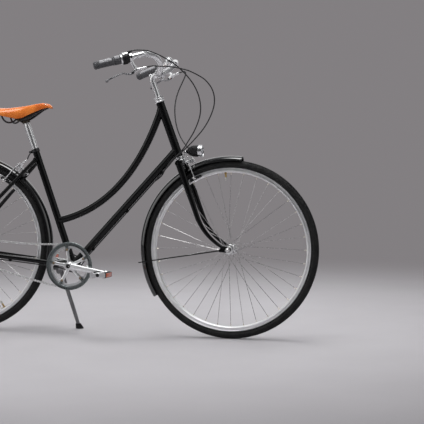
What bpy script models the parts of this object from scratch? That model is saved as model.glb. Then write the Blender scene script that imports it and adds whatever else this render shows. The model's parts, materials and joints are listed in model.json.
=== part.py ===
"""City bicycle with a step-through frame, leaning on its side stand.

Lengths are in metres. The bicycle is modelled upright in its own frame: X forward, Y to the
rider's left, Z up, with the origin on the ground under the bottom bracket. The empty named
bicycle then leans it onto its stand and centres it on the world's origin.
"""
import math

import bmesh
import bpy
from mathutils import Matrix, Vector

# Stance on the floor
LEAN = math.radians(2.5)
STAND_REACH = 0.122
STAND_FOOT_X = -0.013

# Fits
GAP = 0.0003
RUNNING_GAP = 0.0004

# Wheels
TYRE_RADIUS = 0.347
TYRE_SECTION = 0.0185
RIM_WALL_TOP = TYRE_RADIUS - 0.0302
RIM_FLOOR = RIM_WALL_TOP - 0.0050
RIM_INNER = RIM_WALL_TOP - 0.0175
RIM_HALF_WIDTH = 0.0120
RIM_WALL = 0.0020
WHEEL_STEPS = 32
AXLE_RADIUS = 0.0048
AXLE_NUT_RADIUS = 0.0098
AXLE_NUT_WIDTH = 0.0090
AXLE_CONE_RADIUS = 0.0078
AXLE_DOME = 0.0060
SHIFT_BOX_RADIUS = 0.0125
SHIFT_BOX_LENGTH = 0.0240
FRONT_HUB_WIDTH = 0.100
REAR_HUB_WIDTH = 0.130
FRONT_FLANGE_RADIUS = 0.0210
FRONT_FLANGE_PLACE = 0.0310
FRONT_SHELL_RADIUS = 0.0145
FRONT_SHELL_HALF = 0.0415
REAR_FLANGE_RADIUS = 0.0370
REAR_FLANGE_PLACE = 0.0290
REAR_SHELL_RADIUS = 0.0280
REAR_SHELL_HALF = 0.0405
FLANGE_HALF = 0.0017
SPOKES_A_SIDE = 18
SPOKE_CROSSING_TURN = math.radians(60)
SPOKE_RADIUS = 0.0012
SPOKE_SPREAD = 0.0022
SPOKE_HOLE_INSET = 0.0030
SPOKE_RIM_SPREAD = 0.0025

# Frame layout
WHEELBASE = 1.094
REAR_CENTRE = 0.451
BRACKET_HEIGHT = 0.270
HEAD_ANGLE = math.radians(69.5)
FORK_RAKE = 0.0725
FORK_LENGTH = 0.397
HEAD_TUBE_LENGTH = 0.2275
SEAT_ANGLE = math.radians(70.3)
SEAT_TUBE_LENGTH = 0.491

# Frame tubes
HEAD_TUBE_RADIUS = 0.0168
HEAD_TUBE_BORE = 0.0146
SEAT_TUBE_RADIUS = 0.0143
CURVED_TUBE_RADIUS = 0.0143
DOWN_TUBE_RADIUS = 0.0159
BRACKET_SHELL_RADIUS = 0.0200
BRACKET_SHELL_HALF = 0.0340
BRACKET_SHELL_BORE = 0.0172
CHAIN_STAY_WIDE = 0.0070
CHAIN_STAY_TALL = 0.0095
CHAIN_STAY_SIDES = 8
SEAT_STAY_RADIUS = 0.0078
BRIDGE_RADIUS = 0.0060
DROPOUT_THICKNESS = 0.0055
DOWN_TUBE_HEAD_PLACE = 0.0300
CURVED_TUBE_HEAD_INSET = 0.0190
CURVED_TUBE_HEAD_SLOPE = math.radians(71.9)
CURVED_TUBE_HEAD_PULL = 0.2095
CURVED_TUBE_SEAT_PLACE = 0.1890
CURVED_TUBE_SEAT_SLOPE = math.radians(12.4)
CURVED_TUBE_SEAT_PULL = 0.2400
SEAT_STAY_TOP_PLACE = SEAT_TUBE_LENGTH - 0.0430
SEAT_STAY_TOP_OUT = 0.0240
SEAT_STAY_END = (0.006, 0.038)
CHAIN_STAY_END = (0.026, -0.029)
CHAIN_STAY_WAIST = (-0.085, 0.0108)
CHAIN_STAY_WAIST_OUT = 0.0345
BRAKE_BRIDGE_FROM_AXLE = TYRE_RADIUS + 0.0340
CHAIN_STAY_BRIDGE_X = -0.0880

# Headset and fork
STEERER_RADIUS = 0.0127
STEERER_BORE = 0.0113
CUP_RADIUS = 0.0190
CUP_SKIRT = 0.0080
LOWER_CUP_HEIGHT = 0.0090
UPPER_CUP_HEIGHT = 0.0150
CROWN_RACE_HEIGHT = 0.0030
LOCKNUT_HEIGHT = 0.0080
CROWN_HEIGHT = 0.0250
CROWN_DEPTH = 0.0160
CROWN_HALF_WIDTH = 0.0500
BLADE_TOP_OUT = 0.0400
BLADE_TOP_WIDE = 0.0105
BLADE_TOP_DEEP = 0.0140
BLADE_TIP = 0.0064
BLADE_BEND_START = 0.1650
BLADE_BEND_RADIUS = 0.2240
BLADE_END_SHORT = 0.0200
EYELET_FRONT = (-0.029, -0.003)
EYELET_REAR = (-0.012, 0.024)
EYELET_RADIUS = 0.0055
EYELET_BOSS = 0.0030

# Stem and handlebar
STEM_RADIUS = 0.0110
STEM_BOTTOM = 0.5700
STEM_TOP = 0.7430
STEM_EXTENSION = 0.0382
STEM_RISE = 0.0154
CLAMP_RADIUS = 0.0185
CLAMP_HALF = 0.0200
BAR_RADIUS = 0.0111
BAR_SIDES = 10
BAR_STEPS = 39
GRIP_RADIUS = 0.0152
GRIP_CAP = 0.0030
RIGHT_GRIP_LENGTH = 0.0800
TWIST_GRIP_LENGTH = 0.0320
TWIST_GRIP_RADIUS = 0.0170
SHIFTER_LENGTH = 0.0260
SHIFTER_RADIUS = 0.0205
LEFT_GRIP_LENGTH = 0.1200
PERCH_LENGTH = 0.0130
PERCH_RADIUS = 0.0158
LEFT_PERCH_SPACE = 0.0440
LEVER_DROP = 0.0580
LEVER_FORWARD = 0.0095
LEVER_PIN_RADIUS = 0.0022
LEVER_BOSS_RADIUS = 0.0062
LEVER_BOSS_HALF = 0.0045
LEVER_EAR = 0.0025
LEVER_BLADE_HALF = 0.0055
LEVER_BLADE_THICK = 0.0030
LEVER_BALL_RADIUS = 0.0060
LEVER_ROOM = 0.0016
LEVER_BARREL_END = 0.0540

# Brakes
BRAKE_BOLT_RADIUS = 0.0030
BRAKE_BOLT_UP = FORK_LENGTH - 0.0185
BRAKE_ARM_THICK = 0.0045
FRONT_BRAKE_AHEAD = 0.0360
REAR_BRAKE_AHEAD = 0.0330
BRAKE_ARM_SPACE = 0.0015
BRAKE_HUB_RADIUS = 0.0090
BRAKE_HORN_OUT = 0.0340
BRAKE_HORN_UP = 0.0160
BRAKE_CABLE_UP = 0.0340
BRAKE_ARM_WIDE = 0.0046
BRAKE_SHOULDER_OUT = 0.0365
BRAKE_ARM_OUT = 0.0345
BRAKE_PAD_RADIUS = RIM_WALL_TOP - 0.0068
BRAKE_PAD_LENGTH = 0.0480
BRAKE_PAD_HEIGHT = 0.0096
BRAKE_PAD_DEPTH = 0.0110
BRAKE_PAD_TRAVEL = 0.0026
PAD_STUD_RADIUS = 0.0026
PAD_EYE_RADIUS = 0.0052

# Mudguards
GUARD_RADIUS = TYRE_RADIUS + 0.0155
GUARD_SHEET = 0.0015
GUARD_HALF_WIDTH = 0.0235
GUARD_DEPTH = 0.0130
FRONT_GUARD_FROM = math.radians(83)
FRONT_GUARD_TO = math.radians(212)
REAR_GUARD_FROM = math.radians(-8.5)
REAR_GUARD_TO = math.radians(196)
STAY_WIRE = 0.0024
FRONT_STAY_AT = math.radians(189)
REAR_STAY_AT = (math.radians(112), math.radians(168))
STAY_EYE_RADIUS = 0.0060
STAY_EYE_WIDTH = 0.0050

# Drive
CHAIN_LINE = 0.0480
CHAIN_PITCH = 0.0127
RING_TEETH = 44
SPROCKET_TEETH = 20
RING_THICKNESS = 0.0026
RING_BORE = 0.0740
SPROCKET_BORE = 0.0150
TOOTH_HEIGHT = 0.0021
TOOTH_ROOT_DEPTH = 0.0036
CHAIN_HALF_WIDTH = 0.0042
CHAIN_PLATE = 0.0014
CHAIN_HEIGHT = 0.0084
CHAIN_ROOF = 0.0014
UPPER_RUN_SLACK = math.radians(8.0)
LOWER_RUN_SLACK = math.radians(5.5)
SPIDER_THICKNESS = 0.0036
SPIDER_TIP_PLACE = 0.0650
SPIDER_TIP_RADIUS = 0.0078
SPIDER_HUB_RADIUS = 0.0150
RING_TAB_RADIUS = 0.0070
GUARD_RING_RADIUS = 0.0950
GUARD_RING_BORE = 0.0800
GUARD_RING_THICKNESS = 0.0022
CRANK_LENGTH = 0.160
CRANK_ANGLE = math.radians(-9)
CRANK_BOSS_RADIUS = 0.0150
CRANK_END_RADIUS = 0.0115
CRANK_END_THICK = 0.0105
RIGHT_BOSS_IN = 0.0515
LEFT_BOSS_IN = 0.0545
CRANK_BOSS_OUT = 0.0700
CRANK_END_IN = 0.0725
SPINDLE_RADIUS = 0.0080
SPINDLE_END = 0.0680
PEDAL_SPINDLE_RADIUS = 0.0050
PEDAL_BARREL_RADIUS = 0.0100
PEDAL_FIRST = 0.0120
PEDAL_WIDTH = 0.0860
PEDAL_LENGTH = 0.0660
PEDAL_HEIGHT = 0.0220
PEDAL_PLATE = 0.0028
PEDAL_BLOCK_LENGTH = 0.0210

# Saddle and seat post
SEAT_POST_RADIUS = 0.0131
SEAT_POST_TOP = 0.1080
SEAT_POST_INSERTION = 0.1100
SEAT_POST_NECK = 0.0109
SEAT_POST_NECK_TOP = 0.0260
SEAT_CLAMP_RADIUS = 0.0166
SEAT_CLAMP_HEIGHT = 0.0120
SEAT_CLAMP_BOLT_BACK = 0.0205
SADDLE_RAIL_RADIUS = 0.0036
SADDLE_RAIL_OUT = 0.0210
SADDLE_LEATHER = 0.0048
SADDLE_CLAMP_BACK = 0.0175
SADDLE_CLAMP_UP = 0.0230
RAIL_STEPS = 16

# Side stand
STAND_PIVOT = (-0.066, 0.034, 0.250)
STAND_BEND = (-0.023, 0.062, 0.100)
STAND_LEG_RADIUS = 0.0078
STAND_EYE_RADIUS = 0.0100
STAND_EYE_HALF = 0.0096
STAND_PIN_RADIUS = 0.0042
STAND_FOLDED_WAY = (-0.975, 0.150, 0.030)
STAND_FOOT_HEIGHT = 0.0260
STAND_FOOT_TOP = 0.0105
STAND_FOOT_SOLE = 0.0165
STAND_PLATE_HALF = 0.0400
STAND_BLOCK = 0.0180
STAND_BLOCK_LEFT = 0.0210
STAND_BLOCK_RIGHT = 0.0295

# Lamp and bell
LAMP_CENTRE = (-0.0811, 0.4074)
LAMP_RADIUS = 0.0235
LAMP_LENGTH = 0.0640
LAMP_WALL = 0.0018
LENS_THICKNESS = 0.0045
LAMP_PIVOT = (-0.1181, 0.4024)
LAMP_EAR_HALF = 0.0032
LAMP_PIN_RADIUS = 0.0025
LAMP_SHEET = 0.0022
BELL_RADIUS = 0.0172
BELL_HEIGHT = 0.0170
BELL_PLACE = 0.1250
BELL_BACK = 0.0245
BELL_RISE = 0.0125
BELL_BASE = 0.0035
BELL_LEVER_PIN = 0.0016
BELL_LEVER_THICK = 0.0022

# Cables
CABLE_RADIUS = 0.0024
CABLE_STAND_OFF = 0.0012
CABLE_GROOVE_GAP = 0.0010
CABLE_TOLERANCE = 0.0008
SHIFT_CABLE_SIDE = 0.0045
SEAT_TUBE_CABLE = (-0.0060, 0.0172)
SEAT_TUBE_GUIDE = 0.2200

# Colours: base colour, roughness, metallic
FINISHES = {
    "black_paint": ((0.012, 0.012, 0.014), 0.18, 0.0),
    "polished_silver": ((0.80, 0.81, 0.82), 0.16, 1.0),
    "brushed_steel": ((0.55, 0.56, 0.57), 0.35, 1.0),
    "spring_steel": ((0.03, 0.03, 0.033), 0.30, 1.0),
    "tyre_rubber": ((0.020, 0.020, 0.021), 0.75, 0.0),
    "grip_rubber": ((0.060, 0.060, 0.064), 0.60, 0.0),
    "black_plastic": ((0.020, 0.020, 0.022), 0.45, 0.0),
    "chrome": ((0.88, 0.88, 0.89), 0.06, 1.0),
    "lamp_glass": ((0.85, 0.87, 0.88), 0.08, 0.0),
    "tan_leather": ((0.62, 0.24, 0.07), 0.42, 0.0),
    "cable_black": ((0.014, 0.014, 0.015), 0.40, 0.0),
}

AXLE_HEIGHT = TYRE_RADIUS
REAR_AXLE = Vector((-REAR_CENTRE, 0.0, AXLE_HEIGHT))
FRONT_AXLE = Vector((WHEELBASE - REAR_CENTRE, 0.0, AXLE_HEIGHT))
BRACKET = Vector((0.0, 0.0, BRACKET_HEIGHT))
STEER_UP = Vector((-math.cos(HEAD_ANGLE), 0.0, math.sin(HEAD_ANGLE)))
STEER_FORWARD = Vector((math.sin(HEAD_ANGLE), 0.0, math.cos(HEAD_ANGLE)))
STEER_FOOT = FRONT_AXLE - STEER_FORWARD * FORK_RAKE
SEAT_UP = Vector((-math.cos(SEAT_ANGLE), 0.0, math.sin(SEAT_ANGLE)))
SIDEWAYS = Vector((0.0, 1.0, 0.0))
HEAD_TUBE_BOTTOM = FORK_LENGTH + CROWN_RACE_HEIGHT + LOWER_CUP_HEIGHT + GAP
HEAD_TUBE_TOP = HEAD_TUBE_BOTTOM + HEAD_TUBE_LENGTH
STEERER_TOP = HEAD_TUBE_TOP + UPPER_CUP_HEIGHT + LOCKNUT_HEIGHT
GUARD_OUTER = GUARD_RADIUS + GUARD_SHEET
PEDAL_CENTRE_OUT = CRANK_END_IN + CRANK_END_THICK


def on_steerer(up, forward=0.0, out=0.0):
    """A point by its height along the steering axis, its reach ahead of it and its side."""
    return STEER_FOOT + STEER_UP * up + STEER_FORWARD * forward + SIDEWAYS * out


def on_seat_tube(up, forward=0.0, out=0.0):
    """A point by its height along the seat tube from the bottom bracket."""
    ahead = Vector((math.sin(SEAT_ANGLE), 0.0, math.cos(SEAT_ANGLE)))
    return BRACKET + SEAT_UP * up + ahead * forward + SIDEWAYS * out


def around(centre, radius, angle, out=0.0):
    """A point on a circle in the bicycle's plane, at an angle up from straight ahead."""
    return centre + Vector((radius * math.cos(angle), out, radius * math.sin(angle)))


# Mesh helpers

def frame_along(z_axis, x_axis=None):
    """A rotation whose Z is the given direction, and whose X is near x_axis."""
    z_axis = z_axis.normalized()
    if x_axis is None:
        x_axis = Vector((1, 0, 0)) if abs(z_axis.x) < 0.8 else Vector((0, 0, 1))
    y_axis = z_axis.cross(x_axis).normalized()
    x_axis = y_axis.cross(z_axis)
    return Matrix((x_axis, y_axis, z_axis)).transposed().to_4x4()


def placed(mesh, origin, z_axis=Vector((0, 0, 1)), x_axis=None):
    """Moves a bmesh made about its own Z to a place and a direction."""
    mesh.transform(Matrix.Translation(origin) @ frame_along(z_axis, x_axis))
    return mesh


def ring_faces(mesh, rings, closed):
    """Joins each ring of vertices to the next one."""
    pairs = list(zip(rings, rings[1:]))
    if closed:
        pairs.append((rings[-1], rings[0]))
    for first, second in pairs:
        count = len(first)
        for i in range(count):
            j = (i + 1) % count
            mesh.faces.new((first[i], first[j], second[j], second[i]))


def turned(profile, sides, ring=False):
    """Turns (radius, height) points about Z; a ring's profile closes on itself."""
    mesh = bmesh.new()
    rings = []
    for radius, height in profile:
        turn = [2 * math.pi * i / sides for i in range(sides)]
        rings.append([mesh.verts.new((radius * math.cos(a), radius * math.sin(a), height)) for a in turn])
    ring_faces(mesh, rings, ring)
    if not ring:
        mesh.faces.new(rings[0])
        mesh.faces.new(rings[-1])
    bmesh.ops.recalc_face_normals(mesh, faces=mesh.faces)
    return mesh


def disc(radius, low, high, sides=16):
    """A plain round bar about Z, used for pins, bosses and drills."""
    return turned([(radius, low), (radius, high)], sides)


def sleeve(outer, bore, low, high, sides=20):
    """A round tube about Z."""
    return turned([(outer, low), (outer, high), (bore, high), (bore, low)], sides, ring=True)


def swept(points, sizes, sides, across=None, closed=False):
    """Sweeps an oval along points; sizes are half widths (across, other) at each point."""
    mesh = bmesh.new()
    count = len(points)
    rings = []
    side = None
    last = None
    for i, point in enumerate(points):
        before = points[i - 1] if i or closed else points[i]
        after = points[(i + 1) % count] if i + 1 < count or closed else points[i]
        along = (after - before).normalized()
        if across is not None:
            side = (across - along * across.dot(along)).normalized()
        elif side is None:
            side = along.orthogonal().normalized()
        else:
            side = (last.rotation_difference(along) @ side).normalized()
        up = side.cross(along)
        last = along
        half_a, half_b = sizes[i] if isinstance(sizes, list) else sizes
        ring = []
        for k in range(sides):
            turn = 2 * math.pi * (k + 0.5) / sides
            ring.append(mesh.verts.new(point + side * half_a * math.cos(turn) + up * half_b * math.sin(turn)))
        rings.append(ring)
    ring_faces(mesh, rings, closed)
    if not closed:
        mesh.faces.new(rings[0])
        mesh.faces.new(rings[-1])
    bmesh.ops.recalc_face_normals(mesh, faces=mesh.faces)
    return mesh


def rod(start, end, radius, sides=12):
    return swept([Vector(start), Vector(end)], (radius, radius), sides)


def hulled(points):
    """The convex body around a set of points."""
    mesh = bmesh.new()
    for point in points:
        mesh.verts.new(point)
    result = bmesh.ops.convex_hull(mesh, input=mesh.verts)
    spare = set(result["geom_interior"]) | set(result["geom_unused"])
    bmesh.ops.delete(mesh, geom=[v for v in spare if isinstance(v, bmesh.types.BMVert)], context="VERTS")
    bmesh.ops.dissolve_limit(mesh, angle_limit=0.001, verts=mesh.verts, edges=mesh.edges)
    bmesh.ops.recalc_face_normals(mesh, faces=mesh.faces)
    return mesh


def circle_points(centre, radius, out_from, out_to, sides=14):
    """Points of a short round bar that lies across the bicycle."""
    points = []
    for i in range(sides):
        angle = 2 * math.pi * i / sides
        for out in (out_from, out_to):
            points.append(Vector((centre[0] + radius * math.cos(angle), out, centre[1] + radius * math.sin(angle))))
    return points


def extruded(outline, out_from, out_to):
    """A flat plate across the bicycle, from the (x, z) points of its outline."""
    mesh = bmesh.new()
    rings = [[mesh.verts.new((x, out, z)) for x, z in outline] for out in (out_from, out_to)]
    ring_faces(mesh, rings, False)
    mesh.faces.new(rings[0])
    mesh.faces.new(rings[1])
    bmesh.ops.recalc_face_normals(mesh, faces=mesh.faces)
    return mesh


def box(low, high):
    return hulled([Vector((x, y, z)) for x in (low[0], high[0]) for y in (low[1], high[1])
                   for z in (low[2], high[2])])


def smooth_points(route, count):
    """Even points on a smooth curve through a route's own points."""
    dense = []
    for i in range(len(route) - 1):
        p0 = route[max(i - 1, 0)]
        p1, p2 = route[i], route[i + 1]
        p3 = route[min(i + 2, len(route) - 1)]
        for step in range(12):
            t = step / 12
            dense.append(0.5 * ((2 * p1) + (p2 - p0) * t + (2 * p0 - 5 * p1 + 4 * p2 - p3) * t * t
                                + (3 * p1 - p0 - 3 * p2 + p3) * t ** 3))
    dense.append(route[-1])
    lengths = [0.0]
    for a, b in zip(dense, dense[1:]):
        lengths.append(lengths[-1] + (b - a).length)
    points = []
    k = 0
    for i in range(count):
        want = lengths[-1] * i / (count - 1)
        while k < len(lengths) - 2 and lengths[k + 1] < want:
            k += 1
        part = (want - lengths[k]) / max(lengths[k + 1] - lengths[k], 1e-9)
        points.append(dense[k].lerp(dense[k + 1], min(part, 1.0)))
    return points


# Objects and their joints

def finish(name):
    material = bpy.data.materials.get(name)
    if material is None:
        colour, roughness, metallic = FINISHES[name]
        material = bpy.data.materials.new(name)
        material.use_nodes = True
        shader = material.node_tree.nodes["Principled BSDF"]
        shader.inputs["Base Color"].default_value = (*colour, 1.0)
        shader.inputs["Roughness"].default_value = roughness
        shader.inputs["Metallic"].default_value = metallic
    return material


def axis_empty(name, parent, point, axis):
    """An empty on a joint's axis, with its Z along the axis."""
    empty = bpy.data.objects.new(name, None)
    empty.empty_display_size = 0.05
    bpy.context.scene.collection.objects.link(empty)
    placing = Matrix.Translation(point) @ frame_along(axis)
    empty.matrix_basis = placing
    empty.parent = parent["empty"]
    empty.matrix_parent_inverse = parent["placing"].inverted()
    return {"empty": empty, "placing": placing}


def loose_object(mesh, name="tool"):
    data = bpy.data.meshes.new(name)
    mesh.to_mesh(data)
    mesh.free()
    thing = bpy.data.objects.new(name, data)
    bpy.context.scene.collection.objects.link(thing)
    return thing


def combine(base, tools, operation):
    """Applies one Boolean after another to the base object, and removes the tools."""
    for tool in tools:
        step = base.modifiers.new(operation, "BOOLEAN")
        step.operation = operation
        step.solver = "EXACT"
        step.object = tool
    bpy.context.view_layer.update()
    graph = bpy.context.evaluated_depsgraph_get()
    result = bpy.data.meshes.new_from_object(base.evaluated_get(graph))
    base.modifiers.clear()
    base.data = result
    for tool in tools:
        bpy.data.objects.remove(tool)


def part(name, look, body, pieces, cuts=(), added=()):
    """Makes one named node: pieces joined, less its cuts, with what is added after them, on a joint's empty."""
    thing = loose_object(pieces[0], name)
    if len(pieces) > 1:
        combine(thing, [loose_object(piece) for piece in pieces[1:]], "UNION")
    if cuts:
        combine(thing, [loose_object(cut) for cut in cuts], "DIFFERENCE")
    if added:
        combine(thing, [loose_object(piece) for piece in added], "UNION")
    tidy = bmesh.new()
    tidy.from_mesh(thing.data)
    bmesh.ops.dissolve_degenerate(tidy, dist=0.000002, edges=tidy.edges)
    bmesh.ops.delete(tidy, geom=[edge for edge in tidy.edges if not edge.link_faces], context="EDGES")
    bmesh.ops.recalc_face_normals(tidy, faces=tidy.faces)
    tidy.to_mesh(thing.data)
    tidy.free()
    thing.data.name = name
    thing.data.materials.clear()
    thing.data.materials.append(finish(look))
    thing.data.shade_smooth()
    thing.data.set_sharp_from_angle(angle=math.radians(35))
    thing.parent = body["empty"]
    thing.matrix_parent_inverse = body["placing"].inverted()
    return thing


# Frame

def curved_tube_points(count):
    """The step-through tube, from the head tube down and back to the seat tube."""
    start = on_steerer(HEAD_TUBE_TOP - CURVED_TUBE_HEAD_INSET)
    end = on_seat_tube(CURVED_TUBE_SEAT_PLACE)
    leave = Vector((-math.cos(CURVED_TUBE_HEAD_SLOPE), 0, -math.sin(CURVED_TUBE_HEAD_SLOPE)))
    arrive = Vector((math.cos(CURVED_TUBE_SEAT_SLOPE), 0, math.sin(CURVED_TUBE_SEAT_SLOPE)))
    second = start + leave * CURVED_TUBE_HEAD_PULL
    third = end + arrive * CURVED_TUBE_SEAT_PULL
    points = []
    for i in range(count):
        t = i / (count - 1)
        u = 1 - t
        points.append(start * u ** 3 + second * 3 * u * u * t + third * 3 * u * t * t + end * t ** 3)
    return points


def rear_dropout_out():
    return REAR_HUB_WIDTH / 2 + DROPOUT_THICKNESS / 2


def chain_stay_points(side):
    """From the bracket shell, past the tyre, to the dropout."""
    end = REAR_AXLE + Vector((CHAIN_STAY_END[0], side * rear_dropout_out(), CHAIN_STAY_END[1]))
    waist = BRACKET + Vector((CHAIN_STAY_WAIST[0], side * CHAIN_STAY_WAIST_OUT, CHAIN_STAY_WAIST[1]))
    start = BRACKET + Vector((0.0, side * (BRACKET_SHELL_HALF - CHAIN_STAY_WIDE - 0.002), 0.0))
    return start, waist, end


def seat_stay_ends(side):
    top = on_seat_tube(SEAT_STAY_TOP_PLACE, -SEAT_TUBE_RADIUS * 0.4, side * SEAT_STAY_TOP_OUT)
    end = REAR_AXLE + Vector((SEAT_STAY_END[0], side * rear_dropout_out(), SEAT_STAY_END[1]))
    return top, end


def brake_bridge_place():
    """Where the seat stays are BRAKE_BRIDGE_FROM_AXLE away from the rear axle, and their direction."""
    top, end = seat_stay_ends(0)
    way = (top - end).normalized()
    from_axle = end - REAR_AXLE
    half = from_axle.dot(way)
    run = -half + math.sqrt(half * half - from_axle.length_squared + BRAKE_BRIDGE_FROM_AXLE ** 2)
    return end + way * run, way


def rear_dropout(side):
    inner = side * REAR_HUB_WIDTH / 2
    outer = side * (REAR_HUB_WIDTH / 2 + DROPOUT_THICKNESS)
    axle = (REAR_AXLE.x, REAR_AXLE.z)
    upper = (axle[0] + SEAT_STAY_END[0], axle[1] + SEAT_STAY_END[1])
    lower = (axle[0] + CHAIN_STAY_END[0], axle[1] + CHAIN_STAY_END[1])
    back = (axle[0] + EYELET_REAR[0], axle[1] + EYELET_REAR[1])
    return hulled(circle_points(axle, 0.0130, inner, outer, 10) + circle_points(upper, 0.0060, inner, outer, 8)
                  + circle_points(lower, 0.0075, inner, outer, 8)
                  + circle_points(back, EYELET_RADIUS, inner, outer, 8))


def build_frame(body):
    pieces = [placed(disc(HEAD_TUBE_RADIUS, 0, HEAD_TUBE_LENGTH, 18), on_steerer(HEAD_TUBE_BOTTOM), STEER_UP)]
    pieces.append(swept(curved_tube_points(11), (CURVED_TUBE_RADIUS,) * 2, 12, SIDEWAYS))
    pieces.append(rod(BRACKET, on_steerer(HEAD_TUBE_BOTTOM + DOWN_TUBE_HEAD_PLACE), DOWN_TUBE_RADIUS, 14))
    pieces.append(rod(BRACKET, on_seat_tube(SEAT_TUBE_LENGTH), SEAT_TUBE_RADIUS, 14))
    pieces.append(placed(disc(BRACKET_SHELL_RADIUS, -BRACKET_SHELL_HALF, BRACKET_SHELL_HALF, 16), BRACKET, SIDEWAYS))
    for side in (-1, 1):
        start, waist, end = chain_stay_points(side)
        round_end = (CHAIN_STAY_WIDE * 0.85, CHAIN_STAY_TALL * 0.85)
        oval = (CHAIN_STAY_WIDE, CHAIN_STAY_TALL)
        pieces.append(swept([start, waist, end], [oval, oval, round_end], CHAIN_STAY_SIDES, SIDEWAYS))
        top, low = seat_stay_ends(side)
        pieces.append(rod(low, top, SEAT_STAY_RADIUS, 8))
        pieces.append(rear_dropout(side))
    cap = seat_stay_ends(0)[0]
    pieces.append(placed(disc(SEAT_STAY_RADIUS * 1.08, -SEAT_STAY_TOP_OUT - 0.006, SEAT_STAY_TOP_OUT + 0.006, 8),
                         cap, SIDEWAYS))
    bridge, way = brake_bridge_place()
    reach = SEAT_STAY_TOP_OUT + 0.009
    pieces.append(placed(disc(BRIDGE_RADIUS, -reach, reach, 8), bridge, SIDEWAYS))
    waist = chain_stay_points(1)[1]
    lower_bridge = Vector((CHAIN_STAY_BRIDGE_X, 0, waist.z))
    pieces.append(placed(disc(BRIDGE_RADIUS, -CHAIN_STAY_WAIST_OUT, CHAIN_STAY_WAIST_OUT, 8), lower_bridge, SIDEWAYS))
    backward = way.cross(SIDEWAYS)
    cuts = [placed(disc(HEAD_TUBE_BORE, -0.05, HEAD_TUBE_LENGTH + 0.05, 18), on_steerer(HEAD_TUBE_BOTTOM), STEER_UP)]
    cuts.append(placed(disc(BRACKET_SHELL_BORE, -0.08, 0.08, 16), BRACKET, SIDEWAYS))
    bore = SEAT_POST_RADIUS + GAP
    cuts.append(placed(disc(bore, SEAT_TUBE_LENGTH - SEAT_POST_INSERTION - 0.07, SEAT_TUBE_LENGTH + 0.05, 16),
                       BRACKET, SEAT_UP))
    cuts.append(placed(disc(BRAKE_BOLT_RADIUS + GAP, -0.03, 0.03, 8), bridge, backward))
    cuts.append(placed(disc(AXLE_RADIUS + GAP, -0.1, 0.1, 10), REAR_AXLE, SIDEWAYS))
    for centre, along, outward in cable_guides():
        side = along.cross(outward)
        pieces.append(hulled([centre + along * a + outward * b + side * c for a in (-0.006, 0.006)
                              for b in (-0.0062, 0.0042) for c in (-0.0049, 0.0049)]))
        cuts.append(rod(centre - along * 0.03, centre + along * 0.03, CABLE_RADIUS + CABLE_GROOVE_GAP, 8))
    part("frame", "black_paint", body, pieces, cuts)


def build_headset(body):
    skirt = HEAD_TUBE_BORE - GAP
    bore = STEERER_RADIUS + RUNNING_GAP
    low = HEAD_TUBE_BOTTOM
    lower = [(CUP_RADIUS * 0.90, -LOWER_CUP_HEIGHT), (CUP_RADIUS, -LOWER_CUP_HEIGHT * 0.55), (CUP_RADIUS * 0.93, -GAP),
             (skirt, -GAP), (skirt, CUP_SKIRT), (bore, CUP_SKIRT), (bore, -LOWER_CUP_HEIGHT)]
    part("lower_headset_cup", "polished_silver", body, [placed(turned(lower, 16, True), on_steerer(low), STEER_UP)])
    top = HEAD_TUBE_TOP
    upper = [(skirt, -CUP_SKIRT), (skirt, GAP), (CUP_RADIUS * 0.95, GAP), (CUP_RADIUS, UPPER_CUP_HEIGHT * 0.45),
             (CUP_RADIUS * 0.92, UPPER_CUP_HEIGHT - GAP), (bore, UPPER_CUP_HEIGHT - GAP), (bore, -CUP_SKIRT)]
    part("upper_headset_cup", "polished_silver", body, [placed(turned(upper, 16, True), on_steerer(top), STEER_UP)])


def build_bottom_bracket(body):
    outer = BRACKET_SHELL_BORE - GAP
    lip = BRACKET_SHELL_RADIUS * 0.94
    bore = SPINDLE_RADIUS + RUNNING_GAP
    face = BRACKET_SHELL_HALF + GAP
    profile = [(bore, -face - 0.003), (lip, -face - 0.003), (lip, -face), (outer, -face), (outer, face), (lip, face),
               (lip, face + 0.003), (bore, face + 0.003)]
    part("bottom_bracket_bearing", "brushed_steel", body, [placed(turned(profile, 16, True), BRACKET, SIDEWAYS)])


# Wheels

def wheel_ring(profile, axle):
    """Turns an (out, radius) outline about an axle."""
    return placed(turned([(radius, out) for out, radius in profile], WHEEL_STEPS, True), axle, SIDEWAYS)


def tyre_outline():
    shoulder = RIM_HALF_WIDTH + 0.0018
    seat = RIM_WALL_TOP + GAP
    centre = TYRE_RADIUS - TYRE_SECTION
    inside = RIM_HALF_WIDTH - RIM_WALL - GAP
    points = [(-inside, RIM_FLOOR + GAP), (-inside, seat), (-shoulder, seat)]
    for degrees in (185, 135, 90, 45, -5):
        turn = math.radians(degrees)
        points.append((TYRE_SECTION * math.cos(turn), centre + TYRE_SECTION * math.sin(turn)))
    points += [(shoulder, seat), (inside, seat), (inside, RIM_FLOOR + GAP)]
    return points


def rim_outline():
    wide = RIM_HALF_WIDTH
    inside = RIM_HALF_WIDTH - RIM_WALL
    return [(-wide, RIM_WALL_TOP), (-wide, RIM_INNER + 0.003), (0.0, RIM_INNER), (wide, RIM_INNER + 0.003),
            (wide, RIM_WALL_TOP), (inside, RIM_WALL_TOP), (inside, RIM_FLOOR), (-inside, RIM_FLOOR),
            (-inside, RIM_WALL_TOP)]


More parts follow.
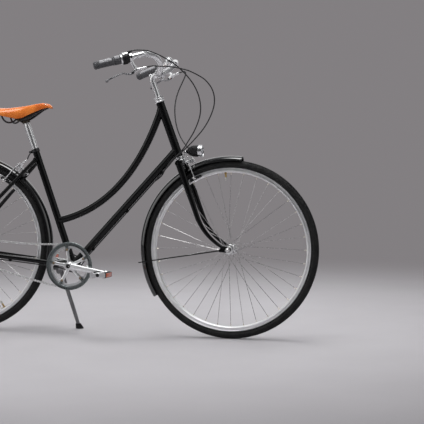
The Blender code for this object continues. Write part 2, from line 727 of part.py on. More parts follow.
def spoke_ends(axle, flange_radius, flange_place):
    """The two ends of every spoke of one wheel, laced over three crossings."""
    ends = []
    step = 2 * math.pi / SPOKES_A_SIDE
    hole = flange_radius - SPOKE_HOLE_INSET
    for side in (-1, 1):
        for i in range(SPOKES_A_SIDE):
            leading = 1 if i % 2 == 0 else -1
            angle = step * i + (step / 2 if side > 0 else 0.0)
            out = side * (flange_place + leading * SPOKE_SPREAD)
            start = around(axle, hole, angle, out)
            rim_angle = angle + leading * SPOKE_CROSSING_TURN
            end = around(axle, RIM_INNER * math.cos(math.pi / WHEEL_STEPS) - GAP, rim_angle, side * SPOKE_RIM_SPREAD)
            ends.append((start, end))
    return ends


def build_hub(name, body, axle, shell, flange_radius, flange_place, shell_half):
    bore = AXLE_RADIUS + RUNNING_GAP
    flange_in = flange_place - FLANGE_HALF
    flange_out = flange_place + FLANGE_HALF
    half = [(shell, flange_in), (flange_radius, flange_in), (flange_radius, flange_out), (shell * 0.85, flange_out),
            (AXLE_CONE_RADIUS + 0.003, shell_half), (bore, shell_half)]
    mirrored = [(radius, -out) for radius, out in reversed(half)]
    hub = placed(turned(mirrored + half, 14, True), axle, SIDEWAYS)
    spokes = bmesh.new()
    for start, end in spoke_ends(axle, flange_radius, flange_place):
        one = swept([start, end], (SPOKE_RADIUS, SPOKE_RADIUS), 3)
        holder = bpy.data.meshes.new("spoke")
        one.to_mesh(holder)
        one.free()
        spokes.from_mesh(holder)
        bpy.data.meshes.remove(holder)
    part(name, "polished_silver", body, [hub, spokes])


def build_wheel(prefix, body, axle):
    if prefix == "front":
        build_hub("front_hub", body, axle, FRONT_SHELL_RADIUS, FRONT_FLANGE_RADIUS, FRONT_FLANGE_PLACE, FRONT_SHELL_HALF)
    else:
        build_hub("rear_hub", body, axle, REAR_SHELL_RADIUS, REAR_FLANGE_RADIUS, REAR_FLANGE_PLACE, REAR_SHELL_HALF)
    part(prefix + "_rim", "brushed_steel", body, [wheel_ring(rim_outline(), axle)])
    part(prefix + "_tyre", "tyre_rubber", body, [wheel_ring(tyre_outline(), axle)])


def build_axle(name, body, axle, hub_width, inner_half):
    """An axle with its cones inside the dropouts and its domed nuts outside them."""
    face = hub_width / 2
    nut_in = face + DROPOUT_THICKNESS + GAP
    nut_out = nut_in + AXLE_NUT_WIDTH
    half = [(AXLE_CONE_RADIUS, inner_half + GAP), (AXLE_CONE_RADIUS, face - GAP),
            (AXLE_RADIUS, face - GAP), (AXLE_RADIUS, nut_in), (AXLE_NUT_RADIUS, nut_in), (AXLE_NUT_RADIUS, nut_out),
            (AXLE_NUT_RADIUS * 0.75, nut_out + AXLE_DOME * 0.6), (AXLE_NUT_RADIUS * 0.3, nut_out + AXLE_DOME)]
    ends = [(AXLE_RADIUS, -inner_half - GAP), (AXLE_RADIUS, inner_half + GAP)]
    mirrored = [(radius, -out) for radius, out in reversed(half)]
    pieces = [placed(turned(mirrored + ends + half, 10), axle, SIDEWAYS)]
    if name == "rear_axle":
        pieces.append(placed(disc(SHIFT_BOX_RADIUS, nut_out, nut_out + SHIFT_BOX_LENGTH, 12), axle, -SIDEWAYS))
    part(name, "brushed_steel", body, pieces)


def shift_box_entry():
    """Where the shift cable meets the front of the hub gear's box on the right end of the axle."""
    nut_out = REAR_HUB_WIDTH / 2 + DROPOUT_THICKNESS + GAP + AXLE_NUT_WIDTH
    return REAR_AXLE + Vector((SHIFT_BOX_RADIUS + 0.0012, -nut_out - SHIFT_BOX_LENGTH * 0.5, 0.0))


# Mudguards and their stays

def guard_outline():
    """The section of a mudguard as (out, radius) points, outside first."""
    count = 5
    outer = []
    inner = []
    for i in range(count):
        t = 2 * i / (count - 1) - 1
        drop = GUARD_DEPTH * (0.35 * t * t + 0.65 * t ** 6)
        outer.append((GUARD_HALF_WIDTH * t, GUARD_OUTER - drop))
        inner.append(((GUARD_HALF_WIDTH - GUARD_SHEET) * t, GUARD_RADIUS - drop * 0.98))
    return outer + inner[::-1]


def guard_mesh(axle, start, end):
    steps = round((end - start) / math.radians(7.5))
    mesh = bmesh.new()
    rings = []
    for i in range(steps + 1):
        angle = start + (end - start) * i / steps
        rings.append([mesh.verts.new(around(axle, radius, angle, out)) for out, radius in guard_outline()])
    ring_faces(mesh, rings, False)
    mesh.faces.new(rings[0])
    mesh.faces.new(rings[-1])
    bmesh.ops.recalc_face_normals(mesh, faces=mesh.faces)
    return mesh


def stay_wire(axle, eyelet, eye_out, angle):
    """A wire from one eyelet, round the outside of the mudguard, to the other eyelet."""
    clear = GUARD_OUTER + STAY_WIRE + GAP
    side = GUARD_HALF_WIDTH + STAY_WIRE + 0.0012
    reach = (around(axle, GUARD_RADIUS, angle) - eyelet).normalized() * 0.016
    half = [eyelet + SIDEWAYS * eye_out, eyelet + reach + SIDEWAYS * eye_out,
            around(axle, GUARD_RADIUS - GUARD_DEPTH * 1.3, angle, side + 0.0015),
            around(axle, GUARD_RADIUS - GUARD_DEPTH * 0.4, angle, side),
            around(axle, clear - 0.001, angle, side - 0.0045), around(axle, clear, angle, side - 0.012)]
    mirror = [Vector((p.x, -p.y, p.z)) for p in reversed(half)]
    return swept(half + mirror, (STAY_WIRE, STAY_WIRE), 6)


def stay_eye(eyelet, out, side):
    return placed(disc(STAY_EYE_RADIUS, out - STAY_EYE_WIDTH / 2, out + STAY_EYE_WIDTH / 2, 10), eyelet, SIDEWAYS * side)


def build_front_guard(body):
    tab_foot = on_steerer(math.sqrt(GUARD_RADIUS ** 2 - FORK_RAKE ** 2))
    tab_top = on_steerer(FORK_LENGTH - CROWN_HEIGHT - GAP)
    part("front_fender", "black_paint", body,
         [guard_mesh(FRONT_AXLE, FRONT_GUARD_FROM, FRONT_GUARD_TO), rod(tab_foot, tab_top, 0.007, 10)])
    eyelet = FRONT_AXLE + Vector((EYELET_FRONT[0], 0, EYELET_FRONT[1]))
    out = FRONT_HUB_WIDTH / 2 + DROPOUT_THICKNESS + GAP + STAY_EYE_WIDTH / 2
    pieces = [stay_wire(FRONT_AXLE, eyelet, out, FRONT_STAY_AT)]
    pieces += [stay_eye(eyelet, out, side) for side in (-1, 1)]
    part("front_fender_stays", "black_paint", body, pieces)


def build_rear_guard(body):
    bridge, way = brake_bridge_place()
    inward = (REAR_AXLE - bridge).normalized()
    tab_top = bridge + inward * (BRIDGE_RADIUS + GAP)
    tab_foot = REAR_AXLE - inward * GUARD_RADIUS
    part("rear_fender", "black_paint", body,
         [guard_mesh(REAR_AXLE, REAR_GUARD_FROM, REAR_GUARD_TO), rod(tab_foot, tab_top, 0.006, 10)])
    eyelet = REAR_AXLE + Vector((EYELET_REAR[0], 0, EYELET_REAR[1]))
    out = REAR_HUB_WIDTH / 2 + DROPOUT_THICKNESS + GAP + STAY_EYE_WIDTH / 2
    pieces = [stay_wire(REAR_AXLE, eyelet, out, angle) for angle in REAR_STAY_AT]
    pieces += [stay_eye(eyelet, out, side) for side in (-1, 1)]
    part("rear_fender_stays", "black_paint", body, pieces)


# Fork, stem and handlebar

def blade_points(side):
    """The centre line of a fork blade: straight down the steering axis, then bent forward."""
    turn = math.acos(1 - FORK_RAKE / BLADE_BEND_RADIUS)
    steps = 5
    flat = [(FORK_LENGTH - CROWN_HEIGHT / 2, 0.0)]
    drop = BLADE_BEND_RADIUS * math.sin(turn)
    last = turn - BLADE_END_SHORT / BLADE_BEND_RADIUS
    for i in range(steps):
        angle = last * i / (steps - 1)
        up = drop - BLADE_BEND_RADIUS * math.sin(angle)
        flat.append((up, BLADE_BEND_RADIUS * (1 - math.cos(angle))))
    top, low = flat[0][0], flat[-1][0]
    tip_out = FRONT_HUB_WIDTH / 2 + DROPOUT_THICKNESS / 2
    points = []
    sizes = []
    for up, forward in flat:
        t = (top - up) / (top - low)
        out = BLADE_TOP_OUT + (tip_out - BLADE_TOP_OUT) * t
        points.append(on_steerer(up, forward, side * out))
        fade = t ** 1.3
        sizes.append((BLADE_TOP_WIDE + (BLADE_TIP - BLADE_TOP_WIDE) * fade,
                      BLADE_TOP_DEEP + (BLADE_TIP - BLADE_TOP_DEEP) * fade))
    return points, sizes


def build_fork(body):
    pieces = []
    crown_mid = FORK_LENGTH - CROWN_HEIGHT / 2
    wide = CROWN_HALF_WIDTH
    crown = []
    for i in range(12):
        angle = 2 * math.pi * i / 12
        for out, share in ((wide * 0.9, 1.0), (wide, 0.80)):
            for side in (-1, 1):
                crown.append(on_steerer(crown_mid + CROWN_HEIGHT / 2 * share * math.sin(angle),
                                        CROWN_DEPTH * share * math.cos(angle), side * out))
    pieces.append(hulled(crown))
    race = FORK_LENGTH + CROWN_RACE_HEIGHT - GAP
    locknut = CUP_RADIUS * 0.93
    steerer = [(CUP_RADIUS * 0.96, crown_mid + 0.005), (CUP_RADIUS * 0.96, FORK_LENGTH), (STEERER_RADIUS + 0.003, race),
               (STEERER_RADIUS, race), (STEERER_RADIUS, HEAD_TUBE_TOP + UPPER_CUP_HEIGHT + GAP),
               (locknut, HEAD_TUBE_TOP + UPPER_CUP_HEIGHT + GAP), (locknut, STEERER_TOP)]
    pieces.append(placed(turned(steerer, 16), on_steerer(0.0), STEER_UP))
    tip_in = FRONT_HUB_WIDTH / 2
    axle = (FRONT_AXLE.x, FRONT_AXLE.z)
    for side in (-1, 1):
        points, sizes = blade_points(side)
        pieces.append(swept(points, sizes, 10, SIDEWAYS))
        end = points[-1]
        eyelet = (axle[0] + EYELET_FRONT[0], axle[1] + EYELET_FRONT[1])
        inner, outer = side * tip_in, side * (tip_in + DROPOUT_THICKNESS)
        plate = circle_points(axle, 0.0110, inner, outer, 10) + circle_points(eyelet, EYELET_RADIUS, inner, outer, 8)
        plate += circle_points((end.x, end.z), BLADE_TIP * 1.2, inner, outer, 8)
        pieces.append(hulled(plate))
    bore = placed(disc(STEERER_BORE, FORK_LENGTH + 0.02, STEERER_TOP + 0.05, 16), on_steerer(0.0), STEER_UP)
    bolt = placed(disc(BRAKE_BOLT_RADIUS + GAP, -0.05, 0.05, 8), on_steerer(BRAKE_BOLT_UP), STEER_FORWARD)
    slot = placed(disc(AXLE_RADIUS + GAP, -0.1, 0.1, 10), FRONT_AXLE, SIDEWAYS)
    part("fork", "black_paint", body, pieces, [bore, bolt, slot])


def bar_clamp():
    return on_steerer(STEM_TOP) + Vector((STEM_EXTENSION, 0.0, STEM_RISE))


def build_stem(body):
    top = on_steerer(STEM_TOP)
    clamp = bar_clamp()
    path = [on_steerer(STEM_BOTTOM), on_steerer(STEM_TOP - 0.03), on_steerer(STEM_TOP - 0.010),
            top.lerp(clamp, 0.18) - Vector((0, 0, 0.001)), top.lerp(clamp, 0.45), clamp]
    sizes = [(STEM_RADIUS, STEM_RADIUS)] * 3 + [(STEM_RADIUS * 1.05,) * 2, (STEM_RADIUS * 1.05,) * 2,
                                               (STEM_RADIUS * 1.1,) * 2]
    pieces = [swept(path, sizes, 14, SIDEWAYS)]
    pieces.append(placed(disc(CLAMP_RADIUS, -CLAMP_HALF, CLAMP_HALF, 16), clamp, SIDEWAYS))
    pieces.append(placed(disc(0.0065, -0.02, 0.0115, 8), on_steerer(STEM_TOP), STEER_UP))
    under = clamp + Vector((0.004, 0, -CLAMP_RADIUS - 0.002))
    pieces.append(placed(disc(0.0065, -CLAMP_HALF * 0.7, CLAMP_HALF * 0.7, 8), under, SIDEWAYS))
    hole = placed(disc(BAR_RADIUS * 1.1 + 2 * GAP, -0.05, 0.05, 14), clamp, SIDEWAYS)
    part("stem", "polished_silver", body, pieces, [hole])


# The bends of the handlebar's right half from the clamp's centre, and its end
BAR_BENDS = [(0.0000, -0.0210, 0.0000), (0.0045, -0.0360, 0.0045), (0.0110, -0.0540, 0.0115),
             (0.0190, -0.0780, 0.0235), (0.0235, -0.1040, 0.0360), (0.0230, -0.1300, 0.0465),
             (0.0180, -0.1580, 0.0540), (0.0090, -0.1850, 0.0575)]
BAR_END = (-0.1790, -0.2985, 0.0074)
BAR_STRAIGHT = (0.864, 0.431, 0.257)
BAR_STRAIGHT_LENGTH = 0.196


def bar_side(point, side):
    """A point of the right half of the bar, or of the left half mirrored from it."""
    return bar_clamp() + Vector((point[0], -side * point[1], point[2]))


def grip_way(side):
    """The direction along a grip, towards the bar's end."""
    forward, inward, up = BAR_STRAIGHT
    return Vector((-forward, side * inward, -up)).normalized()


def on_grip(side, back_from_end):
    """A point on the grip's axis, measured from the bar's end towards the stem."""
    return bar_side(BAR_END, side) - grip_way(side) * back_from_end


def bar_line():
    """The bar's centre line, from its left end to its right end."""
    half = [bar_side(p, -1) for p in BAR_BENDS] + [on_grip(-1, BAR_STRAIGHT_LENGTH)]
    half += [on_grip(-1, BAR_STRAIGHT_LENGTH * 0.95 * (1 - k / 4)) for k in range(4)] + [on_grip(-1, GRIP_CAP)]
    other = [Vector((p.x, -p.y, p.z)) for p in half]
    return smooth_points(other[::-1] + [bar_clamp()] + half, BAR_STEPS)


def build_handlebar(body):
    points = bar_line()
    sizes = []
    for point in points:
        thick = BAR_RADIUS * (1.1 if abs(point.y) < CLAMP_HALF * 1.3 else 1.0)
        sizes.append((thick, thick))
    part("handlebar", "polished_silver", body, [swept(points, sizes, BAR_SIDES)])


def grip_sleeve(side, length, radius, start=0.0, cap=True):
    """A sleeve over the bar's straight end, closed at the end where it has a cap."""
    bore = BAR_RADIUS + 2 * GAP
    if not cap:
        profile = [(radius, start), (radius, start + length), (bore, start + length), (bore, start)]
        return placed(turned(profile, 14, True), on_grip(side, 0.0), -grip_way(side))
    outside = turned([(radius * 0.75, 0.0), (radius, 0.0035), (radius, 0.010), (radius * 0.94, 0.014),
                      (radius * 0.97, length * 0.6), (radius, length)], 16)
    return placed(outside, on_grip(side, 0.0), -grip_way(side))


def build_grips(body, twist_body):
    for side, name, length in ((-1, "grip_right", RIGHT_GRIP_LENGTH), (1, "grip_left", LEFT_GRIP_LENGTH)):
        bore = placed(disc(BAR_RADIUS + GAP, GRIP_CAP - GAP, 0.3, 16), on_grip(side, 0.0), -grip_way(side))
        part(name, "grip_rubber", body, [grip_sleeve(side, length, GRIP_RADIUS)], [bore])
    start = RIGHT_GRIP_LENGTH + GAP
    part("shifter_twist_grip", "grip_rubber", twist_body,
         [grip_sleeve(-1, TWIST_GRIP_LENGTH, TWIST_GRIP_RADIUS, start, cap=False)])
    start += TWIST_GRIP_LENGTH + RUNNING_GAP
    shell = grip_sleeve(-1, SHIFTER_LENGTH, SHIFTER_RADIUS, start, cap=False)
    outlet_from = on_grip(-1, start + SHIFTER_LENGTH * 0.3) + Vector((0, 0, SHIFTER_RADIUS))
    outlet = rod(outlet_from, shifter_outlet()[0], 0.0042, 8)
    drill = placed(disc(BAR_RADIUS + GAP, start - 0.01, start + SHIFTER_LENGTH + 0.01, 16), on_grip(-1, 0.0),
                   -grip_way(-1))
    part("shifter_body", "black_plastic", body, [shell, outlet], [drill])


def shifter_outlet():
    """Where the shift cable leaves the shifter, ahead of its shell, and its direction there."""
    start = RIGHT_GRIP_LENGTH + TWIST_GRIP_LENGTH
    end = on_grip(-1, start + SHIFTER_LENGTH + 0.010) + Vector((0, 0, SHIFTER_RADIUS + 0.0018))
    return end, -grip_way(-1)


# Brake levers

def perch_place(side):
    """How far from the bar's end the lever's clamp sits."""
    if side < 0:
        return RIGHT_GRIP_LENGTH + TWIST_GRIP_LENGTH + SHIFTER_LENGTH + 3 * GAP + RUNNING_GAP
    return LEFT_GRIP_LENGTH + LEFT_PERCH_SPACE


def lever_frame(side):
    """The lever's pivot, its forward direction along the grip and its pin's direction."""
    base = on_grip(side, perch_place(side) + PERCH_LENGTH / 2)
    forward = -grip_way(side)
    level = Vector((forward.x, forward.y, 0)).normalized()
    pin = Vector((-level.y, level.x, 0))
    pivot = base + level * LEVER_FORWARD - Vector((0, 0, LEVER_DROP))
    return base, pivot, level, pin


def lever_point(side, back, drop):
    """A point of the lever, back from its pivot along the level and down from it."""
    _, pivot, level, _ = lever_frame(side)
    return pivot - level * back - Vector((0, 0, drop))


# The lever blade: how far back from the pivot, and how far below it
BLADE_ROUTE = [(0.006, 0.0055), (0.023, 0.0062), (0.036, 0.0040), (0.052, 0.0085), (0.074, 0.0195), (0.095, 0.0310)]
BLADE_BALL = (0.0990, 0.0350)


def build_brake_lever(side, word, body, lever_body):
    base, pivot, level, pin = lever_frame(side)
    start = perch_place(side)
    forward = -grip_way(side)
    ring = grip_sleeve(side, PERCH_LENGTH, PERCH_RADIUS, start, cap=False)
    ear_in = LEVER_BOSS_HALF + RUNNING_GAP
    ear_out = ear_in + LEVER_EAR
    head = pivot + forward * 0.012 + Vector((0, 0, 0.008))
    neck_top = base + level * 0.0018 - Vector((0, 0, PERCH_RADIUS * 0.80))
    neck = swept([neck_top, neck_top.lerp(head, 0.5) - level * 0.001, head],
                 [(0.0062, 0.0046), (0.0058, 0.0056), (0.0062, 0.0070)], 8, pin)
    bridge = rod(head - forward * 0.004, head + forward * 0.020, 0.0064, 8)
    ears = []
    for sign in (-1, 1):
        points = []
        for centre, radius in ((pivot, 0.0056), (head + forward * 0.004, 0.0060)):
            for i in range(6):
                angle = 2 * math.pi * i / 6
                offset = level * radius * math.cos(angle) + Vector((0, 0, radius * math.sin(angle)))
                points += [centre + offset + pin * sign * ear_in, centre + offset + pin * sign * ear_out]
        ears.append(hulled(points))
    barrel = rod(head + forward * 0.018, lever_cable_exit(side), 0.0040, 8)
    room = rod(pivot - pin * ear_in, pivot + pin * ear_in, LEVER_BOSS_RADIUS + LEVER_ROOM, 12)
    pin_rod = rod(pivot - pin * (ear_out - GAP), pivot + pin * (ear_out - GAP), LEVER_PIN_RADIUS, 10)
    drill = placed(disc(BAR_RADIUS + 2 * GAP, start - 0.01, start + PERCH_LENGTH + 0.01, 14), on_grip(side, 0.0),
                   forward)
    part("lever_body_" + word, "polished_silver", body, [ring, neck, bridge, ears[0], ears[1], barrel], [room, drill],
         [pin_rod])
    boss = rod(pivot - pin * LEVER_BOSS_HALF, pivot + pin * LEVER_BOSS_HALF, LEVER_BOSS_RADIUS, 12)
    route = [pivot] + [lever_point(side, back, drop) for back, drop in BLADE_ROUTE]
    tip = lever_point(side, *BLADE_BALL)
    thin = (LEVER_BLADE_HALF * 0.65, LEVER_BLADE_THICK)
    wide = (LEVER_BLADE_HALF, LEVER_BLADE_THICK)
    blade = swept(route + [tip], [thin, thin, thin, wide, wide, wide, thin, thin], 8, pin)
    turns = [math.radians(degrees) for degrees in (-70, -35, 0, 35, 70)]
    ball = turned([(LEVER_BALL_RADIUS * math.cos(a), LEVER_BALL_RADIUS * math.sin(a)) for a in turns], 10)
    hole = rod(pivot - pin * 0.02, pivot + pin * 0.02, LEVER_PIN_RADIUS + RUNNING_GAP, 10)
    part("brake_lever_" + word, "polished_silver", lever_body, [boss, blade, placed(ball, tip)], [hole])


def lever_cable_exit(side):
    """The front end of the lever's barrel, where the cable leaves it."""
    _, pivot, _, _ = lever_frame(side)
    return pivot - grip_way(side) * LEVER_BARREL_END + Vector((0, 0, 0.008))


# Rim brakes

def caliper_axes(which):
    """The pivot bolt's foot, the bolt's direction, the direction away from the wheel and the axle."""
    if which == "front":
        return on_steerer(BRAKE_BOLT_UP), STEER_FORWARD, STEER_UP, FRONT_AXLE
    bridge, way = brake_bridge_place()
    return bridge, way.cross(SIDEWAYS), way, REAR_AXLE


def caliper_reach(which):
    """How far along its bolt a caliper's first arm starts."""
    return FRONT_BRAKE_AHEAD if which == "front" else REAR_BRAKE_AHEAD


def caliper_cable_end(which):
    """Where the cable's housing meets the adjuster on the caliper's left arm."""
    foot, out, up, _ = caliper_axes(which)
    middle = caliper_reach(which) + BRAKE_ARM_THICK * 1.5 + BRAKE_ARM_SPACE
    return foot + out * middle + up * BRAKE_CABLE_UP + SIDEWAYS * BRAKE_HORN_OUT


def pad_place(which, ahead):
    """How far along the caliper's down direction a pad at a given reach meets the rim."""
    foot, out, up, axle = caliper_axes(which)
    base = foot + out * ahead - axle
    along = base.dot(up)
    square = base.length_squared - BRAKE_PAD_RADIUS ** 2
    return -along + math.sqrt(max(along * along - square, 0.0))


def plate_points(foot, out, up, ahead, circles):
    """Points of a flat arm: circles are (sideways, up, radius), between two planes of the bolt."""
    points = []
    for sideways, height, radius in circles:
        for i in range(8):
            angle = 2 * math.pi * i / 8
            centre = foot + SIDEWAYS * (sideways + radius * math.cos(angle)) + up * (height + radius * math.sin(angle))
            points += [centre + out * ahead, centre + out * (ahead + BRAKE_ARM_THICK)]
    return points


def caliper_bolt(which):
    """The pivot bolt with its nut behind, its spacer and its domed nut in front."""
    thickness = CROWN_DEPTH if which == "front" else BRIDGE_RADIUS
    reach = caliper_reach(which)
    end = reach + 2 * BRAKE_ARM_THICK + BRAKE_ARM_SPACE
    foot, out, _, _ = caliper_axes(which)
    shaft = [(0.0055, -thickness - 0.0053), (0.0055, -thickness - GAP), (BRAKE_BOLT_RADIUS, -thickness - GAP),
             (BRAKE_BOLT_RADIUS, thickness + GAP), (0.0060, thickness + GAP), (0.0060, reach - RUNNING_GAP),
             (BRAKE_BOLT_RADIUS, reach - RUNNING_GAP), (BRAKE_BOLT_RADIUS, end + RUNNING_GAP),
             (0.0056, end + RUNNING_GAP), (0.0056, end + 0.0045), (0.0030, end + 0.0062)]
    return placed(turned(shaft, 10), foot, out)


def build_caliper(which, frame_body, arm_bodies):
    foot, out, up, axle = caliper_axes(which)
    for index, side in enumerate((-1, 1)):
        word = "right" if side < 0 else "left"
        ahead = caliper_reach(which) + index * (BRAKE_ARM_THICK + BRAKE_ARM_SPACE)
        middle = ahead + BRAKE_ARM_THICK / 2
        pad_up = pad_place(which, middle)
        wide = BRAKE_ARM_WIDE
        hub = (0.0, 0.0, BRAKE_HUB_RADIUS)
        chain = [hub, (side * BRAKE_SHOULDER_OUT * 0.92, -0.002, wide),
                 (side * (BRAKE_SHOULDER_OUT + 0.002), pad_up * 0.45, wide), (side * BRAKE_ARM_OUT, pad_up, wide)]
        links = [hulled(plate_points(foot, out, up, ahead, pair)) for pair in zip(chain, chain[1:])]
        horn_up = BRAKE_HORN_UP + 0.006 * index
        horn = (BRAKE_HORN_OUT - 0.004 * (1 - index), horn_up, wide * 0.9)
        links.append(hulled(plate_points(foot, out, up, ahead, [hub, horn])))
        if side > 0:
            adjuster = caliper_cable_end(which) - up * 0.0010
            links.append(rod(adjuster - up * (BRAKE_CABLE_UP - horn_up), adjuster, 0.0034, 8))
        bolt_hole = placed(disc(BRAKE_BOLT_RADIUS + RUNNING_GAP, -0.1, 0.1, 10), foot, out)
        pad_centre = foot + out * middle + up * pad_up
        outboard = SIDEWAYS * side
        links.append(rod(pad_centre + outboard * (BRAKE_ARM_OUT - wide), pad_centre + outboard * (BRAKE_ARM_OUT + wide),
                         PAD_EYE_RADIUS, 8))
        stud_hole = rod(pad_centre + outboard * 0.012, pad_centre + outboard * 0.06, PAD_STUD_RADIUS + GAP, 8)
        part(f"{which}_brake_arm_{word}", "polished_silver", arm_bodies[word], links, [bolt_hole, stud_hole])
        outward = (pad_centre - axle)
        outward = Vector((outward.x, 0, outward.z)).normalized()
        tangent = outward.cross(SIDEWAYS)
        face = RIM_HALF_WIDTH + BRAKE_PAD_TRAVEL
        corners = []
        for a in (-0.5, 0.5):
            for b in (-0.5, 0.5):
                for depth, share in ((0.0, 1.0), (BRAKE_PAD_DEPTH * 0.55, 1.0), (BRAKE_PAD_DEPTH, 0.8)):
                    corners.append(pad_centre + tangent * BRAKE_PAD_LENGTH * a * share
                                   + outward * BRAKE_PAD_HEIGHT * b * share + outboard * (face + depth))
        stud = rod(pad_centre + outboard * (face + 0.004), pad_centre + outboard * (BRAKE_ARM_OUT + wide + 0.010),
                   PAD_STUD_RADIUS, 8)
        nut_in = BRAKE_ARM_OUT + wide + 0.0012
        nut = rod(pad_centre + outboard * nut_in, pad_centre + outboard * (nut_in + 0.005), 0.0052, 6)
        part(f"{which}_brake_pad_{word}", "tyre_rubber", arm_bodies[word], [hulled(corners), stud, nut])
    if which == "rear":
        part("rear_brake_bolt", "polished_silver", frame_body, [caliper_bolt(which)])


# Drive train

def pitch_radius(teeth):
    return CHAIN_PITCH / (2 * math.sin(math.pi / teeth))


def circle_outline(radius, sides):
    turns = [2 * math.pi * i / sides for i in range(sides)]
    return [(radius * math.cos(turn), radius * math.sin(turn)) for turn in turns]


def toothed_outline(teeth):
    """The outline of a toothed ring, with a root and a tip for each tooth."""
    outline = []
    for i in range(2 * teeth):
        out = pitch_radius(teeth) + (TOOTH_HEIGHT if i % 2 else -TOOTH_ROOT_DEPTH)
        turn = math.pi * i / teeth
        outline.append((out * math.cos(turn), out * math.sin(turn)))
    return outline


def tabbed_outline(bore):
    """The outline of a chain ring's hole, with a tab for each of its five bolts."""
    outline = []
    for k in range(5):
        angle = math.radians(36 + 72 * k)
        place = (SPIDER_TIP_PLACE * math.cos(angle), SPIDER_TIP_PLACE * math.sin(angle))
        for degrees in (-112, -146, 180, 146, 112):
            turn = angle + math.radians(degrees)
            outline.append((place[0] + RING_TAB_RADIUS * math.cos(turn), place[1] + RING_TAB_RADIUS * math.sin(turn)))
        for degrees in (9, 22, 36, 50, 63):
            turn = angle + math.radians(degrees)
            outline.append((bore * math.cos(turn), bore * math.sin(turn)))
    return outline


def flat_ring(outer, inner, low, high):
    """A flat plate about Z with a hole in it, from two outlines of (x, y) points."""
    mesh = bmesh.new()
    faces = []
    for height in (low, high):
        loops = [[mesh.verts.new((x, y, height)) for x, y in outline] for outline in (outer, inner)]
        edges = [mesh.edges.new((loop[i - 1], loop[i])) for loop in loops for i in range(len(loop))]
        bmesh.ops.triangle_fill(mesh, use_beauty=True, edges=edges, normal=(0, 0, 1))
        faces.append(loops)
    for first, second in zip(*faces):
        ring_faces(mesh, [first, second], False)
    bmesh.ops.recalc_face_normals(mesh, faces=mesh.faces)
    return mesh


def run_points(start, start_way, end, end_way, count):
    """The inner points of a slack run of chain, which leaves one wheel and meets the other on their tangents."""
    flat_a = Vector((start_way.x, start_way.z))
    flat_b = Vector((end_way.x, end_way.z))
    gap = Vector((end.x - start.x, end.z - start.z))
    reach = gap.cross(flat_b) / flat_a.cross(flat_b)
    corner = start + start_way * reach
    points = []
    for i in range(1, count + 1):
        t = i / (count + 1)
        points.append(start * (1 - t) ** 2 + corner * 2 * t * (1 - t) + end * t * t)
    return points


def chain_path():
    """The chain's centre line around the ring and the sprocket, as points in order."""
    big, small = pitch_radius(RING_TEETH), pitch_radius(SPROCKET_TEETH)
    between = BRACKET - REAR_AXLE
    base = math.atan2(between.z, between.x)
    square = math.acos((big - small) / between.length)
    top = math.pi + base - square
    low = -(math.pi - base - square)
    upper, lower = UPPER_RUN_SLACK, LOWER_RUN_SLACK

    def wrap(centre, radius, first, last, count):
        return [around(centre, radius, first + (last - first) * i / count, -CHAIN_LINE) for i in range(count + 1)]

    def way(angle):
        return Vector((math.sin(angle), 0.0, -math.cos(angle)))

    ring = wrap(BRACKET, big, top + upper, low + lower, 17)
    cog = wrap(REAR_AXLE, small, 2 * math.pi + low - lower, top - upper, 9)
    lower_run = run_points(ring[-1], way(low + lower), cog[0], way(low - lower), 5)
    upper_run = run_points(cog[-1], way(top - upper), ring[0], way(top + upper), 5)
    return ring + lower_run + cog + upper_run


def build_chain(body):
    """A closed channel that covers the teeth, open towards the ring."""
    points = chain_path()
    count = len(points)
    half = CHAIN_HALF_WIDTH
    room = half - CHAIN_PLATE
    inside, top = -CHAIN_HEIGHT / 2, CHAIN_HEIGHT / 2
    roof = top - CHAIN_ROOF
    section = [(-half, inside), (-half, top), (half, top), (half, inside), (room, inside), (room, roof), (-room, roof),
               (-room, inside)]
    mesh = bmesh.new()
    rings = []
    for i, point in enumerate(points):
        along = (points[(i + 1) % count] - points[i - 1]).normalized()
        outward = along.cross(SIDEWAYS)
        if outward.dot(point - (BRACKET + REAR_AXLE) * 0.5) < 0:
            outward = -outward
        rings.append([mesh.verts.new(point + SIDEWAYS * out + outward * reach) for out, reach in section])
    ring_faces(mesh, rings, True)
    bmesh.ops.recalc_face_normals(mesh, faces=mesh.faces)
    part("chain", "brushed_steel", body, [mesh])


def crank_arm(side, angle, boss_in):
    """The tapered arm, from the boss on the bracket's spindle to the pedal's eye."""
    end = around(BRACKET, CRANK_LENGTH, angle)
    boss_out = side * CRANK_BOSS_OUT
    end_in, end_out = side * CRANK_END_IN, side * (CRANK_END_IN + CRANK_END_THICK)
    boss = circle_points((BRACKET.x, BRACKET.z), CRANK_BOSS_RADIUS, side * boss_in, boss_out, 12)
    root = circle_points((BRACKET.x, BRACKET.z), CRANK_BOSS_RADIUS * 0.85, boss_out - side * 0.010, boss_out, 12)
    eye = circle_points((end.x, end.z), CRANK_END_RADIUS, end_in, end_out, 12)
    return [hulled(boss), hulled(root + eye)]


def spider(out_from, out_to):
    """The five-armed plate that carries the chain ring."""
    outline = []
    for k in range(5):
        angle = CRANK_ANGLE + math.radians(36 + 72 * k)
        tip = around(BRACKET, SPIDER_TIP_PLACE, angle)
        outline.append(around(BRACKET, SPIDER_HUB_RADIUS, angle - math.radians(36)))
        outline.append(around(BRACKET, SPIDER_HUB_RADIUS + 0.004, angle - math.radians(26)))
        for turn in (-96, -48, 0, 48, 96):
            outline.append(around(tip, SPIDER_TIP_RADIUS, angle + math.radians(turn)))
        outline.append(around(BRACKET, SPIDER_HUB_RADIUS + 0.004, angle + math.radians(26)))
    return extruded([(point.x, point.z) for point in outline], out_from, out_to)


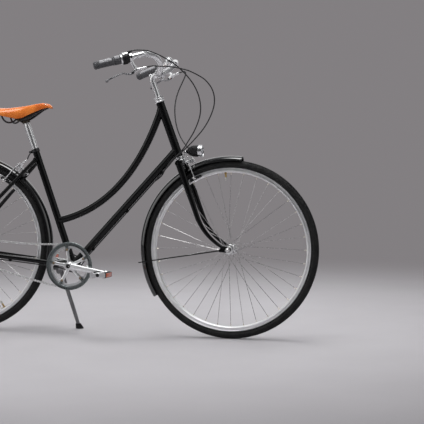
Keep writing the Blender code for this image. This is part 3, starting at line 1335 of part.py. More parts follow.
def pedal_spindle(side, angle):
    end = around(BRACKET, CRANK_LENGTH, angle)
    start = PEDAL_CENTRE_OUT - 0.003
    collar = PEDAL_CENTRE_OUT + PEDAL_FIRST - GAP
    stop = PEDAL_CENTRE_OUT + PEDAL_FIRST + PEDAL_WIDTH - 0.006
    profile = [(0.0072, start), (0.0072, collar), (PEDAL_SPINDLE_RADIUS, collar), (PEDAL_SPINDLE_RADIUS, stop)]
    return placed(turned(profile, 12), end, SIDEWAYS * side)


def build_cranks(body, pedal_bodies):
    spider_out = CHAIN_LINE + RING_THICKNESS / 2 + GAP
    spider_top = spider_out + SPIDER_THICKNESS
    pieces = crank_arm(-1, CRANK_ANGLE, RIGHT_BOSS_IN)
    pieces.append(spider(-spider_top, -spider_out))
    pieces.append(pedal_spindle(-1, CRANK_ANGLE))
    bore = placed(disc(SPINDLE_RADIUS + GAP, -0.1, 0.1, 14), BRACKET, SIDEWAYS)
    part("crank_right", "polished_silver", body, pieces, [bore])
    pieces = crank_arm(1, CRANK_ANGLE + math.pi, LEFT_BOSS_IN) + [pedal_spindle(1, CRANK_ANGLE + math.pi)]
    spindle = [(0.0070, -SPINDLE_END), (SPINDLE_RADIUS, -SPINDLE_END + 0.001), (SPINDLE_RADIUS, SPINDLE_END)]
    pieces.append(placed(turned(spindle, 14), BRACKET, SIDEWAYS))
    part("crank_left", "polished_silver", body, pieces)
    around_axle = Vector((math.cos(CRANK_ANGLE), 0.0, math.sin(CRANK_ANGLE)))
    near = CHAIN_LINE - RING_THICKNESS / 2
    ring = flat_ring(toothed_outline(RING_TEETH), tabbed_outline(RING_BORE), near, near + RING_THICKNESS)
    part("chainring", "brushed_steel", body, [placed(ring, BRACKET, -SIDEWAYS, around_axle)])
    near = spider_top + GAP
    guard = flat_ring(circle_outline(GUARD_RING_RADIUS, 36), tabbed_outline(GUARD_RING_BORE), near,
                      near + GUARD_RING_THICKNESS)
    part("chain_guard_ring", "polished_silver", body, [placed(guard, BRACKET, -SIDEWAYS, around_axle)])
    for side, word, angle in ((-1, "right", CRANK_ANGLE), (1, "left", CRANK_ANGLE + math.pi)):
        build_pedal(side, word, angle, pedal_bodies[word])


def build_pedal(side, word, angle, body):
    """A platform pedal: a barrel, two end plates and two rubber blocks."""
    centre = around(BRACKET, CRANK_LENGTH, angle)
    first = PEDAL_CENTRE_OUT + PEDAL_FIRST
    last = first + PEDAL_WIDTH
    pieces = [placed(disc(PEDAL_BARREL_RADIUS, first, last, 12), centre, SIDEWAYS * side)]
    half_long, half_high = PEDAL_LENGTH / 2, PEDAL_HEIGHT / 2
    for start in (first, last - PEDAL_PLATE):
        outs = sorted((side * start, side * (start + PEDAL_PLATE)))
        low = centre + Vector((-half_long + 0.004, outs[0], -half_high + 0.001))
        high = centre + Vector((half_long - 0.004, outs[1], half_high - 0.001))
        pieces.append(box(low, high))
    for end in (-1, 1):
        x_range = sorted((end * (half_long - PEDAL_BLOCK_LENGTH), end * half_long))
        outs = sorted((side * (first + 0.0008), side * (last - 0.0008)))
        low = centre + Vector((x_range[0], outs[0], -half_high))
        high = centre + Vector((x_range[1], outs[1], half_high))
        pieces.append(box(low, high))
    bore = placed(disc(PEDAL_SPINDLE_RADIUS + RUNNING_GAP, first - 0.01, last - 0.004, 12), centre, SIDEWAYS * side)
    part("pedal_" + word, "grip_rubber", body, pieces, [bore])


def build_sprocket(body):
    half = RING_THICKNESS / 2
    cog = flat_ring(toothed_outline(SPROCKET_TEETH), circle_outline(SPROCKET_BORE, 14), -half, half)
    bore = AXLE_RADIUS + RUNNING_GAP
    inner = REAR_SHELL_HALF + RUNNING_GAP
    outer = CHAIN_LINE + 0.006
    driver = placed(sleeve(SPROCKET_BORE + 0.0025, bore, inner, outer, 14), REAR_AXLE, -SIDEWAYS)
    part("rear_sprocket", "brushed_steel", body, [placed(cog, REAR_AXLE - SIDEWAYS * CHAIN_LINE, SIDEWAYS), driver])


# Seat post and saddle

def build_seat_post(body):
    low = SEAT_TUBE_LENGTH - SEAT_POST_INSERTION
    top = SEAT_TUBE_LENGTH + SEAT_POST_TOP
    profile = [(SEAT_POST_RADIUS, low), (SEAT_POST_RADIUS, top - 0.010), (SEAT_POST_NECK, top - 0.002),
               (SEAT_POST_NECK, top + SEAT_POST_NECK_TOP)]
    part("seat_post", "polished_silver", body, [placed(turned(profile, 16), BRACKET, SEAT_UP)])


def build_saddle_clamp(body):
    top = SEAT_TUBE_LENGTH + SEAT_POST_TOP
    ring = placed(disc(SEAT_POST_NECK + 0.0052, top + 0.003, top + 0.023, 14), BRACKET, SEAT_UP)
    centre = on_seat_tube(top + 0.013, -0.006)
    middle = rail_middle()
    bar = placed(disc(0.0085, -SADDLE_RAIL_OUT - 0.006, SADDLE_RAIL_OUT + 0.006, 12), middle, SIDEWAYS)
    link = hulled(circle_points((centre.x, centre.z), 0.0090, -0.012, 0.012, 8)
                  + circle_points((middle.x, middle.z), 0.0080, -0.012, 0.012, 8))
    bolt = placed(disc(0.0050, -SADDLE_RAIL_OUT - 0.0092, SADDLE_RAIL_OUT + 0.0092, 8), middle, SIDEWAYS)
    cuts = [placed(disc(SEAT_POST_NECK + GAP, top - 0.03, top + 0.06, 14), BRACKET, SEAT_UP)]
    for side in (-1, 1):
        points = [point for point in smooth_points(rail_points(side), RAIL_STEPS) if abs(point.x - middle.x) < 0.04]
        cuts.append(swept(points, (SADDLE_RAIL_RADIUS + GAP,) * 2, 8))
    part("saddle_clamp", "spring_steel", body, [ring, link, bar, bolt], cuts)


def rail_middle():
    """The middle of the clamped part of the rails."""
    return on_seat_tube(SEAT_TUBE_LENGTH + SEAT_POST_TOP + SADDLE_CLAMP_UP, -SADDLE_CLAMP_BACK)


# A rail's points ahead of the clamp, out from the middle and up
RAIL_ROUTE = [(0.1080, 0.0080, 0.0460), (0.0920, 0.0110, 0.0400), (0.0600, 0.0165, 0.0190),
              (0.0320, 0.0210, 0.0030), (0.0150, 0.0210, 0.0000), (-0.0120, 0.0210, 0.0000),
              (-0.0230, 0.0245, -0.0075), (-0.0370, 0.0320, -0.0122), (-0.0500, 0.0400, -0.0090),
              (-0.0600, 0.0455, 0.0020), (-0.0660, 0.0490, 0.0160), (-0.0790, 0.0530, 0.0265),
              (-0.1050, 0.0560, 0.0300), (-0.1340, 0.0580, 0.0365)]
# Where the nose piece and the cantle plate start and end behind the nose, and their floors
NOSE_PIECE = (0.019, 0.031)
NOSE_PIECE_FLOOR = 0.0425
CANTLE_PLATE = (0.261, 0.273)
CANTLE_PLATE_FLOOR = 0.0370


def rail_points(side):
    """A saddle rail, from the nose back under the clamp, down round its hook and up to the cantle."""
    return [rail_middle() + Vector((ahead, side * out, up)) for ahead, out, up in RAIL_ROUTE]


# The leather top: distance behind the nose, height of the crest above the rails' middle, half
# width, and how far the skirt hangs below the crest
SADDLE_STATIONS = [(0.000, 0.0526, 0.0110, 0.0080), (0.012, 0.0626, 0.0175, 0.0140), (0.036, 0.0671, 0.0200, 0.0240),
                   (0.062, 0.0641, 0.0215, 0.0310), (0.094, 0.0579, 0.0260, 0.0390), (0.115, 0.0545, 0.0300, 0.0460),
                   (0.136, 0.0516, 0.0375, 0.0476), (0.158, 0.0490, 0.0470, 0.0420), (0.180, 0.0468, 0.0570, 0.0350),
                   (0.207, 0.0466, 0.0690, 0.0275), (0.235, 0.0485, 0.0795, 0.0190), (0.259, 0.0520, 0.0830, 0.0160),
                   (0.276, 0.0500, 0.0780, 0.0150)]
SADDLE_NOSE_AHEAD = 0.1305


def saddle_section(station, share):
    """A point across the leather at a share from -1 to 1 of the way from edge to edge."""
    behind, height, half, hang = station
    turn = abs(share) ** 1.15 * math.pi / 2
    out = half * math.sin(turn) ** 0.9 * (1.0 if share >= 0 else -1.0)
    drop = hang * (1 - math.cos(turn)) ** 1.25
    return rail_middle() + Vector((SADDLE_NOSE_AHEAD - behind, out, height - drop))


def saddle_inside(station, depth):
    """The station's section drawn in by a depth, for the leather's inner face and what it rests on."""
    behind, height, half, hang = station
    return behind, height - depth, half - depth * 0.9, hang - depth * 0.9


def saddle_station(behind):
    """The leather's section between two of the stations."""
    for first, second in zip(SADDLE_STATIONS, SADDLE_STATIONS[1:]):
        if first[0] <= behind <= second[0]:
            t = (behind - first[0]) / (second[0] - first[0])
            return tuple(a + (b - a) * t for a, b in zip(first, second))
    return SADDLE_STATIONS[-1]


def saddle_seat(places, width, floor):
    """A plate that fits under the leather's arch at some places behind the nose, with a flat bottom."""
    points = []
    for behind in places:
        inside = saddle_inside(saddle_station(behind), SADDLE_LEATHER + 2 * GAP)
        arch = [saddle_section(inside, width * (i / 3 - 1)) for i in range(7)]
        points += arch
        level = rail_middle().z + floor
        points += [Vector((point.x, point.y * 0.9, min(level, point.z - 0.001))) for point in (arch[0], arch[-1])]
    return hulled(points)


def build_saddle_leather(body):
    count = 11
    shares = [2 * i / (count - 1) - 1 for i in range(count)]
    mesh = bmesh.new()
    rings = []
    for station in SADDLE_STATIONS:
        inner_station = saddle_inside(station, SADDLE_LEATHER)
        outer = [mesh.verts.new(saddle_section(station, share)) for share in shares]
        inner = [mesh.verts.new(saddle_section(inner_station, share)) for share in reversed(shares)]
        rings.append(outer + inner)
    ring_faces(mesh, rings, False)
    for ring in (rings[0], rings[-1]):
        for i in range(count - 1):
            mesh.faces.new((ring[i], ring[i + 1], ring[2 * count - 2 - i], ring[2 * count - 1 - i]))
    bmesh.ops.recalc_face_normals(mesh, faces=mesh.faces)
    part("saddle_leather", "tan_leather", body, [mesh])


def build_saddle_rails(body):
    """Two steel rails, joined by the nose piece and by the cantle plate under the leather."""
    pieces = [swept(smooth_points(rail_points(side), RAIL_STEPS), (SADDLE_RAIL_RADIUS,) * 2, 6) for side in (-1, 1)]
    pieces.append(saddle_seat(NOSE_PIECE, 0.7, NOSE_PIECE_FLOOR))
    pieces.append(saddle_seat(CANTLE_PLATE, 0.72, CANTLE_PLATE_FLOOR))
    part("saddle_rails", "spring_steel", body, pieces)


def build_seat_clamp(body):
    low = SEAT_TUBE_LENGTH - SEAT_CLAMP_HEIGHT
    bolt = on_seat_tube(SEAT_TUBE_LENGTH - SEAT_CLAMP_HEIGHT * 0.45, -SEAT_CLAMP_BOLT_BACK)
    ring = placed(disc(SEAT_CLAMP_RADIUS, low, SEAT_TUBE_LENGTH + 0.001, 16), BRACKET, SEAT_UP)
    ears = box(bolt - Vector((0.004, 0.006, 0.0048)), bolt + Vector((0.008, 0.006, 0.0048)))
    pin = placed(disc(0.0028, -0.011, 0.011, 8), bolt, SIDEWAYS)
    head = placed(disc(0.0046, -0.0135, -0.0085, 8), bolt, SIDEWAYS)
    hole = placed(disc(SEAT_TUBE_RADIUS + GAP, low - 0.01, SEAT_TUBE_LENGTH + 0.01, 16), BRACKET, SEAT_UP)
    part("seat_clamp", "spring_steel", body, [ring, ears, pin, head], [hole])


# Side stand

def world_to_bicycle(point):
    """A point of the floor, measured from under the bottom bracket, in the leaning bicycle's frame."""
    turned_back = Matrix.Rotation(LEAN, 4, "X")
    return turned_back @ point


def stand_points():
    """The stand's pivot, its bend, the middle of its sole and the floor's upward direction."""
    sole = world_to_bicycle(Vector((STAND_FOOT_X, STAND_REACH, tyre_touch())))
    return Vector(STAND_PIVOT), Vector(STAND_BEND), sole, world_to_bicycle(Vector((0, 0, 1)))


def tyre_touch():
    """How far the leaning tyre's lowest point lies below its upright place."""
    return -TYRE_SECTION * (1 - math.cos(LEAN))


def stand_axis():
    pivot, _, sole, _ = stand_points()
    down = (sole - pivot).normalized()
    return down.cross(Vector(STAND_FOLDED_WAY).normalized()).normalized()


def build_stand(frame_body, leg_body):
    pivot, bend, sole, up = stand_points()
    axis = stand_axis()
    half = STAND_EYE_HALF
    start, waist, _ = chain_stay_points(1)
    back = Vector((waist.x - start.x, 0, waist.z - start.z)).normalized()
    square = SIDEWAYS.cross(back)
    centre = BRACKET + back * (pivot.x / back.x)
    face = CHAIN_STAY_TALL * math.cos(math.pi / CHAIN_STAY_SIDES) + GAP

    def plate(low, high, right, left):
        return hulled([centre + back * a + square * b + SIDEWAYS * c for a in (-0.016, 0.014) for b in (low, high)
                       for c in (right, left)])

    pieces = [plate(-face - STAND_BLOCK, -face, -STAND_BLOCK_RIGHT, STAND_BLOCK_LEFT),
              plate(face, face + 0.0035, -STAND_PLATE_HALF, STAND_PLATE_HALF)]
    pieces.append(rod(centre - square * (face + 0.010), centre + square * (face + 0.0075), 0.0045, 8))
    pieces.append(rod(pivot - axis * (half + RUNNING_GAP), pivot - axis * (half + 0.012), STAND_EYE_RADIUS, 12))
    pieces.append(rod(pivot - axis * (half + 0.012), pivot + axis * (half + 0.003), STAND_PIN_RADIUS, 10))
    pieces.append(rod(pivot + axis * (half + RUNNING_GAP), pivot + axis * (half + 0.004), 0.0072, 10))
    part("kickstand_bracket", "brushed_steel", frame_body, pieces)
    toward = (sole - bend).normalized()
    leg_end = sole - toward * STAND_FOOT_HEIGHT * 0.55
    route = [pivot, pivot.lerp(bend, 0.5), pivot.lerp(bend, 0.93), bend.lerp(leg_end, 0.10), leg_end]
    eye = rod(pivot - axis * half, pivot + axis * half, STAND_EYE_RADIUS, 12)
    leg = swept(route, (STAND_LEG_RADIUS,) * 2, 10)
    hole = rod(pivot - axis * 0.05, pivot + axis * 0.05, STAND_PIN_RADIUS + RUNNING_GAP, 10)
    part("kickstand_leg", "brushed_steel", leg_body, [eye, leg], [hole])
    neck = sole - toward * STAND_FOOT_HEIGHT
    foot_points = []
    for i in range(12):
        angle = 2 * math.pi * i / 12
        ahead = Vector((math.cos(angle), 0, 0))
        level_side = up.cross(Vector((1, 0, 0))) * math.sin(angle)
        for low in (sole, sole + up * 0.004):
            foot_points.append(low + (ahead + level_side * 0.85) * STAND_FOOT_SOLE)
        foot_points.append(neck + (ahead + level_side) * STAND_FOOT_TOP)
    socket = rod(leg_end + toward * GAP, bend, STAND_LEG_RADIUS + GAP, 12)
    part("kickstand_foot", "tyre_rubber", leg_body, [hulled(foot_points)], [socket])


def lamp_pivot():
    return STEER_FOOT + Vector((LAMP_PIVOT[0], 0, LAMP_PIVOT[1]))


# Lamp and bell

def build_lamp(steer_body, lamp_body):
    centre = STEER_FOOT + Vector((LAMP_CENTRE[0], 0, LAMP_CENTRE[1]))
    half = LAMP_LENGTH / 2
    radius = LAMP_RADIUS
    profile = [(radius * 0.45, -half), (radius * 0.80, -half + 0.007), (radius * 0.93, -half + 0.020),
               (radius * 0.96, half - 0.016), (radius, half - 0.013), (radius, half), (radius - LAMP_WALL, half),
               (radius - LAMP_WALL, half - 0.008)]
    pivot = lamp_pivot()
    ear_half = LAMP_EAR_HALF
    ear = hulled(circle_points((pivot.x, pivot.z), 0.0056, -ear_half, ear_half, 10)
                 + circle_points((centre.x - half + 0.006, centre.z - 0.002), 0.0060, -ear_half, ear_half, 8))
    hole = placed(disc(LAMP_PIN_RADIUS + RUNNING_GAP, -0.02, 0.02, 10), pivot, SIDEWAYS)
    part("headlight_shell", "black_plastic", lamp_body,
         [placed(turned(profile, 18), centre, Vector((1, 0, 0))), ear], [hole])
    lens = [(radius - LAMP_WALL - GAP, half - 0.008 + GAP), (radius - LAMP_WALL - GAP, half - 0.002),
            (radius * 0.6, half - 0.002 + LENS_THICKNESS * 0.5), (radius * 0.2, half - 0.002 + LENS_THICKNESS * 0.62)]
    part("headlight_lens", "lamp_glass", lamp_body, [placed(turned(lens, 18), centre, Vector((1, 0, 0)))])
    foot, out, _, _ = caliper_axes("front")
    sheet = LAMP_SHEET
    hold = CROWN_DEPTH + GAP
    ring = placed(disc(0.0085, hold, hold + sheet, 12), foot, out)
    top = pivot + Vector((-0.0020, 0, -0.0100))
    side_step = ear_half + RUNNING_GAP + sheet / 2
    strip = swept([foot + out * (hold + sheet / 2), on_steerer(BRAKE_BOLT_UP + 0.0155, hold + 0.0060), top],
                  (0.0070, sheet / 2), 8, SIDEWAYS)
    pieces = [caliper_bolt("front"), ring, strip]
    for side in (-1, 1):
        outs = (side * (side_step - sheet / 2), side * (side_step + sheet / 2))
        pieces.append(hulled(circle_points((pivot.x, pivot.z), 0.0045, *outs, 10)
                             + circle_points((top.x, top.z), 0.0030, *outs, 8)))
    pieces.append(placed(disc(LAMP_PIN_RADIUS, -side_step - 0.004, side_step + 0.004, 10), pivot, SIDEWAYS))
    part("headlight_bracket", "polished_silver", steer_body, pieces)


def bell_place():
    """The bell's clamp on the left half of the bar, and the bar's direction there."""
    points = bar_line()
    first, second = min(zip(points, points[1:]), key=lambda pair: abs((pair[0].y + pair[1].y) / 2 - BELL_PLACE))
    return first.lerp(second, 0.5), (first - second).normalized()


def bell_dome_foot():
    """The middle of the bell's base, behind the bar and above it."""
    return bell_place()[0] + Vector((-BELL_BACK, 0, BELL_RISE))


def bell_lever_pivot():
    return bell_dome_foot() + Vector((-0.004, 0.009, 0.0))


def build_bell(steer_body, lever_body):
    centre, way = bell_place()
    foot = bell_dome_foot()
    ring = placed(disc(BAR_RADIUS + 0.0034, -0.0060, 0.0060, 12), centre, way)
    base = placed(disc(BELL_RADIUS * 0.88, -BELL_BASE, 0.0005, 14), foot)
    arm = hulled([centre + Vector((x, y, z)) for x, z in ((-0.0085, 0.0090), (-0.0128, 0.0015)) for y in (-0.006, 0.006)]
                 + [foot + Vector((x, y, z)) for x in (0.002, 0.013) for y in (-0.006, 0.006)
                    for z in (-BELL_BASE, -0.0005)])
    dome = [(BELL_RADIUS * 0.97, 0.0), (BELL_RADIUS, 0.003), (BELL_RADIUS * 0.86, 0.0095),
            (BELL_RADIUS * 0.5, BELL_HEIGHT - 0.0015), (0.003, BELL_HEIGHT)]
    pivot = bell_lever_pivot()
    low = -BELL_BASE - RUNNING_GAP
    thick = BELL_LEVER_THICK
    pin = placed(disc(BELL_LEVER_PIN, low - thick - 0.0012, 0.0, 8), pivot)
    cap = placed(disc(BELL_LEVER_PIN + 0.0016, low - thick - 0.0022, low - thick - RUNNING_GAP, 8), pivot)
    hole = placed(disc(BAR_RADIUS + GAP, -0.03, 0.03, 14), centre, way)
    part("bell", "chrome", steer_body, [ring, arm, base, placed(turned(dome, 14), foot), pin, cap], [hole])
    tab = foot + Vector((-0.0190, 0.0150, 0.0))
    flat = []
    for point, radius in ((pivot, 0.0042), (tab, 0.0046)):
        for i in range(8):
            angle = 2 * math.pi * i / 8
            across = Vector((radius * math.cos(angle), radius * math.sin(angle), 0))
            flat += [point + across + Vector((0, 0, low - thick)), point + across + Vector((0, 0, low))]
    drill = placed(disc(BELL_LEVER_PIN + RUNNING_GAP, low - 0.01, low + 0.01, 8), pivot)
    part("bell_lever", "polished_silver", lever_body, [hulled(flat)], [drill])


# Cables

def cable_guides():
    """Each guide's centre, the cable's direction there and the way out of the tube."""
    start, end = down_tube_ends()
    along = (end - start).normalized()
    under = down_tube_under()
    away = DOWN_TUBE_RADIUS + CABLE_RADIUS + CABLE_STAND_OFF
    guides = []
    for share in (0.17, 0.50, 0.83):
        guides.append((start.lerp(end, share) + under * away - SIDEWAYS * SHIFT_CABLE_SIDE, along, under))
    guides.append((start.lerp(end, 0.60) + SIDEWAYS * away, along, SIDEWAYS))
    centre = on_seat_tube(SEAT_TUBE_GUIDE, *SEAT_TUBE_CABLE)
    guides.append((centre, SEAT_UP, (centre - on_seat_tube(SEAT_TUBE_GUIDE)).normalized()))
    stay_start, stay_end = chain_stay_points(-1)[1:]
    along = (stay_end - stay_start).normalized()
    below = under_stay(along)
    guides.append((stay_start.lerp(stay_end, 0.48) + below * stay_cable_drop(), along, below))
    return guides


def under_stay(along):
    """The direction straight down from a stay that runs along a direction."""
    return (along * along.z - Vector((0, 0, 1))).normalized()


def stay_cable_drop():
    """How far the shift cable runs below the chain stay's centre line."""
    return CHAIN_STAY_TALL + CABLE_RADIUS + CABLE_STAND_OFF


def down_tube_ends():
    return on_steerer(HEAD_TUBE_BOTTOM + DOWN_TUBE_HEAD_PLACE), BRACKET.copy()


def down_tube_under():
    """The direction out of the down tube's underside."""
    start, end = down_tube_ends()
    way = (end - start).normalized()
    return Vector((-way.z, 0, way.x))


def sparse_points(points, tolerance):
    """Keeps only the points that a line through the others would miss by more than a tolerance."""
    start, end = points[0], points[-1]
    way = end - start
    worst, farthest = tolerance, 0
    for i, point in enumerate(points[1:-1], 1):
        share = min(max((point - start).dot(way) / way.length_squared, 0.0), 1.0)
        miss = (point - start - way * share).length
        if miss > worst:
            worst, farthest = miss, i
    if not farthest:
        return [start, end]
    return sparse_points(points[:farthest + 1], tolerance)[:-1] + sparse_points(points[farthest:], tolerance)


def cable_points(route):
    """A smooth line through a cable's route, with points only where it bends."""
    return sparse_points(smooth_points(route, 300), CABLE_TOLERANCE)


def build_cable(name, body, points):
    """A cable as a round curve object along its route."""
    curve = bpy.data.curves.new(name, "CURVE")
    curve.dimensions = "3D"
    curve.bevel_depth = CABLE_RADIUS
    curve.bevel_resolution = 2
    curve.use_fill_caps = True
    line = curve.splines.new("POLY")
    line.points.add(len(points) - 1)
    for place, point in zip(line.points, points):
        place.co = (*point, 1.0)
    curve.materials.append(finish("cable_black"))
    cable = bpy.data.objects.new(name, curve)
    bpy.context.scene.collection.objects.link(cable)
    cable.parent = body["empty"]
    cable.matrix_parent_inverse = body["placing"].inverted()


# The loops in front of the bars, as points from the foot of the steering axis
SHIFT_LOOP = [(-0.2371, -0.2175, 0.7864), (-0.2191, -0.2095, 0.7849), (-0.1991, -0.2005, 0.7779),
              (-0.1771, -0.1890, 0.7679), (-0.1551, -0.1760, 0.7564), (-0.1281, -0.1580, 0.7379),
              (-0.1021, -0.1400, 0.7144), (-0.0751, -0.1170, 0.6814), (-0.0571, -0.1000, 0.6504),
              (-0.0451, -0.0830, 0.6134), (-0.0421, -0.0680, 0.5714), (-0.0511, -0.0550, 0.5304),
              (-0.0731, -0.0430, 0.4834), (-0.0991, -0.0340, 0.4444), (-0.1171, -0.0290, 0.4184),
              (-0.1391, -0.0290, 0.3944), (-0.1641, -0.0200, 0.3684)]
REAR_LOOP = [(-0.1731, -0.1870, 0.7249), (-0.1321, -0.1660, 0.7239), (-0.0971, -0.1490, 0.7174),
             (-0.0671, -0.1360, 0.7084), (-0.0251, -0.1140, 0.6854), (-0.0031, -0.1030, 0.6634),
             (0.0099, -0.0940, 0.6404), (0.0159, -0.0850, 0.6104), (0.0109, -0.0730, 0.5754),
             (-0.0091, -0.0610, 0.5304), (-0.0361, -0.0510, 0.4904), (-0.0701, -0.0430, 0.4534),
             (-0.1001, -0.0400, 0.4234), (-0.1331, -0.0400, 0.3934), (-0.1651, -0.0340, 0.3684),
             (-0.1871, -0.0210, 0.3304), (-0.2111, 0.0060, 0.3029), (-0.2587, 0.0195, 0.2784)]
FRONT_LOOP = [(-0.1816, 0.1885, 0.7299), (-0.1741, 0.1830, 0.7239), (-0.1726, 0.1790, 0.7124),
              (-0.1766, 0.1730, 0.6964), (-0.1836, 0.1655, 0.6774), (-0.1916, 0.1510, 0.6484),
              (-0.1946, 0.1320, 0.6204), (-0.1901, 0.1100, 0.5864), (-0.1821, 0.0920, 0.5444),
              (-0.1701, 0.0760, 0.5004), (-0.1531, 0.0630, 0.4604), (-0.1291, 0.0500, 0.4304)]

# The shift cable's turn out from under the chain stay, from the hub gear's box
SHIFT_BOX_TURN = [(0.0660, 0.0218, -0.0485), (0.0430, 0.0118, -0.0350), (0.0270, 0.0045, -0.0150),
                  (0.0120, 0.0005, -0.0015)]
# The turn of the rear brake's cable above the bracket shell, from the bracket's centre
BRACKET_TURN = [(0.0300, 0.0210, 0.0430), (0.0020, 0.0215, 0.0370), (-0.0190, 0.0205, 0.0560)]
# Its loop over the left seat stay, from the end at the rear caliper
REAR_CALIPER_LOOP = [(0.0760, -0.0060, -0.0600), (0.0655, 0.0050, -0.0230), (0.0555, 0.0095, 0.0090),
                     (0.0390, 0.0100, 0.0310), (0.0200, 0.0070, 0.0340), (0.0075, 0.0030, 0.0190)]


def shift_cable_points():
    start, end = down_tube_ends()
    under = down_tube_under() * (DOWN_TUBE_RADIUS + CABLE_RADIUS + CABLE_STAND_OFF)
    aside = SIDEWAYS * SHIFT_CABLE_SIDE
    outlet, way = shifter_outlet()
    route = [outlet + way * 2 * GAP, outlet + way * 0.018]
    route += [STEER_FOOT + Vector(p) for p in SHIFT_LOOP]
    route += [start.lerp(end, share) + under - aside for share in (0.12, 0.14, 0.20, 0.36, 0.64, 0.80, 0.86, 0.90)]
    route.append(BRACKET + Vector((0.010, -0.0100, -BRACKET_SHELL_RADIUS - CABLE_RADIUS - CABLE_STAND_OFF)))
    _, waist, stay_end = chain_stay_points(-1)
    along = (stay_end - waist).normalized()
    drop = under_stay(along) * stay_cable_drop()
    route.append(waist + drop + Vector((0.042, 0.0015, -0.0070)))
    route += [waist.lerp(stay_end, share) + drop for share in (0.06, 0.20, 0.36, 0.52, 0.68)]
    entry = shift_box_entry()
    route += [entry + Vector(p) for p in SHIFT_BOX_TURN] + [entry]
    return cable_points(route)


def rear_cable_points():
    start, end = down_tube_ends()
    forward = -grip_way(-1)
    exit_point = lever_cable_exit(-1)
    beside = SIDEWAYS * (DOWN_TUBE_RADIUS + CABLE_RADIUS + CABLE_STAND_OFF)
    route = [exit_point + forward * GAP, exit_point + forward * 0.022]
    route += [STEER_FOOT + Vector(p) for p in REAR_LOOP]
    route += [start.lerp(end, share) + beside for share in (0.36, 0.50, 0.56, 0.64, 0.78, 0.87)]
    route += [BRACKET + Vector(p) for p in BRACKET_TURN]
    route += [on_seat_tube(up, *SEAT_TUBE_CABLE) for up in (0.10, 0.16, 0.22, 0.28, 0.33)]
    caliper = caliper_cable_end("rear")
    route += [caliper + Vector(p) for p in REAR_CALIPER_LOOP]
    route.append(caliper)
    return cable_points(route)


def front_cable_points():
    forward = -grip_way(1)
    exit_point = lever_cable_exit(1)
    end = caliper_cable_end("front")
    route = [exit_point + forward * GAP, exit_point + forward * 0.008]
    route += [STEER_FOOT + Vector(p) for p in FRONT_LOOP]
    route += [end + STEER_UP * 0.012, end]
    return cable_points(route)


def build_cables(frame_body, steer_body):
    build_cable("shift_cable", frame_body, shift_cable_points())
    build_cable("rear_brake_cable", frame_body, rear_cable_points())
    build_cable("front_brake_cable", steer_body, front_cable_points())


# The whole bicycle

def clear_scene():
    for thing in list(bpy.data.objects):
        bpy.data.objects.remove(thing)


def bicycle_root():
    """The empty that leans the bicycle to its left and centres its box on the world's origin."""
    empty = bpy.data.objects.new("bicycle", None)
    bpy.context.scene.collection.objects.link(empty)
    front = FRONT_AXLE.x + TYRE_RADIUS
    back = REAR_AXLE.x - GUARD_OUTER
    bar_height = bar_side(BAR_END, 1).z
    empty.rotation_euler = (-LEAN, 0.0, 0.0)
    empty.location = (-(front + back) / 2, -bar_height * math.sin(LEAN), -tyre_touch())
    return {"empty": empty, "placing": Matrix.Identity(4)}


def main():
    clear_scene()
    frame = bicycle_root()
    steering = axis_empty("steering_axis", frame, on_steerer(FORK_LENGTH), STEER_UP)
    front_wheel = axis_empty("front_wheel_axis", steering, FRONT_AXLE, SIDEWAYS)
    rear_wheel = axis_empty("rear_wheel_axis", frame, REAR_AXLE, SIDEWAYS)
    sprocket = axis_empty("sprocket_axis", frame, REAR_AXLE, SIDEWAYS)
    crank = axis_empty("crank_axis", frame, BRACKET, SIDEWAYS)
    pedals = {"right": axis_empty("pedal_right_axis", crank, around(BRACKET, CRANK_LENGTH, CRANK_ANGLE), SIDEWAYS),
              "left": axis_empty("pedal_left_axis", crank, around(BRACKET, CRANK_LENGTH, CRANK_ANGLE + math.pi),
                                 SIDEWAYS)}
    levers = {}
    for side, word in ((-1, "right"), (1, "left")):
        _, pivot, _, pin = lever_frame(side)
        levers[word] = axis_empty("brake_lever_" + word + "_axis", steering, pivot, pin)
    twist = axis_empty("shifter_axis", steering, on_grip(-1, RIGHT_GRIP_LENGTH), -grip_way(-1))
    arms = {}
    for which, holder in (("front", steering), ("rear", frame)):
        foot, out, _, _ = caliper_axes(which)
        arms[which] = {word: axis_empty(f"{which}_brake_arm_{word}_axis", holder, foot, out)
                       for word in ("right", "left")}
    seat = axis_empty("seat_post_axis", frame, on_seat_tube(SEAT_TUBE_LENGTH), SEAT_UP)
    stand = axis_empty("kickstand_axis", frame, Vector(STAND_PIVOT), stand_axis())
    lamp = axis_empty("headlight_axis", steering, lamp_pivot(), SIDEWAYS)
    bell = axis_empty("bell_lever_axis", steering, bell_lever_pivot(), Vector((0, 0, 1)))

    build_frame(frame)
    build_headset(frame)
    build_bottom_bracket(frame)
    build_seat_clamp(frame)
    build_rear_guard(frame)
    build_axle("rear_axle", frame, REAR_AXLE, REAR_HUB_WIDTH, CHAIN_LINE + 0.006)
    build_chain(frame)
    build_caliper("rear", frame, arms["rear"])
    build_stand(frame, stand)
    build_seat_post(seat)
    build_saddle_clamp(seat)
    build_saddle_rails(seat)
    build_saddle_leather(seat)
    build_fork(steering)
    build_stem(steering)
    build_handlebar(steering)
    build_grips(steering, twist)
    for side, word in ((-1, "right"), (1, "left")):
        build_brake_lever(side, word, steering, levers[word])
    build_front_guard(steering)
    build_axle("front_axle", steering, FRONT_AXLE, FRONT_HUB_WIDTH, FRONT_SHELL_HALF)
    build_caliper("front", steering, arms["front"])
    build_lamp(steering, lamp)
    build_bell(steering, bell)
    build_cables(frame, steering)
    build_wheel("front", front_wheel, FRONT_AXLE)
    build_wheel("rear", rear_wheel, REAR_AXLE)
    build_sprocket(sprocket)
    build_cranks(crank, pedals)


main()
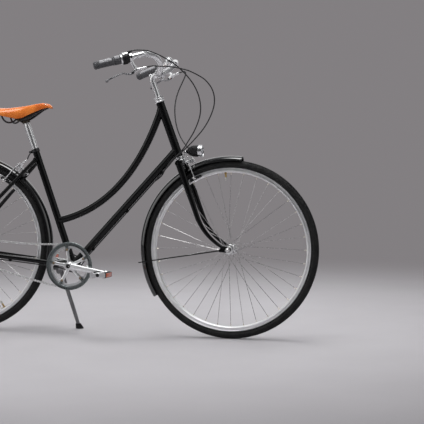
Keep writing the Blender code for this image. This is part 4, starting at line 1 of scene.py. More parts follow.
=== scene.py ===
"""A step-through city bicycle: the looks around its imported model.

Lengths are in metres. Pieces are made upright in the bicycle's own frame: X forward, Y to the
rider's left, Z up, from the floor under the bottom bracket. LEANING then puts them in the
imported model's frame, where the bicycle leans on its side stand.
"""
import json
import math

import bmesh
import bpy
from mathutils import Matrix, Vector


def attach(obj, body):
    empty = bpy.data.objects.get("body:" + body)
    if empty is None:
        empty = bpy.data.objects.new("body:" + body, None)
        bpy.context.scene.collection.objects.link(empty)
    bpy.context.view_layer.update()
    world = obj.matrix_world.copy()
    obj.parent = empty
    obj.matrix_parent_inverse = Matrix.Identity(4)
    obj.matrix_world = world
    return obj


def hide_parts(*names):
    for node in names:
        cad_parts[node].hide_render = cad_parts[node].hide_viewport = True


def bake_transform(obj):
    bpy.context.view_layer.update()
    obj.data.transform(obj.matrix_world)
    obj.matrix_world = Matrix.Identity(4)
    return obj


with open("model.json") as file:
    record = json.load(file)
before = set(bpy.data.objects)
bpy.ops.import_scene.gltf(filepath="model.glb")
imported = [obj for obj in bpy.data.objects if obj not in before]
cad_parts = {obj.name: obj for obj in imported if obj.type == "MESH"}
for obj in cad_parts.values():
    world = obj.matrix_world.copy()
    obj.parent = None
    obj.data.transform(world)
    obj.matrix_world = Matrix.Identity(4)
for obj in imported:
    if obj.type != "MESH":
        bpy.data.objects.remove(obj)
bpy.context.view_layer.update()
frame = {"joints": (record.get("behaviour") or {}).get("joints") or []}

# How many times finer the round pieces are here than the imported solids
FINER = 3

# Stance on the floor
LEAN = math.radians(2.5)
STAND_REACH = 0.122
STAND_FOOT_X = -0.013

# Fits
GAP = 0.0003
RUNNING_GAP = 0.0004

# Wheels
TYRE_RADIUS = 0.347
TYRE_SECTION = 0.0185
RIM_WALL_TOP = 0.3168
RIM_FLOOR = 0.3118
RIM_INNER = 0.2993
RIM_HALF_WIDTH = 0.0120
RIM_WALL = 0.0020
AXLE_RADIUS = 0.0048
AXLE_NUT_RADIUS = 0.0098
AXLE_NUT_WIDTH = 0.0090
AXLE_CONE_RADIUS = 0.0078
SHIFT_BOX_RADIUS = 0.0125
SHIFT_BOX_LENGTH = 0.0240
FRONT_HUB_WIDTH = 0.100
REAR_HUB_WIDTH = 0.130
FRONT_FLANGE_RADIUS = 0.0210
FRONT_FLANGE_PLACE = 0.0310
FRONT_SHELL_RADIUS = 0.0145
FRONT_SHELL_HALF = 0.0415
REAR_FLANGE_RADIUS = 0.0370
REAR_FLANGE_PLACE = 0.0290
REAR_SHELL_RADIUS = 0.0280
REAR_SHELL_HALF = 0.0405
FLANGE_HALF = 0.0017
SPOKES_A_SIDE = 18
SPOKE_CROSSING_TURN = math.radians(60)
SPOKE_SPREAD = 0.0022
SPOKE_HOLE_INSET = 0.0030
SPOKE_RIM_SPREAD = 0.0025

# Frame layout
WHEELBASE = 1.094
REAR_CENTRE = 0.451
BRACKET_HEIGHT = 0.270
HEAD_ANGLE = math.radians(69.5)
FORK_RAKE = 0.0725
FORK_LENGTH = 0.397
HEAD_TUBE_LENGTH = 0.2275
SEAT_ANGLE = math.radians(70.3)
SEAT_TUBE_LENGTH = 0.491

# Frame tubes
HEAD_TUBE_RADIUS = 0.0168
SEAT_TUBE_RADIUS = 0.0143
CURVED_TUBE_RADIUS = 0.0143
DOWN_TUBE_RADIUS = 0.0159
BRACKET_SHELL_RADIUS = 0.0200
BRACKET_SHELL_HALF = 0.0340
BRACKET_SHELL_BORE = 0.0172
CHAIN_STAY_WIDE = 0.0070
CHAIN_STAY_TALL = 0.0095
CHAIN_STAY_SIDES = 8
SEAT_STAY_RADIUS = 0.0078
BRIDGE_RADIUS = 0.0060
DROPOUT_THICKNESS = 0.0055
DOWN_TUBE_HEAD_PLACE = 0.0300
CURVED_TUBE_HEAD_INSET = 0.0190
CURVED_TUBE_HEAD_SLOPE = math.radians(71.9)
CURVED_TUBE_HEAD_PULL = 0.2095
CURVED_TUBE_SEAT_PLACE = 0.1890
CURVED_TUBE_SEAT_SLOPE = math.radians(12.4)
CURVED_TUBE_SEAT_PULL = 0.2400
SEAT_STAY_TOP_PLACE = 0.4480
SEAT_STAY_TOP_OUT = 0.0240
SEAT_STAY_END = (0.006, 0.038)
CHAIN_STAY_END = (0.026, -0.029)
CHAIN_STAY_WAIST = (-0.085, 0.0108)
CHAIN_STAY_WAIST_OUT = 0.0345
BRAKE_BRIDGE_FROM_AXLE = 0.3810
CHAIN_STAY_BRIDGE_X = -0.0880

# Headset and fork
STEERER_RADIUS = 0.0127
STEERER_BORE = 0.0113
CUP_RADIUS = 0.0190
LOWER_CUP_HEIGHT = 0.0090
UPPER_CUP_HEIGHT = 0.0150
CROWN_RACE_HEIGHT = 0.0030
LOCKNUT_HEIGHT = 0.0080
CROWN_HEIGHT = 0.0250
CROWN_DEPTH = 0.0160
CROWN_HALF_WIDTH = 0.0500
BLADE_TOP_OUT = 0.0400
BLADE_TOP_WIDE = 0.0105
BLADE_TOP_DEEP = 0.0140
BLADE_TIP = 0.0064
BLADE_BEND_RADIUS = 0.2240
BLADE_END_SHORT = 0.0200
EYELET_FRONT = (-0.029, -0.003)
EYELET_REAR = (-0.012, 0.024)
EYELET_RADIUS = 0.0055

# Stem and handlebar
STEM_RADIUS = 0.0110
STEM_BOTTOM = 0.5700
STEM_TOP = 0.7430
STEM_EXTENSION = 0.0382
STEM_RISE = 0.0154
CLAMP_RADIUS = 0.0185
CLAMP_HALF = 0.0200
BAR_RADIUS = 0.0111
BAR_STEPS = 140
GRIP_RADIUS = 0.0152
GRIP_CAP = 0.0030
RIGHT_GRIP_LENGTH = 0.0800
TWIST_GRIP_LENGTH = 0.0320
TWIST_GRIP_RADIUS = 0.0170
SHIFTER_LENGTH = 0.0260
SHIFTER_RADIUS = 0.0205
LEFT_GRIP_LENGTH = 0.1200
PERCH_LENGTH = 0.0130
PERCH_RADIUS = 0.0158
LEFT_PERCH_SPACE = 0.0440
LEVER_DROP = 0.0580
LEVER_FORWARD = 0.0095
LEVER_BOSS_RADIUS = 0.0062
LEVER_BOSS_HALF = 0.0045
LEVER_EAR = 0.0025
LEVER_BLADE_HALF = 0.0055
LEVER_BLADE_THICK = 0.0030
LEVER_BALL_RADIUS = 0.0060
LEVER_BARREL_END = 0.0540

# Brakes
BRAKE_BOLT_RADIUS = 0.0030
BRAKE_BOLT_UP = 0.3785
BRAKE_ARM_THICK = 0.0045
FRONT_BRAKE_AHEAD = 0.0360
REAR_BRAKE_AHEAD = 0.0330
BRAKE_ARM_SPACE = 0.0015
BRAKE_HUB_RADIUS = 0.0090
BRAKE_HORN_OUT = 0.0340
BRAKE_HORN_UP = 0.0160
BRAKE_CABLE_UP = 0.0340
BRAKE_ARM_WIDE = 0.0046
BRAKE_SHOULDER_OUT = 0.0365
BRAKE_ARM_OUT = 0.0345
BRAKE_PAD_RADIUS = 0.3100
BRAKE_PAD_LENGTH = 0.0480
BRAKE_PAD_HEIGHT = 0.0096
BRAKE_PAD_DEPTH = 0.0110
BRAKE_PAD_TRAVEL = 0.0026
PAD_STUD_RADIUS = 0.0026

# Mudguards
GUARD_RADIUS = 0.3625
GUARD_SHEET = 0.0015
GUARD_HALF_WIDTH = 0.0235
GUARD_DEPTH = 0.0130
FRONT_GUARD_FROM = math.radians(83)
FRONT_GUARD_TO = math.radians(212)
REAR_GUARD_FROM = math.radians(-8.5)
REAR_GUARD_TO = math.radians(196)
STAY_WIRE = 0.0024
FRONT_STAY_AT = math.radians(189)
REAR_STAY_AT = (math.radians(112), math.radians(168))
STAY_EYE_RADIUS = 0.0060
STAY_EYE_WIDTH = 0.0050

# Drive
CHAIN_LINE = 0.0480
CHAIN_PITCH = 0.0127
RING_TEETH = 44
SPROCKET_TEETH = 20
RING_THICKNESS = 0.0026
RING_BORE = 0.0740
SPROCKET_BORE = 0.0150
TOOTH_HEIGHT = 0.0021
TOOTH_ROOT_DEPTH = 0.0036
CHAIN_HALF_WIDTH = 0.0042
UPPER_RUN_SLACK = math.radians(8.0)
LOWER_RUN_SLACK = math.radians(5.5)
SPIDER_THICKNESS = 0.0036
SPIDER_TIP_PLACE = 0.0650
SPIDER_HUB_RADIUS = 0.0150
GUARD_RING_RADIUS = 0.0950
GUARD_RING_BORE = 0.0800
GUARD_RING_THICKNESS = 0.0022
CRANK_LENGTH = 0.160
CRANK_ANGLE = math.radians(-9)
CRANK_BOSS_RADIUS = 0.0150
CRANK_END_RADIUS = 0.0115
CRANK_END_THICK = 0.0105
RIGHT_BOSS_IN = 0.0515
LEFT_BOSS_IN = 0.0545
CRANK_BOSS_OUT = 0.0700
CRANK_END_IN = 0.0725
SPINDLE_RADIUS = 0.0080
SPINDLE_END = 0.0680
PEDAL_SPINDLE_RADIUS = 0.0050
PEDAL_BARREL_RADIUS = 0.0100
PEDAL_FIRST = 0.0120
PEDAL_WIDTH = 0.0860
PEDAL_LENGTH = 0.0660
PEDAL_HEIGHT = 0.0220
PEDAL_PLATE = 0.0028
PEDAL_BLOCK_LENGTH = 0.0210

# Saddle and seat post
SEAT_POST_RADIUS = 0.0131
SEAT_POST_TOP = 0.1080
SEAT_POST_INSERTION = 0.1100
SEAT_POST_NECK = 0.0109
SEAT_POST_NECK_TOP = 0.0260
SEAT_CLAMP_RADIUS = 0.0166
SEAT_CLAMP_HEIGHT = 0.0120
SEAT_CLAMP_BOLT_BACK = 0.0205
SADDLE_RAIL_RADIUS = 0.0036
SADDLE_RAIL_OUT = 0.0210
SADDLE_LEATHER = 0.0048
SADDLE_CLAMP_BACK = 0.0175
SADDLE_CLAMP_UP = 0.0230

# Side stand
STAND_PIVOT = (-0.066, 0.034, 0.250)
STAND_BEND = (-0.023, 0.062, 0.100)
STAND_LEG_RADIUS = 0.0078
STAND_EYE_RADIUS = 0.0100
STAND_EYE_HALF = 0.0096
STAND_PIN_RADIUS = 0.0042
STAND_FOLDED_WAY = (-0.975, 0.150, 0.030)
STAND_FOOT_HEIGHT = 0.0260
STAND_FOOT_TOP = 0.0105
STAND_FOOT_SOLE = 0.0165
STAND_PLATE_HALF = 0.0400
STAND_BLOCK = 0.0180
STAND_BLOCK_LEFT = 0.0210
STAND_BLOCK_RIGHT = 0.0295

# Lamp and bell
LAMP_CENTRE = (0.4940, 0.7290)
LAMP_RADIUS = 0.0235
LAMP_LENGTH = 0.0640
LAMP_WALL = 0.0018
LAMP_PIVOT = (0.4570, 0.7240)
LAMP_EAR_HALF = 0.0032
LAMP_PIN_RADIUS = 0.0025
LAMP_SHEET = 0.0022
BELL_RADIUS = 0.0172
BELL_HEIGHT = 0.0170
BELL_PLACE = 0.1250
BELL_BACK = 0.0245
BELL_RISE = 0.0125
BELL_BASE = 0.0035
BELL_LEVER_PIN = 0.0016
BELL_LEVER_THICK = 0.0022

# Cables
CABLE_RADIUS = 0.0024
CABLE_STAND_OFF = 0.0012
CABLE_TOLERANCE = 0.0001
SHIFT_CABLE_SIDE = 0.0045
SEAT_TUBE_CABLE = (-0.0060, 0.0172)
SEAT_TUBE_GUIDE = 0.22

# Main points and directions
SIDEWAYS = Vector((0.0, 1.0, 0.0))
UP = Vector((0.0, 0.0, 1.0))
AXLE_HEIGHT = TYRE_RADIUS
REAR_AXLE = Vector((-REAR_CENTRE, 0.0, AXLE_HEIGHT))
FRONT_AXLE = Vector((WHEELBASE - REAR_CENTRE, 0.0, AXLE_HEIGHT))
BRACKET = UP * BRACKET_HEIGHT
STEER_UP = Vector((-math.cos(HEAD_ANGLE), 0.0, math.sin(HEAD_ANGLE)))
STEER_FORWARD = Vector((math.sin(HEAD_ANGLE), 0.0, math.cos(HEAD_ANGLE)))
STEER_FOOT = FRONT_AXLE - STEER_FORWARD * FORK_RAKE
SEAT_UP = Vector((-math.cos(SEAT_ANGLE), 0.0, math.sin(SEAT_ANGLE)))
HEAD_TUBE_BOTTOM = FORK_LENGTH + CROWN_RACE_HEIGHT + LOWER_CUP_HEIGHT + GAP
HEAD_TUBE_TOP = HEAD_TUBE_BOTTOM + HEAD_TUBE_LENGTH
STEERER_TOP = HEAD_TUBE_TOP + UPPER_CUP_HEIGHT + LOCKNUT_HEIGHT
GUARD_OUTER = GUARD_RADIUS + GUARD_SHEET
PEDAL_CENTRE_OUT = CRANK_END_IN + CRANK_END_THICK


def on_steerer(up, forward=0.0, out=0.0):
    """A point by its height along the steering axis, its reach ahead of it and its side."""
    return STEER_FOOT + STEER_UP * up + STEER_FORWARD * forward + SIDEWAYS * out


def on_seat_tube(up, forward=0.0, out=0.0):
    """A point by its height along the seat tube from the bottom bracket."""
    ahead = Vector((math.sin(SEAT_ANGLE), 0.0, math.cos(SEAT_ANGLE)))
    return BRACKET + SEAT_UP * up + ahead * forward + SIDEWAYS * out


def around(centre, radius, angle, out=0.0):
    """A point on a circle in the bicycle's plane, at an angle up from straight ahead."""
    return centre + Vector((radius * math.cos(angle), out, radius * math.sin(angle)))


FRONT_SPIN = next(joint for joint in frame["joints"] if joint["name"] == "front_wheel_spin")
LEAN_ONLY = Matrix.Rotation(-LEAN, 4, "X")
LEANING = Matrix.Translation(Vector(FRONT_SPIN["pos_m"]) - LEAN_ONLY @ FRONT_AXLE) @ LEAN_ONLY


# Mesh helpers

def frame_along(z_axis, x_axis):
    """A rotation whose Z is the given direction, and whose X is near x_axis."""
    z_axis = z_axis.normalized()
    if x_axis is None:
        x_axis = Vector((1, 0, 0)) if abs(z_axis.x) < 0.8 else UP
    y_axis = z_axis.cross(x_axis).normalized()
    x_axis = y_axis.cross(z_axis)
    return Matrix((x_axis, y_axis, z_axis)).transposed().to_4x4()


def placed(mesh, origin, z_axis=UP, x_axis=None):
    """Moves a bmesh made about its own Z to a place and a direction."""
    mesh.transform(Matrix.Translation(origin) @ frame_along(z_axis, x_axis))
    return mesh


def ring_faces(mesh, rings, closed):
    """Joins each ring of vertices to the next one."""
    pairs = list(zip(rings, rings[1:]))
    if closed:
        pairs.append((rings[-1], rings[0]))
    for first, second in pairs:
        count = len(first)
        for i in range(count):
            j = (i + 1) % count
            mesh.faces.new((first[i], first[j], second[j], second[i]))


def skinned(rings, closed=False):
    """A mesh over rings of points, each joined to the next, with its ends filled in unless it is closed."""
    mesh = bmesh.new()
    rings = [[mesh.verts.new(point) for point in ring] for ring in rings]
    ring_faces(mesh, rings, closed)
    if not closed:
        mesh.faces.new(rings[0])
        mesh.faces.new(rings[-1])
    bmesh.ops.recalc_face_normals(mesh, faces=mesh.faces)
    return mesh


def turned(profile, sides, ring=False, flutes=0, depth=0.0):
    """Turns (radius, height) points about Z; a ring's profile closes on itself.

    With flutes, a third value in each point says what share of their depth it has.
    """
    rings = []
    for radius, height, *share in profile:
        ring_points = []
        for i in range(sides * FINER):
            turn = 2 * math.pi * i / (sides * FINER)
            reach = radius + depth * share[0] * math.cos(flutes * turn) if share else radius
            ring_points.append((reach * math.cos(turn), reach * math.sin(turn), height))
        rings.append(ring_points)
    return skinned(rings, ring)


def mirrored(half):
    """The other half of a profile that is the same both ways from its middle."""
    return [(radius, -out) for radius, out in reversed(half)]


def lathe(profile, sides, centre, way=UP, ahead=None, ring=False):
    """A turned body about a direction from a centre."""
    return placed(turned(profile, sides, ring), centre, way, ahead)


def profile_on(radius, foot, *steps):
    """Points of a profile as shares of a radius and millimetres above a foot."""
    return [(radius * share, foot + above / 1000) for share, above in steps]


def mm(*points):
    """Points of a small profile, given in millimetres."""
    return [(radius / 1000, height / 1000) for radius, height in points]


def disc(radius, low, high, sides):
    """A plain round bar about Z."""
    return turned([(radius, low), (radius, high)], sides)


def sleeve(outer, bore, low, high, sides):
    """A round tube about Z."""
    return turned([(outer, low), (outer, high), (bore, high), (bore, low)], sides, ring=True)


def swept(points, sizes, sides, across=None):
    """Sweeps an oval along points; sizes are half widths (across, other) at each point."""
    rings = []
    side = None
    last = None
    for i, point in enumerate(points):
        along = (points[min(i + 1, len(points) - 1)] - points[max(i - 1, 0)]).normalized()
        if across is not None:
            side = (across - along * across.dot(along)).normalized()
        elif side is None:
            side = along.orthogonal().normalized()
        else:
            side = (last.rotation_difference(along) @ side).normalized()
        up = side.cross(along)
        last = along
        half_a, half_b = sizes[i] if isinstance(sizes, list) else sizes
        turns = [2 * math.pi * (k + 0.5) / (sides * FINER) for k in range(sides * FINER)]
        rings.append([point + side * half_a * math.cos(turn) + up * half_b * math.sin(turn)
                      for turn in turns])
    return skinned(rings)


def rod(start, end, radius, sides):
    return swept([Vector(start), Vector(end)], (radius, radius), sides)


def hulled(points):
    """The convex body around a set of points."""
    mesh = bmesh.new()
    for point in points:
        mesh.verts.new(point)
    result = bmesh.ops.convex_hull(mesh, input=mesh.verts)
    spare = set(result["geom_interior"]) | set(result["geom_unused"])
    bmesh.ops.delete(mesh, geom=[v for v in spare if isinstance(v, bmesh.types.BMVert)], context="VERTS")
    bmesh.ops.dissolve_limit(mesh, angle_limit=0.001, verts=mesh.verts, edges=mesh.edges)
    bmesh.ops.recalc_face_normals(mesh, faces=mesh.faces)
    return mesh


def circle_points(centre, radius, out_from, out_to, sides):
    """Points of a short round bar that lies across the bicycle."""
    points = []
    for i in range(sides * 2):
        angle = 2 * math.pi * i / (sides * 2)
        for out in (out_from, out_to):
            points.append(Vector((centre[0] + radius * math.cos(angle), out,
                                  centre[1] + radius * math.sin(angle))))
    return points


def extruded(outline, out_from, out_to):
    """A flat plate across the bicycle, from the (x, z) points of its outline."""
    return skinned([[(x, out, z) for x, z in outline] for out in (out_from, out_to)])


def box(low, high):
    return hulled([Vector((x, y, z)) for x in (low[0], high[0]) for y in (low[1], high[1])
                   for z in (low[2], high[2])])


# How thick a pad is, and how far its edge lies inside the bar that it is on
PAD_DEPTH = 0.0022
PAD_SINK = 0.0007


def pad_over(radius, first, last, half_turn, rise, ribs=0.0, rib_step=0.004):
    """A raised pad with soft edges on a round bar about Z, centred on X."""
    rows, columns = 48, 24
    mesh = bmesh.new()
    layers = []
    for depth in (0.0, PAD_DEPTH):
        layer = []
        for i in range(rows + 1):
            share = i / rows
            height = first + (last - first) * share
            ends = min(1.0, 9 * share, 9 * (1 - share)) ** 0.5
            row = []
            for k in range(columns + 1):
                aside = 2 * k / columns - 1
                lift = rise * ends * (1 - aside ** 6) ** 0.5
                wave = math.cos(2 * math.pi * (height - first) / rib_step)
                if not depth:
                    lift += ribs * ends * (1 - aside ** 4) * wave
                reach = radius - PAD_SINK + (lift if not depth else -depth)
                turn = half_turn * aside
                row.append(mesh.verts.new((reach * math.cos(turn), reach * math.sin(turn), height)))
            layer.append(row)
        layers.append(layer)
    for layer in layers:
        for first_row, second_row in zip(layer, layer[1:]):
            for k in range(columns):
                mesh.faces.new((first_row[k], first_row[k + 1], second_row[k + 1], second_row[k]))
    edges = [layer[0] + [row[-1] for row in layer[1:-1]] + layer[-1][::-1]
             + [row[0] for row in layer[-2:0:-1]] for layer in layers]
    ring_faces(mesh, edges, False)
    bmesh.ops.recalc_face_normals(mesh, faces=mesh.faces)
    return mesh


def lengths_along(points):
    """How far along a line each of its points lies."""
    lengths = [0.0]
    for a, b in zip(points, points[1:]):
        lengths.append(lengths[-1] + (b - a).length)
    return lengths


def limb(route, sizes, steps, sides, across=None):
    """A smooth tapering body with rounded ends; its half widths are given at the route's points."""
    route = [Vector(point) for point in route]
    points = smooth_points(route, steps)
    lengths = lengths_along(route)
    widths = []
    k = 1
    for i in range(steps):
        want = lengths[-1] * i / (steps - 1)
        while k < len(lengths) - 1 and lengths[k] < want:
            k += 1
        t = min(max((want - lengths[k - 1]) / (lengths[k] - lengths[k - 1]), 0.0), 1.0)
        t = t * t * (3 - 2 * t)
        widths.append(tuple(a + (b - a) * t for a, b in zip(sizes[k - 1], sizes[k])))
    for end, step in ((0, 1), (-1, -2)):
        way = (points[end] - points[step]).normalized()
        reach = min(widths[end])
        turns = [math.radians(a) for a in (25, 50, 72, 86)]
        tips = [points[end] + way * reach * math.sin(a) for a in turns]
        tip_widths = [tuple(w * math.cos(a) for w in widths[end]) for a in turns]
        if end:
            points, widths = points + tips, widths + tip_widths
        else:
            points, widths = tips[::-1] + points, tip_widths[::-1] + widths
    return swept(points, widths, sides, across)


def dome_profile(radius, height, low, steps):
    """The (radius, height) points of a dome, from its rim to near its top."""
    turns = [math.radians(86) * i / steps for i in range(steps + 1)]
    return [(radius * math.cos(turn), low + height * math.sin(turn)) for turn in turns]


# How many straight steps a smooth curve takes between two points of its route
CURVE_STEPS = 12


def curve_between(a, b, c, d, t):
    """A value at a share of the way from b to c, on the smooth curve through all four."""
    return 0.5 * (2 * b + (c - a) * t + (2 * a - 5 * b + 4 * c - d) * t * t
                  + (3 * b - a - 3 * c + d) * t ** 3)


def curve_corners(values, k):
    """The four values that shape the curve between one of them and the next."""
    return values[max(k - 1, 0)], values[k], values[k + 1], values[min(k + 2, len(values) - 1)]


def smooth_points(route, count):
    """Even points on a smooth curve through a route's own points."""
    dense = [curve_between(*curve_corners(route, i), step / CURVE_STEPS) for i in range(len(route) - 1)
             for step in range(CURVE_STEPS)]
    dense.append(route[-1])
    lengths = lengths_along(dense)
    points = []
    k = 0
    for i in range(count):
        want = lengths[-1] * i / (count - 1)
        while k < len(lengths) - 2 and lengths[k + 1] < want:
            k += 1
        share = (want - lengths[k]) / max(lengths[k + 1] - lengths[k], 1e-9)
        points.append(dense[k].lerp(dense[k + 1], min(share, 1.0)))
    return points


# Materials

LOOKS = {}


def new_material(name, colour, roughness, metallic=0.0, **sockets):
    """A material whose shader has the given colour, roughness and other socket values."""
    material = bpy.data.materials.new(name + "_look")
    material.use_nodes = True
    shader = material.node_tree.nodes["Principled BSDF"]
    shader.inputs["Base Color"].default_value = (*colour, 1.0)
    shader.inputs["Roughness"].default_value = roughness
    shader.inputs["Metallic"].default_value = metallic
    for socket, value in sockets.items():
        shader.inputs[socket.replace("_", " ")].default_value = value
    return material


def noise_field(material, scale, detail=4.0, kind="NOISE"):
    """A noise over the object's own coordinates."""
    nodes, links = material.node_tree.nodes, material.node_tree.links
    place = nodes.new("ShaderNodeTexCoord")
    mapping = nodes.new("ShaderNodeMapping")
    mapping.inputs["Scale"].default_value = (scale, scale, scale)
    links.new(place.outputs["Object"], mapping.inputs["Vector"])
    if kind == "VORONOI":
        field = nodes.new("ShaderNodeTexVoronoi")
        field.feature = "F1"
        field.inputs["Scale"].default_value = 1.0
        links.new(mapping.outputs["Vector"], field.inputs["Vector"])
        return field.outputs["Distance"]
    field = nodes.new("ShaderNodeTexNoise")
    field.inputs["Scale"].default_value = 1.0
    field.inputs["Detail"].default_value = detail
    links.new(mapping.outputs["Vector"], field.inputs["Vector"])
    return field.outputs["Fac"]


def spread(material, field, low, high, socket="Roughness", from_low=0.35, from_high=0.65):
    """Drives one of the shader's numbers by a noise."""
    nodes, links = material.node_tree.nodes, material.node_tree.links
    ramp = nodes.new("ShaderNodeMapRange")
    ramp.inputs["From Min"].default_value = from_low
    ramp.inputs["From Max"].default_value = from_high
    ramp.inputs["To Min"].default_value = low
    ramp.inputs["To Max"].default_value = high
    links.new(field, ramp.inputs["Value"])
    links.new(ramp.outputs["Result"], nodes["Principled BSDF"].inputs[socket])


def tint(material, field, first, second, from_low=0.35, from_high=0.65):
    """Varies the base colour between two colours by a noise."""
    nodes, links = material.node_tree.nodes, material.node_tree.links
    ramp = nodes.new("ShaderNodeValToRGB")
    ramp.color_ramp.elements[0].position = from_low
    ramp.color_ramp.elements[0].color = (*first, 1.0)
    ramp.color_ramp.elements[1].position = from_high
    ramp.color_ramp.elements[1].color = (*second, 1.0)
    links.new(field, ramp.inputs["Fac"])
    links.new(ramp.outputs["Color"], nodes["Principled BSDF"].inputs["Base Color"])


def relief(material, field, strength, distance):
    """Raises the surface a little by a noise."""
    nodes, links = material.node_tree.nodes, material.node_tree.links
    shader = nodes["Principled BSDF"]
    bump = nodes.new("ShaderNodeBump")
    bump.inputs["Strength"].default_value = strength
    bump.inputs["Distance"].default_value = distance
    links.new(field, bump.inputs["Height"])
    if shader.inputs["Normal"].links:
        links.new(shader.inputs["Normal"].links[0].from_socket, bump.inputs["Normal"])
    links.new(bump.outputs["Normal"], shader.inputs["Normal"])


def look_of(name, colour, roughness, metallic=0.0, tints=None, rough=None, bump=None, **sockets):
    """Keeps a material whose colour, roughness and relief vary by noises.

    tints, rough and bump each start with the settings of their noise.
    """
    look = new_material(name, colour, roughness, metallic, **sockets)
    for vary, settings in ((tint, tints), (spread, rough), (relief, bump)):
        if settings:
            vary(look, noise_field(look, *settings[0]), *settings[1:])
    LOOKS[name] = look
    return look


# Paints: the frame's, and the shinier one of the mudguards
look_of("black_paint", (0.0026, 0.0026, 0.0030), 0.42,
        tints=((30,), (0.0014, 0.0014, 0.0016), (0.0026, 0.0026, 0.0029)), rough=((90,), 0.36, 0.50),
        bump=((45, 2.0), 0.02, 0.0004), Coat_Weight=1.0, Coat_Roughness=0.05, Specular_IOR_Level=0.05,
        Coat_IOR=1.30)
look_of("guard_paint", (0.0020, 0.0020, 0.0023), 0.36,
        tints=((30,), (0.0016, 0.0016, 0.0018), (0.0026, 0.0026, 0.0029)),
        rough=((40, 3.0), 0.02, 0.05, "Coat Roughness"), Coat_Weight=1.0, Coat_Roughness=0.03,
        Specular_IOR_Level=0.05, Coat_IOR=1.80)

# Metals
look_of("polished_silver", (0.86, 0.865, 0.87), 0.30, 1.0,
        tints=((20,), (0.84, 0.845, 0.85), (0.89, 0.89, 0.895)), rough=((30, 3.0), 0.28, 0.33))
look_of("chrome", (0.84, 0.85, 0.86), 0.20, 1.0, tints=((20,), (0.82, 0.83, 0.84), (0.87, 0.875, 0.88)),
        rough=((30, 3.0), 0.18, 0.23))
look_of("brushed_steel", (0.58, 0.58, 0.585), 0.36, 1.0,
        tints=((30,), (0.55, 0.55, 0.55), (0.62, 0.62, 0.625)), rough=((40, 3.0), 0.33, 0.40))
look_of("spring_steel", (0.016, 0.016, 0.018), 0.32,
        tints=((80,), (0.010, 0.010, 0.011), (0.026, 0.026, 0.028)), rough=((200,), 0.26, 0.42),
        bump=((700, 3.0), 0.08, 0.0001))
look_of("lever_blade", (0.26, 0.26, 0.27), 0.38, 1.0, tints=((60,), (0.23, 0.23, 0.24), (0.29, 0.29, 0.30)),
        rough=((40, 3.0), 0.34, 0.42))
look_of("spoke", (0.50, 0.49, 0.49), 0.24, 1.0, rough=((300, 4.0), 0.15, 0.32))
look_of("nipple", (0.70, 0.66, 0.58), 0.28, 1.0, rough=((500, 4.0), 0.2, 0.36))
look_of("nut", (0.74, 0.74, 0.74), 0.20, 1.0, tints=((160,), (0.64, 0.63, 0.62), (0.80, 0.80, 0.80)),
        rough=((500, 4.0), 0.14, 0.30))
look_of("bolt", (0.34, 0.27, 0.20), 0.34, 1.0, tints=((400,), (0.26, 0.20, 0.14), (0.42, 0.34, 0.26)),
        rough=((500, 4.0), 0.28, 0.42))
look_of("brass", (0.62, 0.42, 0.16), 0.30, 1.0, tints=((200,), (0.50, 0.33, 0.12), (0.70, 0.50, 0.22)),
        rough=((500, 4.0), 0.22, 0.42))
look_of("chain", (0.74, 0.74, 0.73), 0.30, 0.55, tints=((90,), (0.68, 0.675, 0.66), (0.80, 0.80, 0.80)),
        rough=((260, 4.0), 0.22, 0.36))
look_of("guard_ring", (0.17, 0.19, 0.19), 0.30, 1.0,
        tints=((40,), (0.155, 0.175, 0.175), (0.185, 0.205, 0.205)), rough=((200, 4.0), 0.25, 0.36))
look_of("stand", (0.20, 0.20, 0.205), 0.36, 1.0, tints=((40,), (0.18, 0.18, 0.185), (0.22, 0.22, 0.225)),
        rough=((120, 4.0), 0.30, 0.42))
look_of("lamp_bowl", (0.90, 0.90, 0.91), 0.12, 1.0, rough=((80,), 0.09, 0.16),
        bump=((220, 1.0, "VORONOI"), 0.35, 0.0010))
look_of("saddle_clamp", (0.060, 0.050, 0.038), 0.38, 0.8,
        tints=((160,), (0.045, 0.038, 0.030), (0.085, 0.070, 0.050)), rough=((260, 4.0), 0.32, 0.46))

# Rubber and plastic
look_of("tyre_rubber", (0.010, 0.010, 0.011), 0.66,
        tints=((40,), (0.008, 0.008, 0.0085), (0.015, 0.0148, 0.0145)), rough=((150,), 0.62, 0.84),
        bump=((900, 5.0), 0.20, 0.0003), Specular_IOR_Level=0.25)
look_of("grip_rubber", (0.075, 0.075, 0.080), 0.56,
        tints=((90,), (0.065, 0.065, 0.069), (0.088, 0.088, 0.093)), rough=((300,), 0.52, 0.74),
        bump=((1400, 4.0), 0.22, 0.0002))
# Pale grey for the grips' top pads and end caps: a painted highlight of the light falling on their tops
look_of("grip_painted_highlight", (0.30, 0.30, 0.31), 0.42, tints=((60,), (0.27, 0.27, 0.28), (0.34, 0.34, 0.35)),
        rough=((300,), 0.36, 0.50), bump=((1400, 3.0), 0.10, 0.0001))
look_of("pedal_block", (0.018, 0.018, 0.019), 0.62,
        tints=((90,), (0.013, 0.013, 0.014), (0.026, 0.026, 0.027)), rough=((300,), 0.54, 0.72),
        bump=((1300, 4.0), 0.2, 0.0002))
look_of("black_plastic", (0.009, 0.009, 0.010), 0.36,
        tints=((120,), (0.007, 0.007, 0.008), (0.012, 0.012, 0.013)), rough=((500,), 0.36, 0.54),
        bump=((2200, 2.0, "VORONOI"), 0.12, 0.0001), Specular_IOR_Level=0.3)
look_of("cable_black", (0.014, 0.014, 0.015), 0.36,
        tints=((150,), (0.011, 0.011, 0.012), (0.020, 0.020, 0.021)), rough=((400,), 0.30, 0.46),
        bump=((1500, 2.0), 0.10, 0.0001))
look_of("valve_cap", (0.55, 0.54, 0.50), 0.45, tints=((300,), (0.48, 0.47, 0.44), (0.60, 0.59, 0.55)))
